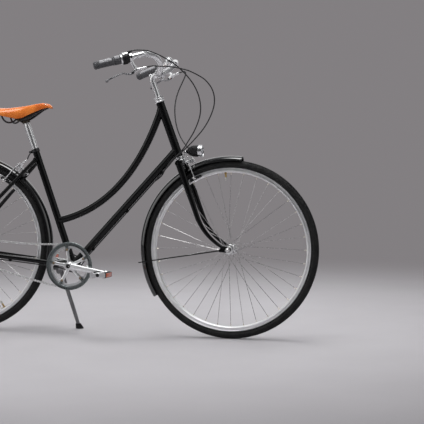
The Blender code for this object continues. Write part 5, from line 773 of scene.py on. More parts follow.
look_of("reflector", (0.72, 0.12, 0.015), 0.30,
        tints=((700, 1.0, "VORONOI"), (0.78, 0.13, 0.012), (0.60, 0.07, 0.006), 0.1, 0.7),
        bump=((700, 1.0, "VORONOI"), 0.5, 0.0004), Coat_Weight=0.3, Coat_Roughness=0.15)

# Leather and glass
look_of("tan_leather", (0.66, 0.16, 0.022), 0.44,
        tints=((22, 5.0), (0.56, 0.115, 0.012), (0.76, 0.215, 0.036)), rough=((160, 4.0), 0.30, 0.44),
        bump=((1500, 2.0, "VORONOI"), 0.12, 0.0002), Coat_Weight=0.5, Coat_Roughness=0.12,
        Specular_IOR_Level=0.3)
look_of("saddle_flap", (0.012, 0.010, 0.009), 0.55,
        tints=((90,), (0.009, 0.008, 0.007), (0.018, 0.014, 0.012)), rough=((260, 4.0), 0.48, 0.62))
look_of("lamp_glass", (0.93, 0.95, 0.96), 0.04, rough=((200,), 0.02, 0.07), Transmission_Weight=1.0, IOR=1.49)


def add_brushed_grain(look):
    """Stretches the highlights round the wheel, as on a rim that was brushed while it turned."""
    grain = look.node_tree.nodes.new("ShaderNodeTangent")
    grain.direction_type = "RADIAL"
    grain.axis = "Y"
    look.node_tree.links.new(grain.outputs["Tangent"],
                             look.node_tree.nodes["Principled BSDF"].inputs["Tangent"])


add_brushed_grain(look_of("rim", (0.84, 0.845, 0.85), 0.34, 1.0,
                          tints=((30,), (0.80, 0.805, 0.81), (0.88, 0.88, 0.885)),
                          rough=((60, 4.0), 0.32, 0.38), Anisotropic=0.75))


# Pieces

# The angles between faces from which an edge is shown sharp, and from which it is rounded
SHARP_FROM = math.radians(32)
ROUNDED_FROM = math.radians(35)


def joined(pieces):
    """One bmesh of several."""
    whole = bmesh.new()
    for piece in pieces:
        holder = bpy.data.meshes.new("holder")
        piece.to_mesh(holder)
        piece.free()
        whole.from_mesh(holder)
        bpy.data.meshes.remove(holder)
    return whole


def show(name, look, body, pieces, replaced=(), edge=0.0, material=None):
    """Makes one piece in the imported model's frame, which rides on a body and stands for some of its nodes."""
    mesh = joined(pieces)
    mesh.transform(LEANING)
    data = bpy.data.meshes.new(name)
    mesh.to_mesh(data)
    mesh.free()
    thing = bpy.data.objects.new(name, data)
    bpy.context.scene.collection.objects.link(thing)
    data.materials.append(LOOKS[material or look])
    data.shade_smooth()
    data.set_sharp_from_angle(angle=SHARP_FROM)
    if edge:
        rounding = thing.modifiers.new("rounding", "BEVEL")
        rounding.width = edge
        rounding.segments = 2
        rounding.limit_method = "ANGLE"
        rounding.angle_limit = ROUNDED_FROM
        rounding.harden_normals = False
    if body:
        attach(thing, body)
    if replaced:
        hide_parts(*replaced)
    return thing


# Stage, light and camera

BACKDROP = (0.225, 0.212, 0.220)
FLOOR_RADIUS = 40.0
# How far from the bicycle the floor starts and ends to fade into the backdrop
FLOOR_FADE_FROM = 0.9
FLOOR_FADE_TO = 3.4


def wire(tree, kind, operation=None, **inputs):
    """A node with its inputs set to numbers or joined to other nodes' outputs."""
    node = tree.nodes.new(kind)
    if operation:
        node.operation = operation
    for index, value in inputs.items():
        socket = node.inputs[int(index[1:])]
        if isinstance(value, bpy.types.NodeSocket):
            tree.links.new(value, socket)
        else:
            socket.default_value = value
    return node.outputs[0]


def seen_directly(tree):
    """1 for what the camera sees, straight or through glass."""
    rays = tree.nodes.new("ShaderNodeLightPath")
    return wire(tree, "ShaderNodeMath", "MAXIMUM", i0=rays.outputs["Is Camera Ray"],
                i1=rays.outputs["Is Transmission Ray"])


def build_floor():
    mesh = bmesh.new()
    bmesh.ops.create_circle(mesh, cap_ends=True, segments=64, radius=FLOOR_RADIUS)
    data = bpy.data.meshes.new("floor")
    mesh.to_mesh(data)
    mesh.free()
    floor = bpy.data.objects.new("floor", data)
    bpy.context.scene.collection.objects.link(floor)
    look = new_material("floor", (0.49, 0.475, 0.49), 0.8)
    tint(look, noise_field(look, 3.0), (0.48, 0.465, 0.48), (0.50, 0.485, 0.50))
    tree = look.node_tree
    place = tree.nodes.new("ShaderNodeTexCoord").outputs["Object"]
    away = tree.nodes.new("ShaderNodeVectorMath")
    away.operation = "LENGTH"
    tree.links.new(place, away.inputs[0])
    fade = tree.nodes.new("ShaderNodeMapRange")
    fade.interpolation_type = "SMOOTHSTEP"
    fade.inputs["From Min"].default_value = FLOOR_FADE_FROM
    fade.inputs["From Max"].default_value = FLOOR_FADE_TO
    tree.links.new(away.outputs["Value"], fade.inputs["Value"])
    share = wire(tree, "ShaderNodeMath", "MULTIPLY", i0=fade.outputs["Result"], i1=seen_directly(tree))
    glow = wire(tree, "ShaderNodeEmission", i0=(*BACKDROP, 1.0), i1=1.0)
    mixed = wire(tree, "ShaderNodeMixShader", i0=share, i1=tree.nodes["Principled BSDF"].outputs[0], i2=glow)
    tree.links.new(mixed, tree.nodes["Material Output"].inputs["Surface"])
    data.materials.append(look)


def soft_box(tree, way, aim, inner, outer):
    """A bright patch of the studio about a direction, for what metal and paint reflect."""
    toward = tree.nodes.new("ShaderNodeVectorMath")
    toward.operation = "DOT_PRODUCT"
    tree.links.new(way, toward.inputs[0])
    toward.inputs[1].default_value = Vector(aim).normalized()
    edge = tree.nodes.new("ShaderNodeMapRange")
    edge.interpolation_type = "SMOOTHSTEP"
    edge.inputs["From Min"].default_value = math.cos(math.radians(outer))
    edge.inputs["From Max"].default_value = math.cos(math.radians(inner))
    tree.links.new(toward.outputs["Value"], edge.inputs["Value"])
    return edge.outputs["Result"]


# The studio's soft boxes, seen only in reflections: direction, inner and outer half angle, strength
SOFT_BOXES = [((0.05, -0.22, 1.0), 12, 24, 7.0), ((-0.80, -0.50, 0.34), 12, 34, 1.2),
              ((0.90, -0.30, 0.30), 10, 30, 0.7), ((-0.2, 0.9, 0.45), 12, 40, 0.8)]


def build_world():
    """Even light all round, soft boxes for what metal and paint reflect, and a pale backdrop."""
    world = bpy.data.worlds.new("studio")
    world.use_nodes = True
    tree = world.node_tree
    for node in list(tree.nodes):
        if node.type == "BACKGROUND":
            tree.nodes.remove(node)
    way = tree.nodes.new("ShaderNodeTexCoord").outputs["Generated"]
    split = tree.nodes.new("ShaderNodeSeparateXYZ")
    tree.links.new(way, split.inputs[0])
    ramp = tree.nodes.new("ShaderNodeValToRGB")
    stops = ramp.color_ramp.elements
    stops[0].position, stops[0].color = 0.0, (0.20, 0.20, 0.20, 1.0)
    stops[1].position, stops[1].color = 0.95, (0.34, 0.345, 0.36, 1.0)
    for place, shade in ((0.12, 0.15), (0.32, 0.16), (0.52, 0.22)):
        stop = stops.new(place)
        stop.color = (shade, shade, shade * 1.03, 1.0)
    tree.links.new(split.outputs["Z"], ramp.inputs["Fac"])
    ahead = tree.nodes.new("ShaderNodeMapRange")
    tree.links.new(split.outputs["Y"], ahead.inputs["Value"])
    for name, value in (("From Min", -1.0), ("From Max", 0.1), ("To Min", 0.30), ("To Max", 1.0)):
        ahead.inputs[name].default_value = value
    boxes = 0.0
    for aim, inner, outer, strength in SOFT_BOXES:
        boxes = wire(tree, "ShaderNodeMath", "MULTIPLY_ADD", i0=soft_box(tree, way, aim, inner, outer),
                     i1=strength, i2=boxes)
    bright = wire(tree, "ShaderNodeBackground", i0=(1.0, 1.0, 1.0, 1.0), i1=boxes)
    room = wire(tree, "ShaderNodeBackground", i0=ramp.outputs["Color"], i1=ahead.outputs["Result"])
    reflected = wire(tree, "ShaderNodeAddShader", i0=room, i1=bright)
    soft = wire(tree, "ShaderNodeBackground", i0=(0.93, 0.94, 1.0, 1.0), i1=0.30)
    pale = wire(tree, "ShaderNodeBackground", i0=(*BACKDROP, 1.0), i1=1.0)
    glossy = tree.nodes.new("ShaderNodeLightPath").outputs["Is Glossy Ray"]
    lighting = wire(tree, "ShaderNodeMixShader", i0=glossy, i1=soft, i2=reflected)
    whole = wire(tree, "ShaderNodeMixShader", i0=seen_directly(tree), i1=lighting, i2=pale)
    tree.links.new(whole, tree.nodes["World Output"].inputs["Surface"])
    bpy.context.scene.world = world


# Each lamp's name, place, size and power
LAMPS = [("overhead", (0.1, 0.3, 3.2), 2.2, 70), ("key", (-2.2, -3.2, 2.8), 1.6, 62),
         ("back", (2.4, 2.6, 2.4), 1.6, 28)]
LAMP_TARGET = Vector((0.1, 0.0, 0.5))


def build_lamps():
    for name, place, size, power in LAMPS:
        lamp = bpy.data.lights.new(name, "AREA")
        lamp.shape = "DISK"
        lamp.size = size
        lamp.energy = power
        lamp.specular_factor = 0.0
        thing = bpy.data.objects.new(name, lamp)
        thing.location = place
        thing.visible_glossy = False
        thing.rotation_euler = (LAMP_TARGET - Vector(place)).to_track_quat("-Z", "Y").to_euler()
        bpy.context.scene.collection.objects.link(thing)


# The photo's view: focal length and sensor in millimetres, place from the upright bicycle, turn in degrees
LENS = 125.58
SENSOR = 36.0
VIEW_PLACE = (1.906, -5.593, 0.877)
VIEW_TURN = (86.166, 0.0, 13.458)


def build_camera():
    camera = bpy.data.cameras.new("camera")
    camera.sensor_width = SENSOR
    camera.lens = LENS
    camera.clip_end = 100.0
    eye = bpy.data.objects.new("camera", camera)
    shift = LEANING.translation
    x, y, z = VIEW_PLACE
    eye.location = (x + shift.x, y + AXLE_HEIGHT * math.sin(LEAN) + shift.y, z)
    eye.rotation_euler = [math.radians(turn) for turn in VIEW_TURN]
    bpy.context.scene.collection.objects.link(eye)
    bpy.context.scene.camera = eye
    bpy.context.scene.view_settings.view_transform = "Standard"


def build_stage():
    build_floor()
    build_world()
    build_lamps()
    build_camera()


# Frame

def curved_tube_points(count):
    """The step-through tube, from the head tube down and back to the seat tube."""
    start = on_steerer(HEAD_TUBE_TOP - CURVED_TUBE_HEAD_INSET)
    end = on_seat_tube(CURVED_TUBE_SEAT_PLACE)
    leave = Vector((-math.cos(CURVED_TUBE_HEAD_SLOPE), 0, -math.sin(CURVED_TUBE_HEAD_SLOPE)))
    arrive = Vector((math.cos(CURVED_TUBE_SEAT_SLOPE), 0, math.sin(CURVED_TUBE_SEAT_SLOPE)))
    second = start + leave * CURVED_TUBE_HEAD_PULL
    third = end + arrive * CURVED_TUBE_SEAT_PULL
    points = []
    for i in range(count):
        t = i / (count - 1)
        u = 1 - t
        points.append(start * u ** 3 + second * 3 * u * u * t + third * 3 * u * t * t + end * t ** 3)
    return points


def rear_dropout_out():
    return REAR_HUB_WIDTH / 2 + DROPOUT_THICKNESS / 2


def chain_stay_points(side):
    """From the bracket shell, past the tyre, to the dropout."""
    end = REAR_AXLE + Vector((CHAIN_STAY_END[0], side * rear_dropout_out(), CHAIN_STAY_END[1]))
    waist = BRACKET + Vector((CHAIN_STAY_WAIST[0], side * CHAIN_STAY_WAIST_OUT, CHAIN_STAY_WAIST[1]))
    start = BRACKET + Vector((0.0, side * (BRACKET_SHELL_HALF - CHAIN_STAY_WIDE - 0.002), 0.0))
    return start, waist, end


def seat_stay_ends(side):
    top = on_seat_tube(SEAT_STAY_TOP_PLACE, -SEAT_TUBE_RADIUS * 0.4, side * SEAT_STAY_TOP_OUT)
    end = REAR_AXLE + Vector((SEAT_STAY_END[0], side * rear_dropout_out(), SEAT_STAY_END[1]))
    return top, end


def brake_bridge_place():
    """Where the seat stays are BRAKE_BRIDGE_FROM_AXLE away from the rear axle, and their direction."""
    top, end = seat_stay_ends(0)
    way = (top - end).normalized()
    from_axle = end - REAR_AXLE
    half = from_axle.dot(way)
    run = -half + math.sqrt(half * half - from_axle.length_squared + BRAKE_BRIDGE_FROM_AXLE ** 2)
    return end + way * run, way


def rear_dropout(side):
    inner = side * REAR_HUB_WIDTH / 2
    outer = side * (REAR_HUB_WIDTH / 2 + DROPOUT_THICKNESS)
    axle = (REAR_AXLE.x, REAR_AXLE.z)
    upper = (axle[0] + SEAT_STAY_END[0], axle[1] + SEAT_STAY_END[1])
    lower = (axle[0] + CHAIN_STAY_END[0], axle[1] + CHAIN_STAY_END[1])
    back = (axle[0] + EYELET_REAR[0], axle[1] + EYELET_REAR[1])
    return hulled(circle_points(axle, 0.0130, inner, outer, 10)
                  + circle_points(upper, 0.0060, inner, outer, 8)
                  + circle_points(lower, 0.0075, inner, outer, 8)
                  + circle_points(back, EYELET_RADIUS, inner, outer, 8))


def fillet(point, way, radius, reach, flare):
    """The flared foot of a tube where it is brazed on: from a point inside the joint, along the tube."""
    points = []
    sizes = []
    for i in range(9):
        t = i / 8
        points.append(point + way.normalized() * reach * t)
        swell = radius - 0.0007 * t + flare * (1 - t) ** 2.2
        sizes.append((swell, swell))
    return swept(points, sizes, 10)


def buried_fillet(point, way, radius, host_radius, host_way, reach):
    """A fillet whose wide end stays inside the tube that it is brazed on."""
    flare = max(0.0006, min(0.0045, host_radius * 0.96 - radius))
    turn = way.angle(host_way)
    depth = (host_radius - (radius + flare) * abs(math.cos(turn))) / math.sin(turn)
    depth = min(max(depth, host_radius * 0.2), host_radius * 0.5)
    return fillet(point + way.normalized() * depth, way, radius, reach, flare)


def frame_fillets():
    """The brazed joints of the main tubes and the stays."""
    curve = curved_tube_points(60)
    head, seat = curve[0], curve[-1]
    down_head, down_foot = down_tube_ends()
    along = down_foot - down_head
    joints = [buried_fillet(down_head, along, DOWN_TUBE_RADIUS, HEAD_TUBE_RADIUS, STEER_UP, 0.050),
              buried_fillet(down_foot, -along, DOWN_TUBE_RADIUS, BRACKET_SHELL_RADIUS, SIDEWAYS, 0.045),
              buried_fillet(BRACKET, SEAT_UP, SEAT_TUBE_RADIUS, BRACKET_SHELL_RADIUS, SIDEWAYS, 0.045),
              buried_fillet(seat, curve[-4] - seat, CURVED_TUBE_RADIUS, SEAT_TUBE_RADIUS, SEAT_UP, 0.034),
              buried_fillet(head, curve[3] - head, CURVED_TUBE_RADIUS, HEAD_TUBE_RADIUS, STEER_UP, 0.036)]
    for side in (-1, 1):
        start, waist, _ = chain_stay_points(side)
        way = (waist - start).normalized()
        joints.append(fillet(start + way * BRACKET_SHELL_RADIUS * 0.5, way, CHAIN_STAY_TALL * 0.92, 0.024,
                             0.0030))
    return joints


def build_frame(body):
    pieces = frame_fillets()
    pieces.append(placed(disc(HEAD_TUBE_RADIUS, 0, HEAD_TUBE_LENGTH, 18), on_steerer(HEAD_TUBE_BOTTOM),
                         STEER_UP))
    pieces.append(swept(curved_tube_points(60), (CURVED_TUBE_RADIUS,) * 2, 12, SIDEWAYS))
    pieces.append(rod(BRACKET, on_steerer(HEAD_TUBE_BOTTOM + DOWN_TUBE_HEAD_PLACE), DOWN_TUBE_RADIUS, 14))
    pieces.append(rod(BRACKET, on_seat_tube(SEAT_TUBE_LENGTH), SEAT_TUBE_RADIUS, 14))
    pieces.append(placed(disc(BRACKET_SHELL_RADIUS, -BRACKET_SHELL_HALF, BRACKET_SHELL_HALF, 16), BRACKET,
                         SIDEWAYS))
    for side in (-1, 1):
        start, waist, end = chain_stay_points(side)
        round_end = (CHAIN_STAY_WIDE * 0.85, CHAIN_STAY_TALL * 0.85)
        oval = (CHAIN_STAY_WIDE, CHAIN_STAY_TALL)
        pieces.append(swept([start, waist, end], [oval, oval, round_end], CHAIN_STAY_SIDES, SIDEWAYS))
        top, low = seat_stay_ends(side)
        pieces.append(rod(low, top, SEAT_STAY_RADIUS, 8))
        pieces.append(rear_dropout(side))
    cap = seat_stay_ends(0)[0]
    pieces.append(placed(disc(SEAT_STAY_RADIUS * 1.08, -SEAT_STAY_TOP_OUT - 0.006, SEAT_STAY_TOP_OUT + 0.006,
                              8), cap, SIDEWAYS))
    bridge, _ = brake_bridge_place()
    reach = SEAT_STAY_TOP_OUT + 0.009
    pieces.append(placed(disc(BRIDGE_RADIUS, -reach, reach, 8), bridge, SIDEWAYS))
    waist = chain_stay_points(1)[1]
    lower_bridge = Vector((CHAIN_STAY_BRIDGE_X, 0, waist.z))
    pieces.append(placed(disc(BRIDGE_RADIUS, -CHAIN_STAY_WAIST_OUT, CHAIN_STAY_WAIST_OUT, 8), lower_bridge,
                         SIDEWAYS))
    for centre, along, outward in cable_guides():
        side = along.cross(outward)
        pieces.append(rod(centre - along * 0.005, centre + along * 0.005, CABLE_RADIUS + 0.0012, 8))
        pieces.append(hulled([centre + along * a + outward * b + side * c for a in (-0.007, 0.007)
                              for b in (-0.0058, -0.0010) for c in (-0.0040, 0.0040)]))
    show("frame_look", "black_paint", body, pieces, ("frame",), edge=0.0004)


def build_headset(body):
    """The two polished cups pressed into the head tube, each with a step and a rounded lip."""
    wide = CUP_RADIUS
    bottom = HEAD_TUBE_BOTTOM - GAP
    lower = [(HEAD_TUBE_RADIUS, bottom + 0.0012), (wide, bottom), (wide * 1.01, bottom - 0.0022),
             (wide, bottom - LOWER_CUP_HEIGHT * 0.75), (wide * 0.96, bottom - LOWER_CUP_HEIGHT + GAP),
             (STEERER_RADIUS + RUNNING_GAP, bottom - LOWER_CUP_HEIGHT + GAP),
             (STEERER_RADIUS + RUNNING_GAP, bottom)]
    show("headset_cup_lower", "polished_silver", body, [lathe(lower, 16, STEER_FOOT, STEER_UP, ring=True)],
         ("lower_headset_cup",))
    top = HEAD_TUBE_TOP + GAP
    upper = [(STEERER_RADIUS + RUNNING_GAP, top), (HEAD_TUBE_RADIUS * 1.02, top), (wide * 0.98, top + 0.0022),
             (wide, top + 0.0040), (wide * 0.94, top + 0.0062), (wide * 0.94, top + 0.0078),
             (wide, top + 0.0092), (wide, top + UPPER_CUP_HEIGHT - 0.0016),
             (wide * 0.95, top + UPPER_CUP_HEIGHT - GAP),
             (STEERER_RADIUS + RUNNING_GAP, top + UPPER_CUP_HEIGHT - GAP)]
    show("headset_cup_upper", "polished_silver", body, [lathe(upper, 16, STEER_FOOT, STEER_UP, ring=True)],
         ("upper_headset_cup",))


def build_locknut(body):
    """The eight-sided nut on top of the steerer, with a round collar."""
    low = HEAD_TUBE_TOP + UPPER_CUP_HEIGHT + 2 * GAP
    high = STEERER_TOP
    wide = CUP_RADIUS * 0.93 + 0.0004
    bore = circle_outline(STEM_RADIUS + GAP, 48)
    nut = flat_ring(circle_outline(wide * 1.04, 8), bore, low + 0.0014, high - 0.0004)
    collar = [(wide, low), (wide * 1.02, low + 0.0006), (wide * 1.02, low + 0.0014),
              (STEM_RADIUS + GAP, low + 0.0016), (STEM_RADIUS + GAP, low)]
    lip = [(wide * 0.82, high - 0.0006), (wide * 0.82, high + 0.0006), (STEM_RADIUS + GAP, high + 0.0008),
           (STEM_RADIUS + GAP, high - 0.0006)]
    show("headset_locknut", "polished_silver", body,
         [placed(nut, STEER_FOOT, STEER_UP), lathe(collar, 16, STEER_FOOT, STEER_UP, ring=True),
          lathe(lip, 16, STEER_FOOT, STEER_UP, ring=True)], edge=0.0003)


def build_bottom_bracket(body):
    outer = BRACKET_SHELL_BORE - GAP
    lip = BRACKET_SHELL_RADIUS * 0.94
    bore = SPINDLE_RADIUS + RUNNING_GAP
    face = BRACKET_SHELL_HALF + GAP
    profile = [(bore, -face - 0.003), (lip, -face - 0.003), (lip, -face), (outer, -face), (outer, face),
               (lip, face), (lip, face + 0.003), (bore, face + 0.003)]
    show("bottom_bracket_bearing_look", "brushed_steel", body,
         [lathe(profile, 16, BRACKET, SIDEWAYS, ring=True)], ("bottom_bracket_bearing",), edge=0.0004)


# Wheels

# How much higher than the rim's well its polished lips reach up the tyre
RIM_LIP = 0.0022
TREAD_STEPS = 432
TREAD_GROOVE = 0.0011
SPOKE_THIN = 0.0010
NIPPLE_RADIUS = 0.0021
NIPPLE_LENGTH = 0.0115
VALVE_ANGLE = {"front": math.radians(94.6), "rear": math.radians(-58)}
# The tread in degrees away from its middle: two grooves, where the cut blocks end, where the plain sidewall
# starts, and the sidewall's two raised lines
GROOVES = ((9, 14), (28, 33))
BLOCKS_END = 58
SIDEWALL_FROM = 62
SIDEWALL_LINES = ((70, 72), (84, 86))
# How far each wheel is turned from its first spoke pointing ahead
WHEEL_TURN = {"front": math.radians(0.5), "rear": math.radians(0)}


def turned_about_axle(profiles, axle):
    """Turns closed (out, radius) outlines about an axle; the outlines may differ from step to step."""
    count = len(profiles)
    return skinned([[around(axle, radius, 2 * math.pi * i / count, out) for out, radius in profile]
                    for i, profile in enumerate(profiles)], True)


def tyre_outline(step):
    """The tyre's section: beads, sidewalls and a tread with two grooves and cut shoulders."""
    (_, first_end), (second_start, second_end) = GROOVES
    shoulder = RIM_HALF_WIDTH + 0.0024
    seat = RIM_WALL_TOP + RIM_LIP + GAP
    centre = TYRE_RADIUS - TYRE_SECTION
    inside = RIM_HALF_WIDTH - RIM_WALL - GAP
    points = [(-inside, RIM_FLOOR + GAP), (-inside, seat), (-shoulder, seat)]
    for k in range(61):
        degrees = 178 - 176 * k / 60
        turn = math.radians(degrees)
        off_top = abs(degrees - 90)
        radius = TYRE_SECTION
        if any(low <= off_top <= high for low, high in GROOVES):
            radius -= TREAD_GROOVE
        elif second_end < off_top <= BLOCKS_END and (step + (2 if degrees > 90 else 0)) % 4 == 0:
            radius -= TREAD_GROOVE * 0.9
        elif first_end < off_top < second_start and (step + int(off_top / 5)) % 6 == 0:
            radius -= TREAD_GROOVE * 0.7
        elif off_top > SIDEWALL_FROM:
            radius -= 0.0004
        if any(low <= off_top <= high for low, high in SIDEWALL_LINES):
            radius += 0.0005
        points.append((radius * math.cos(turn), centre + radius * math.sin(turn)))
    points += [(shoulder, seat), (inside, seat), (inside, RIM_FLOOR + GAP)]
    return points


def rim_outline():
    wide = RIM_HALF_WIDTH
    inside = RIM_HALF_WIDTH - RIM_WALL
    lip = RIM_WALL_TOP - 0.0012
    half = [(wide - 0.0010, RIM_WALL_TOP + RIM_LIP), (wide + 0.0016, lip + RIM_LIP),
            (wide + 0.0016, lip + RIM_LIP - 0.0022), (wide + 0.0002, lip + RIM_LIP - 0.0034),
            (wide - 0.0003, lip - 0.0012), (wide - 0.0003, RIM_INNER + 0.0070), (wide, RIM_INNER + 0.0060),
            (wide - 0.0006, RIM_INNER + 0.0040), (wide * 0.72, RIM_INNER + 0.0014),
            (wide * 0.40, RIM_INNER + 0.0003)]
    mirror = [(-out, radius) for out, radius in half]
    return ([(0.0, RIM_INNER)] + half[::-1]
            + [(inside, RIM_WALL_TOP), (inside, RIM_FLOOR), (-inside, RIM_FLOOR), (-inside, RIM_WALL_TOP)]
            + mirror)


def spoke_ends(axle, flange_radius, flange_place, wheel_turn):
    """The two ends of every spoke of one wheel, laced over three crossings, and its side and lead."""
    ends = []
    step = 2 * math.pi / SPOKES_A_SIDE
    hole = flange_radius - SPOKE_HOLE_INSET
    for side in (-1, 1):
        for i in range(SPOKES_A_SIDE):
            leading = 1 if i % 2 == 0 else -1
            angle = wheel_turn + step * i + (step / 2 if side > 0 else 0.0)
            out = side * (flange_place + leading * SPOKE_SPREAD)
            start = around(axle, hole, angle, out)
            rim_angle = angle + leading * SPOKE_CROSSING_TURN
            end = around(axle, RIM_INNER + 0.0020, rim_angle, side * SPOKE_RIM_SPREAD)
            ends.append((start, end, side, leading))
    return ends


def hub_profile(shell, flange_radius, flange_place, shell_half):
    """Half of a hub's outline from its middle outwards, with rounded flanges and a bearing cap."""
    flange_in = flange_place - FLANGE_HALF
    flange_out = flange_place + FLANGE_HALF
    bore = AXLE_RADIUS + RUNNING_GAP
    return [(shell * 0.92, 0.0), (shell * 0.93, flange_in * 0.5), (shell, flange_in - 0.004),
            (shell * 1.12, flange_in - 0.0008), (flange_radius - 0.0006, flange_in),
            (flange_radius, flange_in + 0.0006), (flange_radius, flange_out - 0.0006),
            (flange_radius - 0.0006, flange_out), (shell * 1.05, flange_out),
            (shell * 0.88, flange_out + 0.0012), (shell * 0.86, shell_half - 0.0035),
            (AXLE_CONE_RADIUS + 0.0040, shell_half - 0.0020), (AXLE_CONE_RADIUS + 0.0030, shell_half),
            (bore, shell_half)]


def build_hub(prefix, body, axle, shell, flange_radius, flange_place, shell_half):
    half = hub_profile(shell, flange_radius, flange_place, shell_half)
    hub = lathe(mirrored(half)[:-1] + half, 16, axle, SIDEWAYS, ring=True)
    show(prefix + "_hub_shell", "polished_silver", body, [hub], (prefix + "_hub",))
    spokes = []
    nipples = []
    for start, end, side, leading in spoke_ends(axle, flange_radius, flange_place, WHEEL_TURN[prefix]):
        way = (end - start).normalized()
        route = [start, start + way * 0.004, end - way * NIPPLE_LENGTH]
        spokes.append(swept(route, (SPOKE_THIN, SPOKE_THIN), 3))
        head = start - SIDEWAYS * side * leading * (FLANGE_HALF + SPOKE_SPREAD + 0.0006)
        spokes.append(rod(start, head, SPOKE_THIN, 3))
        spokes.append(lathe(mm((0.8, -0.7), (1.9, 0), (0.8, 0.7)), 4, head, SIDEWAYS))
        nipple = [(SPOKE_THIN * 1.3, 0.0), (NIPPLE_RADIUS * 0.85, 0.0008), (NIPPLE_RADIUS * 0.85, 0.0075),
                  (NIPPLE_RADIUS, 0.0083), (NIPPLE_RADIUS, NIPPLE_LENGTH)]
        nipples.append(lathe(nipple, 4, end - way * NIPPLE_LENGTH, way))
    show(prefix + "_spokes", "polished_silver", body, spokes, material="spoke")
    show(prefix + "_nipples", "polished_silver", body, nipples, material="nipple")


def build_valve(prefix, body, axle):
    """A brass valve with its nut and pale cap, through the rim."""
    foot = around(axle, RIM_FLOOR, VALVE_ANGLE[prefix])
    way = (axle - foot).normalized()
    stem = mm((4, 0), (4, 12.5), (6.2, 12.8), (6.2, 15.8), (3.7, 16), (3.6, 30))
    show(prefix + "_valve_stem", "brushed_steel", body, [lathe(stem, 6, foot, way)], material="brass")
    cap = mm((4.2, 30), (4.6, 31), (4.4, 41.5), (3, 43))
    show(prefix + "_valve_cap", "black_plastic", body, [lathe(cap, 6, foot, way)], material="valve_cap")


def build_wheel(prefix, body, axle):
    if prefix == "front":
        build_hub(prefix, body, axle, FRONT_SHELL_RADIUS, FRONT_FLANGE_RADIUS, FRONT_FLANGE_PLACE,
                  FRONT_SHELL_HALF)
    else:
        build_hub(prefix, body, axle, REAR_SHELL_RADIUS, REAR_FLANGE_RADIUS, REAR_FLANGE_PLACE,
                  REAR_SHELL_HALF)
    show(prefix + "_rim_ring", "brushed_steel", body, [turned_about_axle([rim_outline()] * 240, axle)],
         (prefix + "_rim",), material="rim")
    show(prefix + "_tyre_tread", "tyre_rubber", body,
         [turned_about_axle([tyre_outline(step) for step in range(TREAD_STEPS)], axle)], (prefix + "_tyre",))
    build_valve(prefix, body, axle)


def build_axle(name, body, axle, hub_width, inner_half):
    """An axle with its cones inside the dropouts, and its washers and domed nuts outside them."""
    face = hub_width / 2
    nut_in = face + DROPOUT_THICKNESS + GAP
    nut_out = nut_in + AXLE_NUT_WIDTH
    half = [(AXLE_CONE_RADIUS, inner_half + GAP), (AXLE_CONE_RADIUS, face - GAP), (AXLE_RADIUS, face - GAP),
            (AXLE_RADIUS, nut_in), (AXLE_NUT_RADIUS, nut_in), (AXLE_NUT_RADIUS, nut_in + 0.0015),
            (AXLE_RADIUS * 1.2, nut_in + 0.0017), (AXLE_RADIUS * 1.2, nut_in + 0.003)]
    ends = [(AXLE_RADIUS, -inner_half - GAP), (AXLE_RADIUS, inner_half + GAP)]
    pieces = [lathe(mirrored(half) + ends + half, 10, axle, SIDEWAYS)]
    dome_wide = AXLE_NUT_RADIUS * 0.76
    dome = [(dome_wide, nut_out - 0.002)]
    for degrees in (0, 20, 40, 60, 78):
        turn = math.radians(degrees)
        dome.append((dome_wide * math.cos(turn), nut_out - 0.001 + 0.0070 * math.sin(turn)))
    flats = []
    for k in range(6):
        corner = around(axle, AXLE_NUT_RADIUS * 0.97, math.radians(60 * k + 12))
        flats.append((corner.x, corner.z))
    for side in (-1, 1):
        pieces.append(extruded(flats, side * (nut_in + 0.0015), side * nut_out))
        pieces.append(lathe(dome, 8, axle, SIDEWAYS * side))
    if name == "rear_axle":
        box = [(SHIFT_BOX_RADIUS * 0.9, nut_out), (SHIFT_BOX_RADIUS, nut_out + 0.0015),
               (SHIFT_BOX_RADIUS, nut_out + SHIFT_BOX_LENGTH - 0.004),
               (SHIFT_BOX_RADIUS * 0.8, nut_out + SHIFT_BOX_LENGTH)]
        pieces.append(lathe(box, 12, axle, -SIDEWAYS))
    show(name + "_nuts", "brushed_steel", body, pieces, (name,), edge=0.0004, material="nut")


def shift_box_entry():
    """Where the shift cable meets the front of the hub gear's box on the right end of the axle."""
    nut_out = REAR_HUB_WIDTH / 2 + DROPOUT_THICKNESS + GAP + AXLE_NUT_WIDTH
    return REAR_AXLE + Vector((SHIFT_BOX_RADIUS + 0.0012, -nut_out - SHIFT_BOX_LENGTH * 0.5, 0.0))


# Mudguards and their stays

# How deep the mudguards' rolled edges hang, and how thick they are
GUARD_SKIRT = GUARD_DEPTH + 0.0050
GUARD_BEAD = 0.0011
# How far the section bends to each side, and how many of its points lie on its outside
GUARD_TURN = math.radians(86)
GUARD_OUTSIDE = 33


def guard_outline():
    """The section of a mudguard as (out, radius) points, outside first, with a rolled edge on each side."""
    count = 25
    outer = []
    inner = []
    for i in range(count):
        angle = GUARD_TURN * (2 * i / (count - 1) - 1)
        t = math.sin(angle) / math.sin(GUARD_TURN)
        drop = GUARD_SKIRT * (1 - math.cos(angle)) / (1 - math.cos(GUARD_TURN))
        outer.append((GUARD_HALF_WIDTH * t, GUARD_OUTER - drop))
        inner.append(((GUARD_HALF_WIDTH - GUARD_SHEET) * t, GUARD_RADIUS - drop * 0.98))
    low = GUARD_OUTER - GUARD_SKIRT
    turns = [math.radians(a) for a in (30, -20, -70, -120, -170)]
    bead = [(GUARD_HALF_WIDTH + 0.0002 - GUARD_BEAD + GUARD_BEAD * math.cos(turn),
             low - 0.0002 + GUARD_BEAD * math.sin(turn)) for turn in turns]
    mirror = [(-out, radius) for out, radius in bead]
    return mirror[::-1] + outer[1:-1] + bead + inner[::-1][1:-1]


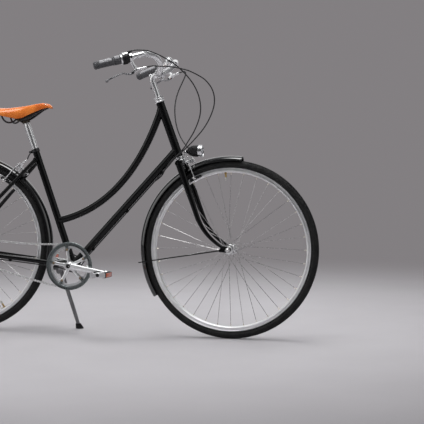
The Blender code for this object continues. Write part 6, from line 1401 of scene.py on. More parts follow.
def guard_mesh(axle, start, end):
    steps = round((end - start) / math.radians(1.5))
    turns = [start + (end - start) * i / steps for i in range(steps + 1)]
    return skinned([[around(axle, radius, turn, out) for out, radius in guard_outline()] for turn in turns])


def guard_tip(axle, start, end):
    """A black cap over a mudguard's end."""
    rings = []
    for i in range(7):
        swell = 0.0011 if i not in (0, 6) else 0.0002
        angle = start + (end - start) * i / 6
        rings.append([around(axle, radius + (swell if k < GUARD_OUTSIDE else -swell), angle, out * 1.02)
                      for k, (out, radius) in enumerate(guard_outline())])
    return skinned(rings)


def stay_wire(axle, eyelet, eye_out, angle):
    """A wire from one eyelet, round the outside of the mudguard, to the other eyelet."""
    clear = GUARD_OUTER + STAY_WIRE + GAP
    side = GUARD_HALF_WIDTH + STAY_WIRE + 0.0012
    reach = (around(axle, GUARD_RADIUS, angle) - eyelet).normalized() * 0.016
    half = [eyelet + SIDEWAYS * eye_out, eyelet + reach + SIDEWAYS * eye_out,
            around(axle, GUARD_RADIUS - GUARD_DEPTH * 1.3, angle, side + 0.0015),
            around(axle, GUARD_RADIUS - GUARD_DEPTH * 0.4, angle, side),
            around(axle, clear - 0.001, angle, side - 0.0045), around(axle, clear, angle, side - 0.012)]
    mirror = [Vector((p.x, -p.y, p.z)) for p in reversed(half)]
    return swept(smooth_points(half[:2], 3)[:-1] + smooth_points(half[1:] + mirror[:-1], 120)
                 + smooth_points(mirror[-2:], 3)[1:], (STAY_WIRE * 0.92,) * 2, 4)


def stay_eye(eyelet, out, side):
    return placed(disc(STAY_EYE_RADIUS, out - STAY_EYE_WIDTH / 2, out + STAY_EYE_WIDTH / 2, 10), eyelet,
                  SIDEWAYS * side)


def build_front_guard(body):
    tab_foot = on_steerer(math.sqrt(GUARD_RADIUS ** 2 - FORK_RAKE ** 2))
    tab_top = on_steerer(FORK_LENGTH - CROWN_HEIGHT - GAP)
    tip = guard_tip(FRONT_AXLE, FRONT_GUARD_FROM, FRONT_GUARD_FROM + 0.012)
    show("front_guard_sheet", "black_paint", body, [guard_mesh(FRONT_AXLE, FRONT_GUARD_FROM, FRONT_GUARD_TO),
                                                    rod(tab_foot, tab_top, 0.007, 16), tip],
         ("front_fender",), material="guard_paint")
    eyelet = FRONT_AXLE + Vector((EYELET_FRONT[0], 0, EYELET_FRONT[1]))
    out = FRONT_HUB_WIDTH / 2 + DROPOUT_THICKNESS + GAP + STAY_EYE_WIDTH / 2
    pieces = [stay_wire(FRONT_AXLE, eyelet, out, FRONT_STAY_AT)]
    pieces += [stay_eye(eyelet, out, side) for side in (-1, 1)]
    show("front_guard_stays", "black_paint", body, pieces, ("front_fender_stays",))


def build_rear_guard(body):
    bridge, _ = brake_bridge_place()
    inward = (REAR_AXLE - bridge).normalized()
    tab_top = bridge + inward * (BRIDGE_RADIUS + GAP)
    tab_foot = REAR_AXLE - inward * GUARD_RADIUS
    show("rear_guard_sheet", "black_paint", body,
         [guard_mesh(REAR_AXLE, REAR_GUARD_FROM, REAR_GUARD_TO), rod(tab_foot, tab_top, 0.006, 16)],
         ("rear_fender",), material="guard_paint")
    eyelet = REAR_AXLE + Vector((EYELET_REAR[0], 0, EYELET_REAR[1]))
    out = REAR_HUB_WIDTH / 2 + DROPOUT_THICKNESS + GAP + STAY_EYE_WIDTH / 2
    pieces = [stay_wire(REAR_AXLE, eyelet, out, angle) for angle in REAR_STAY_AT]
    pieces += [stay_eye(eyelet, out, side) for side in (-1, 1)]
    show("rear_guard_stays", "black_paint", body, pieces, ("rear_fender_stays",))


# Fork, stem and handlebar

def blade_points(side):
    """The centre line of a fork blade: straight down the steering axis, then bent forward."""
    turn = math.acos(1 - FORK_RAKE / BLADE_BEND_RADIUS)
    steps = 24
    flat = [(FORK_LENGTH - CROWN_HEIGHT / 2, 0.0)]
    drop = BLADE_BEND_RADIUS * math.sin(turn)
    last = turn - BLADE_END_SHORT / BLADE_BEND_RADIUS
    for i in range(steps):
        angle = last * i / (steps - 1)
        up = drop - BLADE_BEND_RADIUS * math.sin(angle)
        flat.append((up, BLADE_BEND_RADIUS * (1 - math.cos(angle))))
    top, low = flat[0][0], flat[-1][0]
    tip_out = FRONT_HUB_WIDTH / 2 + DROPOUT_THICKNESS / 2
    points = []
    sizes = []
    for up, forward in flat:
        t = (top - up) / (top - low)
        out = BLADE_TOP_OUT + (tip_out - BLADE_TOP_OUT) * t
        points.append(on_steerer(up, forward, side * out))
        fade = t ** 1.3
        sizes.append((BLADE_TOP_WIDE + (BLADE_TIP - BLADE_TOP_WIDE) * fade, BLADE_TOP_DEEP
                      + (BLADE_TIP - BLADE_TOP_DEEP) * fade))
    return points, sizes


def build_fork(body):
    """Crown, steerer, two curved blades with their dropouts, and the polished race on the crown."""
    pieces = []
    crown_mid = FORK_LENGTH - CROWN_HEIGHT / 2
    wide = CROWN_HALF_WIDTH
    crown = []
    for i in range(20):
        angle = 2 * math.pi * i / 20
        for out, share in ((wide * 0.86, 1.0), (wide * 0.96, 0.90), (wide, 0.72)):
            for side in (-1, 1):
                crown.append(on_steerer(crown_mid + CROWN_HEIGHT / 2 * share * math.sin(angle),
                                        CROWN_DEPTH * share * math.cos(angle), side * out))
    pieces.append(hulled(crown))
    race = FORK_LENGTH + CROWN_RACE_HEIGHT - GAP
    collar = CUP_RADIUS * 0.96
    steerer = [(collar, crown_mid + 0.005), (collar, FORK_LENGTH - 0.0010), (STEERER_RADIUS, FORK_LENGTH),
               (STEERER_RADIUS, HEAD_TUBE_TOP + UPPER_CUP_HEIGHT + 2 * GAP)]
    bore = [(STEM_RADIUS + GAP, HEAD_TUBE_TOP + UPPER_CUP_HEIGHT + 2 * GAP),
            (STEERER_BORE, FORK_LENGTH + 0.02), (0.006, FORK_LENGTH + 0.015), (0.006, crown_mid + 0.005)]
    pieces.append(lathe(steerer + bore, 16, STEER_FOOT, STEER_UP, ring=True))
    tip_in = FRONT_HUB_WIDTH / 2
    axle = (FRONT_AXLE.x, FRONT_AXLE.z)
    for side in (-1, 1):
        points, sizes = blade_points(side)
        route = sparse_points(points, 0.0004)
        thickness = [min(zip(points, sizes), key=lambda pair: (pair[0] - point).length)[1] for point in route]
        pieces.append(limb(route, thickness, 70, 12, SIDEWAYS))
        end = points[-1]
        eyelet = (axle[0] + EYELET_FRONT[0], axle[1] + EYELET_FRONT[1])
        inner, outer = side * tip_in, side * (tip_in + DROPOUT_THICKNESS)
        plate = circle_points(axle, 0.0110, inner, outer, 24)
        plate += circle_points(eyelet, EYELET_RADIUS, inner, outer, 16)
        plate += circle_points((end.x, end.z), BLADE_TIP * 1.2, inner, outer, 16)
        pieces.append(hulled(plate))
    show("fork_blades", "black_paint", body, pieces, ("fork",), edge=0.0006)
    cap = [(CUP_RADIUS * 0.985, FORK_LENGTH - 0.0075), (CUP_RADIUS * 1.02, FORK_LENGTH - 0.0068),
           (CUP_RADIUS * 1.02, FORK_LENGTH - 0.0008), (CUP_RADIUS * 0.98, FORK_LENGTH + 0.0002),
           (STEERER_RADIUS + 0.0035, race - 0.0006), (STEERER_RADIUS + 0.0030, race), (STEERER_RADIUS, race),
           (STEERER_RADIUS, FORK_LENGTH - 0.0075)]
    show("fork_crown_race", "polished_silver", body, [lathe(cap, 20, STEER_FOOT, STEER_UP, ring=True)])


def bar_clamp():
    return on_steerer(STEM_TOP) + Vector((STEM_EXTENSION, 0.0, STEM_RISE))


def build_stem(body):
    """The quill, its forward neck, the split clamp with its bolt, and the bolt in its top."""
    top = on_steerer(STEM_TOP)
    clamp = bar_clamp()
    route = [on_steerer(STEM_BOTTOM), on_steerer(STEM_BOTTOM + 0.06), on_steerer(STEM_TOP - 0.045),
             on_steerer(STEM_TOP - 0.014), top.lerp(clamp, 0.25) - UP * 0.002, top.lerp(clamp, 0.62), clamp]
    wide = STEM_RADIUS
    sizes = [(wide, wide)] * 3 + [(wide * 1.06, wide * 1.04), (wide * 1.12, wide * 1.02), (wide * 1.2, wide),
                                  (wide * 1.35, wide * 1.1)]
    pieces = [limb(route, sizes, 70, 12, SIDEWAYS)]
    half = CLAMP_HALF
    barrel = [(CLAMP_RADIUS - 0.0022, -half), (CLAMP_RADIUS - 0.0005, -half + 0.0012),
              (CLAMP_RADIUS, -half + 0.004), (CLAMP_RADIUS, -0.0016), (CLAMP_RADIUS - 0.0014, -0.0010),
              (CLAMP_RADIUS - 0.0014, 0.0010), (CLAMP_RADIUS, 0.0016), (CLAMP_RADIUS, half - 0.004),
              (CLAMP_RADIUS - 0.0005, half - 0.0012), (CLAMP_RADIUS - 0.0022, half)]
    pieces.append(lathe(barrel, 16, clamp, SIDEWAYS))
    head = mm((5, -20), (7.2, 4), (7.2, 9.8), (6.4, 11.2), (4.2, 11.4), (4, 8))
    pieces.append(lathe(head, 10, on_steerer(STEM_TOP), STEER_UP))
    under = clamp + Vector((0.004, 0, -CLAMP_RADIUS - 0.002))
    pieces.append(limb([under - SIDEWAYS * half * 0.5, under + SIDEWAYS * half * 0.5], [(0.0066, 0.0066)] * 2,
                       6, 8))
    show("stem_quill", "polished_silver", body, pieces, ("stem",), edge=0.0003)
    bolt = [(0.0048, -half * 0.8), (0.0048, -half * 0.68), (0.0030, -half * 0.66), (0.0030, half * 0.7),
            (0.0044, half * 0.7), (0.0044, half * 0.84)]
    show("stem_clamp_bolt", "spring_steel", body, [lathe(bolt, 8, under, SIDEWAYS)])


# The bends of the handlebar's right half from the clamp's centre, and its end
BAR_BENDS = [(0.0000, -0.0210, 0.0000), (0.0045, -0.0360, 0.0045), (0.0110, -0.0540, 0.0115),
             (0.0190, -0.0780, 0.0235), (0.0235, -0.1040, 0.0360), (0.0230, -0.1300, 0.0465),
             (0.0180, -0.1580, 0.0540), (0.0090, -0.1850, 0.0575)]
BAR_END = (-0.1790, -0.2985, 0.0074)
BAR_STRAIGHT = (0.864, 0.431, 0.257)
BAR_STRAIGHT_LENGTH = 0.196


def bar_side(point, side):
    """A point of the right half of the bar, or of the left half mirrored from it."""
    return bar_clamp() + Vector((point[0], -side * point[1], point[2]))


def grip_way(side):
    """The direction along a grip, towards the bar's end."""
    forward, inward, up = BAR_STRAIGHT
    return Vector((-forward, side * inward, -up)).normalized()


def on_grip(side, back_from_end):
    """A point on the grip's axis, measured from the bar's end towards the stem."""
    return bar_side(BAR_END, side) - grip_way(side) * back_from_end


def bar_line():
    """The bar's centre line, from its left end to its right end."""
    half = [bar_side(p, -1) for p in BAR_BENDS] + [on_grip(-1, BAR_STRAIGHT_LENGTH)]
    half += [on_grip(-1, BAR_STRAIGHT_LENGTH * 0.95 * (1 - k / 4))
             for k in range(4)] + [on_grip(-1, GRIP_CAP)]
    other = [Vector((p.x, -p.y, p.z)) for p in half]
    return smooth_points(other[::-1] + [bar_clamp()] + half, BAR_STEPS)


def build_handlebar(body):
    points = smooth_points(bar_line(), 220)
    sizes = []
    for point in points:
        thick = BAR_RADIUS * (1.1 if abs(point.y) < CLAMP_HALF * 1.3 else 1.0)
        sizes.append((thick, thick))
    show("handlebar_tube", "polished_silver", body, [swept(points, sizes, 12)], ("handlebar",))


def grip_body(length):
    """The (radius, height) outline of a grip: a rounded closed end, a waist, end ribs and a flange."""
    wide = GRIP_RADIUS
    profile = [(wide * 0.30, 0.0), (wide * 0.72, 0.0004), (wide * 0.92, 0.0022), (wide, 0.0050),
               (wide, 0.0085), (wide * 0.95, 0.0100), (wide * 0.95, 0.0112)]
    for k in range(3):
        low = 0.0112 + 0.0034 * k
        profile += profile_on(wide, low, (0.985, 0.6), (0.985, 2.2), (0.95, 2.8))
    profile += [(wide * 0.95, length * 0.40), (wide * 0.97, length * 0.60), (wide * 0.96, length - 0.0085),
                (wide * 0.99, length - 0.0070), (wide * 1.06, length - 0.0052),
                (wide * 1.07, length - 0.0022), (wide * 1.02, length - 0.0004), (wide * 0.9, length)]
    return profile


def build_grips(body, twist_body):
    """Black grips with a pale pad on top and pale end caps, both a painted highlight of the overhead light on
    the rubber, the twist grip with its silver ring and its own painted-highlight pad, and the gear shifter.
    """
    for side, name, length in ((-1, "grip_right", RIGHT_GRIP_LENGTH), (1, "grip_left", LEFT_GRIP_LENGTH)):
        end, way = on_grip(side, 0.0), -grip_way(side)
        show(name + "_rubber", "grip_rubber", body, [lathe(grip_body(length), 14, end, way)], (name,))
        # The pale pad along each grip's top, and its pale end cap, are a painted highlight
        pad = pad_over(GRIP_RADIUS, 0.0235, length - 0.009, math.radians(78), 0.0011, 0.00022)
        show(name + "_pad", "grip_rubber", body, [placed(pad, end, way)], material="grip_painted_highlight")
        cap = [(0.0002, -0.0003)] + dome_profile(GRIP_RADIUS * 0.62, -0.0014, 0.0016, 5)[::-1]
        show(name + "_end", "grip_rubber", body, [lathe(cap, 10, end, way)], material="grip_painted_highlight")
    end, way = on_grip(-1, 0.0), -grip_way(-1)
    start = RIGHT_GRIP_LENGTH + GAP
    stop = start + TWIST_GRIP_LENGTH
    wide = TWIST_GRIP_RADIUS - 0.0007
    flutes = [(wide * 0.90, start, 0.0), (wide * 0.97, start + 0.0008, 0.3), (wide, start + 0.0026, 1.0),
              (wide, stop - 0.0100, 1.0), (wide * 0.98, stop - 0.0082, 0.3),
              (wide * 0.98, stop - 0.0068, 0.0)]
    show("twist_grip_rubber", "grip_rubber", twist_body,
         [placed(turned(flutes, 24, False, 15, 0.0007), end, way)], ("shifter_twist_grip",))
    # The pale pad along the twist grip's top is a painted highlight
    pad = pad_over(TWIST_GRIP_RADIUS, start + 0.0030, stop - 0.0105, math.radians(72), 0.0012, 0.00030,
                   0.0036)
    show("twist_grip_painted_highlight", "grip_rubber", twist_body, [placed(pad, end, way)], material="grip_painted_highlight")
    wide = SHIFTER_RADIUS
    collar = profile_on(wide, stop, (0.8, -7), (0.93, -6.6), (0.96, -5), (0.96, -1.2), (0.92, 0))
    show("twist_grip_collar", "polished_silver", twist_body, [lathe(collar, 16, end, way)])
    start = stop + RUNNING_GAP
    stop = start + SHIFTER_LENGTH
    drum = profile_on(wide, start, (0.93, 0), (0.99, 1), (1, 3), (1, 9), (0.97, 9.8), (0.97, 11), (1, 11.8))
    drum += profile_on(wide, stop, (0.99, -4), (0.94, -1.4), (0.84, 0))
    outlet = shifter_outlet()[0]
    root = on_grip(-1, start + SHIFTER_LENGTH * 0.45) + UP * wide * 0.96
    boot = limb([root, root.lerp(outlet, 0.5), outlet], mm((5.6, 5), (5, 4.6), (3.8, 3.8)), 14, 8)
    lobe = limb([on_grip(-1, start + 0.007) - UP * wide * 0.70, on_grip(-1, stop - 0.007) - UP * wide * 0.70],
                [(0.0105, 0.0075)] * 2, 8, 8)
    show("shifter_housing", "black_plastic", body, [lathe(drum, 16, end, way), boot, lobe], ("shifter_body",))
    cover = pad_over(SHIFTER_RADIUS, start + 0.0012, stop - 0.0008, math.radians(44), 0.0036)
    show("shifter_cover", "polished_silver", body, [placed(cover, end, way)])


def shifter_outlet():
    """Where the shift cable leaves the shifter, ahead of its shell, and its direction there."""
    start = RIGHT_GRIP_LENGTH + TWIST_GRIP_LENGTH
    end = on_grip(-1, start + SHIFTER_LENGTH + 0.010) + UP * (SHIFTER_RADIUS + 0.0018)
    return end, -grip_way(-1)


# Brake levers

def perch_place(side):
    """How far from the bar's end the lever's clamp sits."""
    if side < 0:
        return RIGHT_GRIP_LENGTH + TWIST_GRIP_LENGTH + SHIFTER_LENGTH + 3 * GAP + RUNNING_GAP
    return LEFT_GRIP_LENGTH + LEFT_PERCH_SPACE


def lever_frame(side):
    """The lever's pivot, its forward direction along the grip and its pin's direction."""
    base = on_grip(side, perch_place(side) + PERCH_LENGTH / 2)
    forward = -grip_way(side)
    level = Vector((forward.x, forward.y, 0)).normalized()
    pin = Vector((-level.y, level.x, 0))
    pivot = base + level * LEVER_FORWARD - UP * LEVER_DROP
    return base, pivot, level, pin


def lever_point(side, back, drop):
    """A point of the lever, back from its pivot along the level and down from it."""
    _, pivot, level, _ = lever_frame(side)
    return pivot - level * back - UP * drop


# The lever blade: how far back from the pivot, and how far below it
BLADE_ROUTE = [(0.006, 0.0055), (0.023, 0.0062), (0.036, 0.0040), (0.052, 0.0085), (0.074, 0.0195),
               (0.095, 0.0310)]
BLADE_BALL = (0.0990, 0.0350)


def build_brake_lever(side, word, body, lever_body):
    """The clamp band, the cast arm down to the pivot, the cable's barrel, and the lever itself."""
    base, pivot, level, pin = lever_frame(side)
    forward = -grip_way(side)
    start = perch_place(side)
    wide = PERCH_RADIUS
    band = [(wide * 0.86, start), (wide * 0.97, start + 0.0008), (wide, start + 0.0026),
            (wide, start + PERCH_LENGTH - 0.0026), (wide * 0.97, start + PERCH_LENGTH - 0.0008),
            (wide * 0.86, start + PERCH_LENGTH)]
    ear_in = LEVER_BOSS_HALF + RUNNING_GAP
    ear_out = ear_in + LEVER_EAR
    head = pivot + forward * 0.012 + UP * 0.008
    neck_top = base + level * 0.0018 - UP * wide * 0.62
    neck = limb([neck_top, neck_top.lerp(head, 0.45) - level * 0.0014, head],
                mm((6.8, 8.2), (5.6, 6.2), (6.8, 8.8)), 20, 8, pin)
    housing = limb([head - forward * 0.004, head + forward * 0.008, head + forward * 0.022],
                   mm((6.8, 6.6), (6.6, 6.2), (5.2, 5)), 16, 8, pin)
    pieces = [lathe(band, 14, on_grip(side, 0.0), forward), neck, housing]
    for sign in (-1, 1):
        middle = pin * sign * (ear_in + ear_out) / 2
        pieces.append(limb([head + forward * 0.004 + middle, pivot.lerp(head, 0.4) + middle, pivot + middle],
                           [(LEVER_EAR / 2, 0.0066), (LEVER_EAR / 2, 0.0062), (LEVER_EAR / 2, 0.0052)], 14, 6,
                           pin))
    exit_point = lever_cable_exit(side)
    root = head + forward * 0.020
    length = (exit_point - root).length
    barrel = [(0.0046, 0.0), (0.0046, length * 0.18), (0.0036, length * 0.20), (0.0036, length * 0.30),
              (0.0052, length * 0.32), (0.0052, length * 0.66), (0.0042, length * 0.70),
              (0.0042, length * 0.97), (0.0036, length)]
    pieces.append(lathe(barrel, 8, root, exit_point - root))
    show("lever_casting_" + word, "polished_silver", body, pieces, ("lever_body_" + word,), edge=0.0002)
    outer = pin * side
    bolt = mm((4.6, 0), (4.6, 3), (4, 3.6), (2.4, 3.6), (2.2, 1.6))
    screw = base + outer * (wide - 0.0012)
    pivot_head = mm((4, 0), (4, 1), (3, 1.7))
    show("lever_bolts_" + word, "spring_steel", body,
         [lathe(bolt, 6, screw, outer), lathe(pivot_head, 6, pivot + pin * ear_out, pin),
          lathe(pivot_head, 6, pivot - pin * ear_out, -pin)])
    boss = rod(pivot - pin * LEVER_BOSS_HALF, pivot + pin * LEVER_BOSS_HALF, LEVER_BOSS_RADIUS, 10)
    route = [pivot] + [lever_point(side, back, drop) for back, drop in BLADE_ROUTE]
    tip = lever_point(side, *BLADE_BALL)
    thin = (LEVER_BLADE_HALF * 0.70, LEVER_BLADE_THICK * 1.15)
    broad = (LEVER_BLADE_HALF * 1.1, LEVER_BLADE_THICK * 1.05)
    blade = limb(route + [tip], [thin, thin, thin, broad, broad, broad, thin, thin], 70, 12, pin)
    ball = [(LEVER_BALL_RADIUS * math.cos(a), LEVER_BALL_RADIUS * math.sin(a))
            for a in [math.radians(-84 + 14 * k) for k in range(13)]]
    show("brake_blade_" + word, "polished_silver", lever_body, [boss, blade, lathe(ball, 8, tip)],
         ("brake_lever_" + word,), edge=0.0002, material="lever_blade")


def lever_cable_exit(side):
    """The front end of the lever's barrel, where the cable leaves it."""
    _, pivot, _, _ = lever_frame(side)
    return pivot - grip_way(side) * LEVER_BARREL_END + UP * 0.008


# Rim brakes

def caliper_axes(which):
    """The pivot bolt's foot, the bolt's direction, the direction away from the wheel and the axle."""
    if which == "front":
        return on_steerer(BRAKE_BOLT_UP), STEER_FORWARD, STEER_UP, FRONT_AXLE
    bridge, way = brake_bridge_place()
    return bridge, way.cross(SIDEWAYS), way, REAR_AXLE


def caliper_reach(which):
    """How far along its bolt a caliper's first arm starts."""
    return FRONT_BRAKE_AHEAD if which == "front" else REAR_BRAKE_AHEAD


def caliper_cable_end(which):
    """Where the cable's housing meets the adjuster on the caliper's left arm."""
    foot, out, up, _ = caliper_axes(which)
    middle = caliper_reach(which) + BRAKE_ARM_THICK * 1.5 + BRAKE_ARM_SPACE
    return foot + out * middle + up * BRAKE_CABLE_UP + SIDEWAYS * BRAKE_HORN_OUT


def pad_place(which, ahead):
    """How far along the caliper's down direction a pad at a given reach meets the rim."""
    foot, out, up, axle = caliper_axes(which)
    base = foot + out * ahead - axle
    along = base.dot(up)
    square = base.length_squared - BRAKE_PAD_RADIUS ** 2
    return -along + math.sqrt(max(along * along - square, 0.0))


def caliper_bolt(which):
    """The pivot bolt with its nut behind, its spacer and its domed nut in front."""
    thickness = CROWN_DEPTH if which == "front" else BRIDGE_RADIUS
    reach = caliper_reach(which)
    end = reach + 2 * BRAKE_ARM_THICK + BRAKE_ARM_SPACE
    foot, out, _, _ = caliper_axes(which)
    thin = BRAKE_BOLT_RADIUS
    shaft = [(0.0048, -thickness - 0.0056), (0.0055, -thickness - 0.0050), (0.0055, -thickness - GAP),
             (thin, -thickness - GAP), (thin, thickness + GAP), (0.0060, thickness + GAP),
             (0.0060, reach - RUNNING_GAP), (thin, reach - RUNNING_GAP), (thin, end + RUNNING_GAP),
             (0.0064, end + RUNNING_GAP), (0.0064, end + 0.0012), (0.0056, end + 0.0014),
             (0.0056, end + 0.0042), (0.0046, end + 0.0056), (0.0026, end + 0.0064)]
    return lathe(shaft, 8, foot, out)


def caliper_arm(which, index, side):
    """One cast arm: its hub, its shoulder, its leg down to the pad and its horn up to the cable."""
    foot, out, up, _ = caliper_axes(which)
    ahead = caliper_reach(which) + index * (BRAKE_ARM_THICK + BRAKE_ARM_SPACE)
    middle = foot + out * (ahead + BRAKE_ARM_THICK / 2)
    pad_up = pad_place(which, ahead + BRAKE_ARM_THICK / 2)
    thick = BRAKE_ARM_THICK / 2

    def at(sideways, height):
        return middle + SIDEWAYS * side * sideways + up * height

    leg = limb([at(0.0, 0.0), at(BRAKE_SHOULDER_OUT * 0.55, 0.0040), at(BRAKE_SHOULDER_OUT * 0.97, -0.0025),
                at(BRAKE_SHOULDER_OUT + 0.0022, pad_up * 0.35), at(BRAKE_SHOULDER_OUT + 0.0012, pad_up * 0.7),
                at(BRAKE_ARM_OUT, pad_up)],
               [(thick * 1.1, 0.0100), (thick * 1.1, 0.0082), (thick * 1.1, 0.0084), (thick * 1.05, 0.0068),
                (thick, 0.0056), (thick * 1.1, 0.0062)], 48, 10, out)
    hub = [(BRAKE_HUB_RADIUS * 0.86, -thick), (BRAKE_HUB_RADIUS, -thick * 0.7),
           (BRAKE_HUB_RADIUS, thick * 0.7), (BRAKE_HUB_RADIUS * 0.86, thick)]
    horn_up = BRAKE_HORN_UP + 0.006 * index
    horn_out = BRAKE_HORN_OUT - 0.004 * (1 - index)
    horn = limb([at(0.0, 0.0), at(horn_out * 0.45, horn_up * 0.75), at(horn_out, horn_up)],
                [(thick, 0.0080), (thick, 0.0048), (thick * 1.05, 0.0044)], 24, 8, out)
    return [leg, horn, lathe(hub, 10, middle, out)]


def build_pad(which, word, side, index, body):
    """The rubber block in its dark shoe, and the silver stud with its nuts through the arm's eye."""
    foot, out, up, axle = caliper_axes(which)
    ahead = caliper_reach(which) + index * (BRAKE_ARM_THICK + BRAKE_ARM_SPACE)
    middle = ahead + BRAKE_ARM_THICK / 2
    centre = foot + out * middle + up * pad_place(which, middle)
    outward = centre - axle
    outward = Vector((outward.x, 0, outward.z)).normalized()
    tangent = outward.cross(SIDEWAYS)
    outboard = SIDEWAYS * side
    face = RIM_HALF_WIDTH + BRAKE_PAD_TRAVEL

    def shoe(low, high, length, height, taper):
        corners = []
        for depth, share in ((low, 1.0), (high, taper)):
            for a in (-0.5, -0.44, -0.2, 0.2, 0.44, 0.5):
                for b in (-0.5, 0.5):
                    round_end = 0.72 if abs(a) == 0.5 else 1.0
                    bow = outward * -0.0016 * (2 * a) ** 2
                    corners.append(centre + tangent * length * a * share
                                   + outward * height * b * share * round_end + outboard * (face + depth)
                                   + bow)
        return hulled(corners)

    rubber = [shoe(0.0, BRAKE_PAD_DEPTH * 0.58, BRAKE_PAD_LENGTH, BRAKE_PAD_HEIGHT * 1.15, 1.0)]
    show(f"{which}_pad_rubber_{word}", "tyre_rubber", body, rubber, (f"{which}_brake_pad_{word}",),
         edge=0.0006)
    metal = [shoe(BRAKE_PAD_DEPTH * 0.5, BRAKE_PAD_DEPTH, BRAKE_PAD_LENGTH * 0.94, BRAKE_PAD_HEIGHT * 1.12,
                  0.86)]
    show(f"{which}_pad_shoe_{word}", "spring_steel", body, metal, edge=0.0004)
    eye = BRAKE_ARM_WIDE
    stud = [(PAD_STUD_RADIUS, face + 0.006), (PAD_STUD_RADIUS, BRAKE_ARM_OUT + eye + 0.0098),
            (PAD_STUD_RADIUS * 0.7, BRAKE_ARM_OUT + eye + 0.0104)]
    nuts = [lathe(stud, 5, centre, outboard)]
    for low, high in ((BRAKE_ARM_OUT - eye - 0.0022, BRAKE_ARM_OUT - eye - 0.0004),
                      (BRAKE_ARM_OUT + eye + 0.0004, BRAKE_ARM_OUT + eye + 0.0014),
                      (BRAKE_ARM_OUT + eye + 0.0016, BRAKE_ARM_OUT + eye + 0.0066)):
        nuts.append(lathe([(0.0046, low), (0.0052, low + 0.0004), (0.0052, high - 0.0004), (0.0044, high)], 4,
                          centre, outboard))
    show(f"{which}_pad_stud_{word}", "polished_silver", body, nuts, material="nut")


def build_caliper(which):
    up = caliper_axes(which)[2]
    for index, side in enumerate((-1, 1)):
        word = "right" if side < 0 else "left"
        pieces = caliper_arm(which, index, side)
        if side > 0:
            adjuster = caliper_cable_end(which)
            horn_up = BRAKE_HORN_UP + 0.006 * index
            length = BRAKE_CABLE_UP - horn_up
            barrel = [(0.0040, -0.002), (0.0052, 0.0), (0.0052, length * 0.30), (0.0032, length * 0.34),
                      (0.0032, length * 0.60), (0.0042, length * 0.64), (0.0042, length * 0.94),
                      (0.0034, length)]
            pieces.append(lathe(barrel, 8, adjuster - up * length, up))
        body = f"{which}_arm_{word}"
        show(f"{which}_caliper_arm_{word}", "polished_silver", body, pieces, (f"{which}_brake_arm_{word}",),
             edge=0.0002)
        build_pad(which, word, side, index, body)
    if which == "rear":
        show("rear_caliper_bolt", "chrome", "frame", [caliper_bolt(which)], ("rear_brake_bolt",))


# Drive train

LINK_THICK = 0.0010
LINK_END = 0.0042
# How far the inner and the outer plates stand from the chain's middle
LINK_PLACES = (0.0021, 0.0033)
ROLLER_RADIUS = 0.0038


def pitch_radius(teeth):
    return CHAIN_PITCH / (2 * math.sin(math.pi / teeth))


def circle_outline(radius, sides):
    turns = [2 * math.pi * i / sides for i in range(sides)]
    return [(radius * math.cos(turn), radius * math.sin(turn)) for turn in turns]


def toothed_outline(teeth):
    """The outline of a toothed ring, with round roots and narrow rounded teeth."""
    outline = []
    for i in range(8 * teeth):
        crest = 0.5 + 0.5 * math.cos(math.pi * ((i % 8) - 4) / 4)
        out = pitch_radius(teeth) - TOOTH_ROOT_DEPTH + (TOOTH_HEIGHT + TOOTH_ROOT_DEPTH) * crest ** 1.3
        turn = 2 * math.pi * (i / 8) / teeth
        outline.append((out * math.cos(turn), out * math.sin(turn)))
    return outline


def tabbed_outline(bore, tab_radius):
    """The outline of a ring's hole, which comes in smoothly round each of its five bolts."""
    outline = []
    for k in range(360):
        angle = math.radians(k)
        off = k % 72 - 36
        reach = bore
        nearness = abs(math.radians(off)) * SPIDER_TIP_PLACE
        inner = SPIDER_TIP_PLACE - tab_radius
        if nearness < tab_radius:
            reach = SPIDER_TIP_PLACE - math.sqrt(tab_radius ** 2 - nearness ** 2)
        elif nearness < tab_radius * 1.9:
            t = (nearness - tab_radius) / (tab_radius * 0.9)
            reach = SPIDER_TIP_PLACE + (bore - SPIDER_TIP_PLACE) * t * t * (3 - 2 * t)
        outline.append((max(reach, inner) * math.cos(angle), max(reach, inner) * math.sin(angle)))
    return outline


def flat_ring(outer, inner, low, high):
    """A flat plate about Z with a hole in it, from two outlines of (x, y) points."""
    mesh = bmesh.new()
    faces = []
    for height in (low, high):
        loops = [[mesh.verts.new((x, y, height)) for x, y in outline] for outline in (outer, inner)]
        edges = [mesh.edges.new((loop[i - 1], loop[i])) for loop in loops for i in range(len(loop))]
        bmesh.ops.triangle_fill(mesh, use_beauty=True, edges=edges, normal=(0, 0, 1))
        faces.append(loops)
    for first, second in zip(*faces):
        ring_faces(mesh, [first, second], False)
    bmesh.ops.recalc_face_normals(mesh, faces=mesh.faces)
    return mesh


def run_points(start, start_way, end, end_way, count):
    """The inner points of a slack run of chain, which meets both wheels on their tangents."""
    flat_a = Vector((start_way.x, start_way.z))
    flat_b = Vector((end_way.x, end_way.z))
    gap = Vector((end.x - start.x, end.z - start.z))
    reach = gap.cross(flat_b) / flat_a.cross(flat_b)
    corner = start + start_way * reach
    points = []
    for i in range(1, count + 1):
        t = i / (count + 1)
        points.append(start * (1 - t) ** 2 + corner * 2 * t * (1 - t) + end * t * t)
    return points


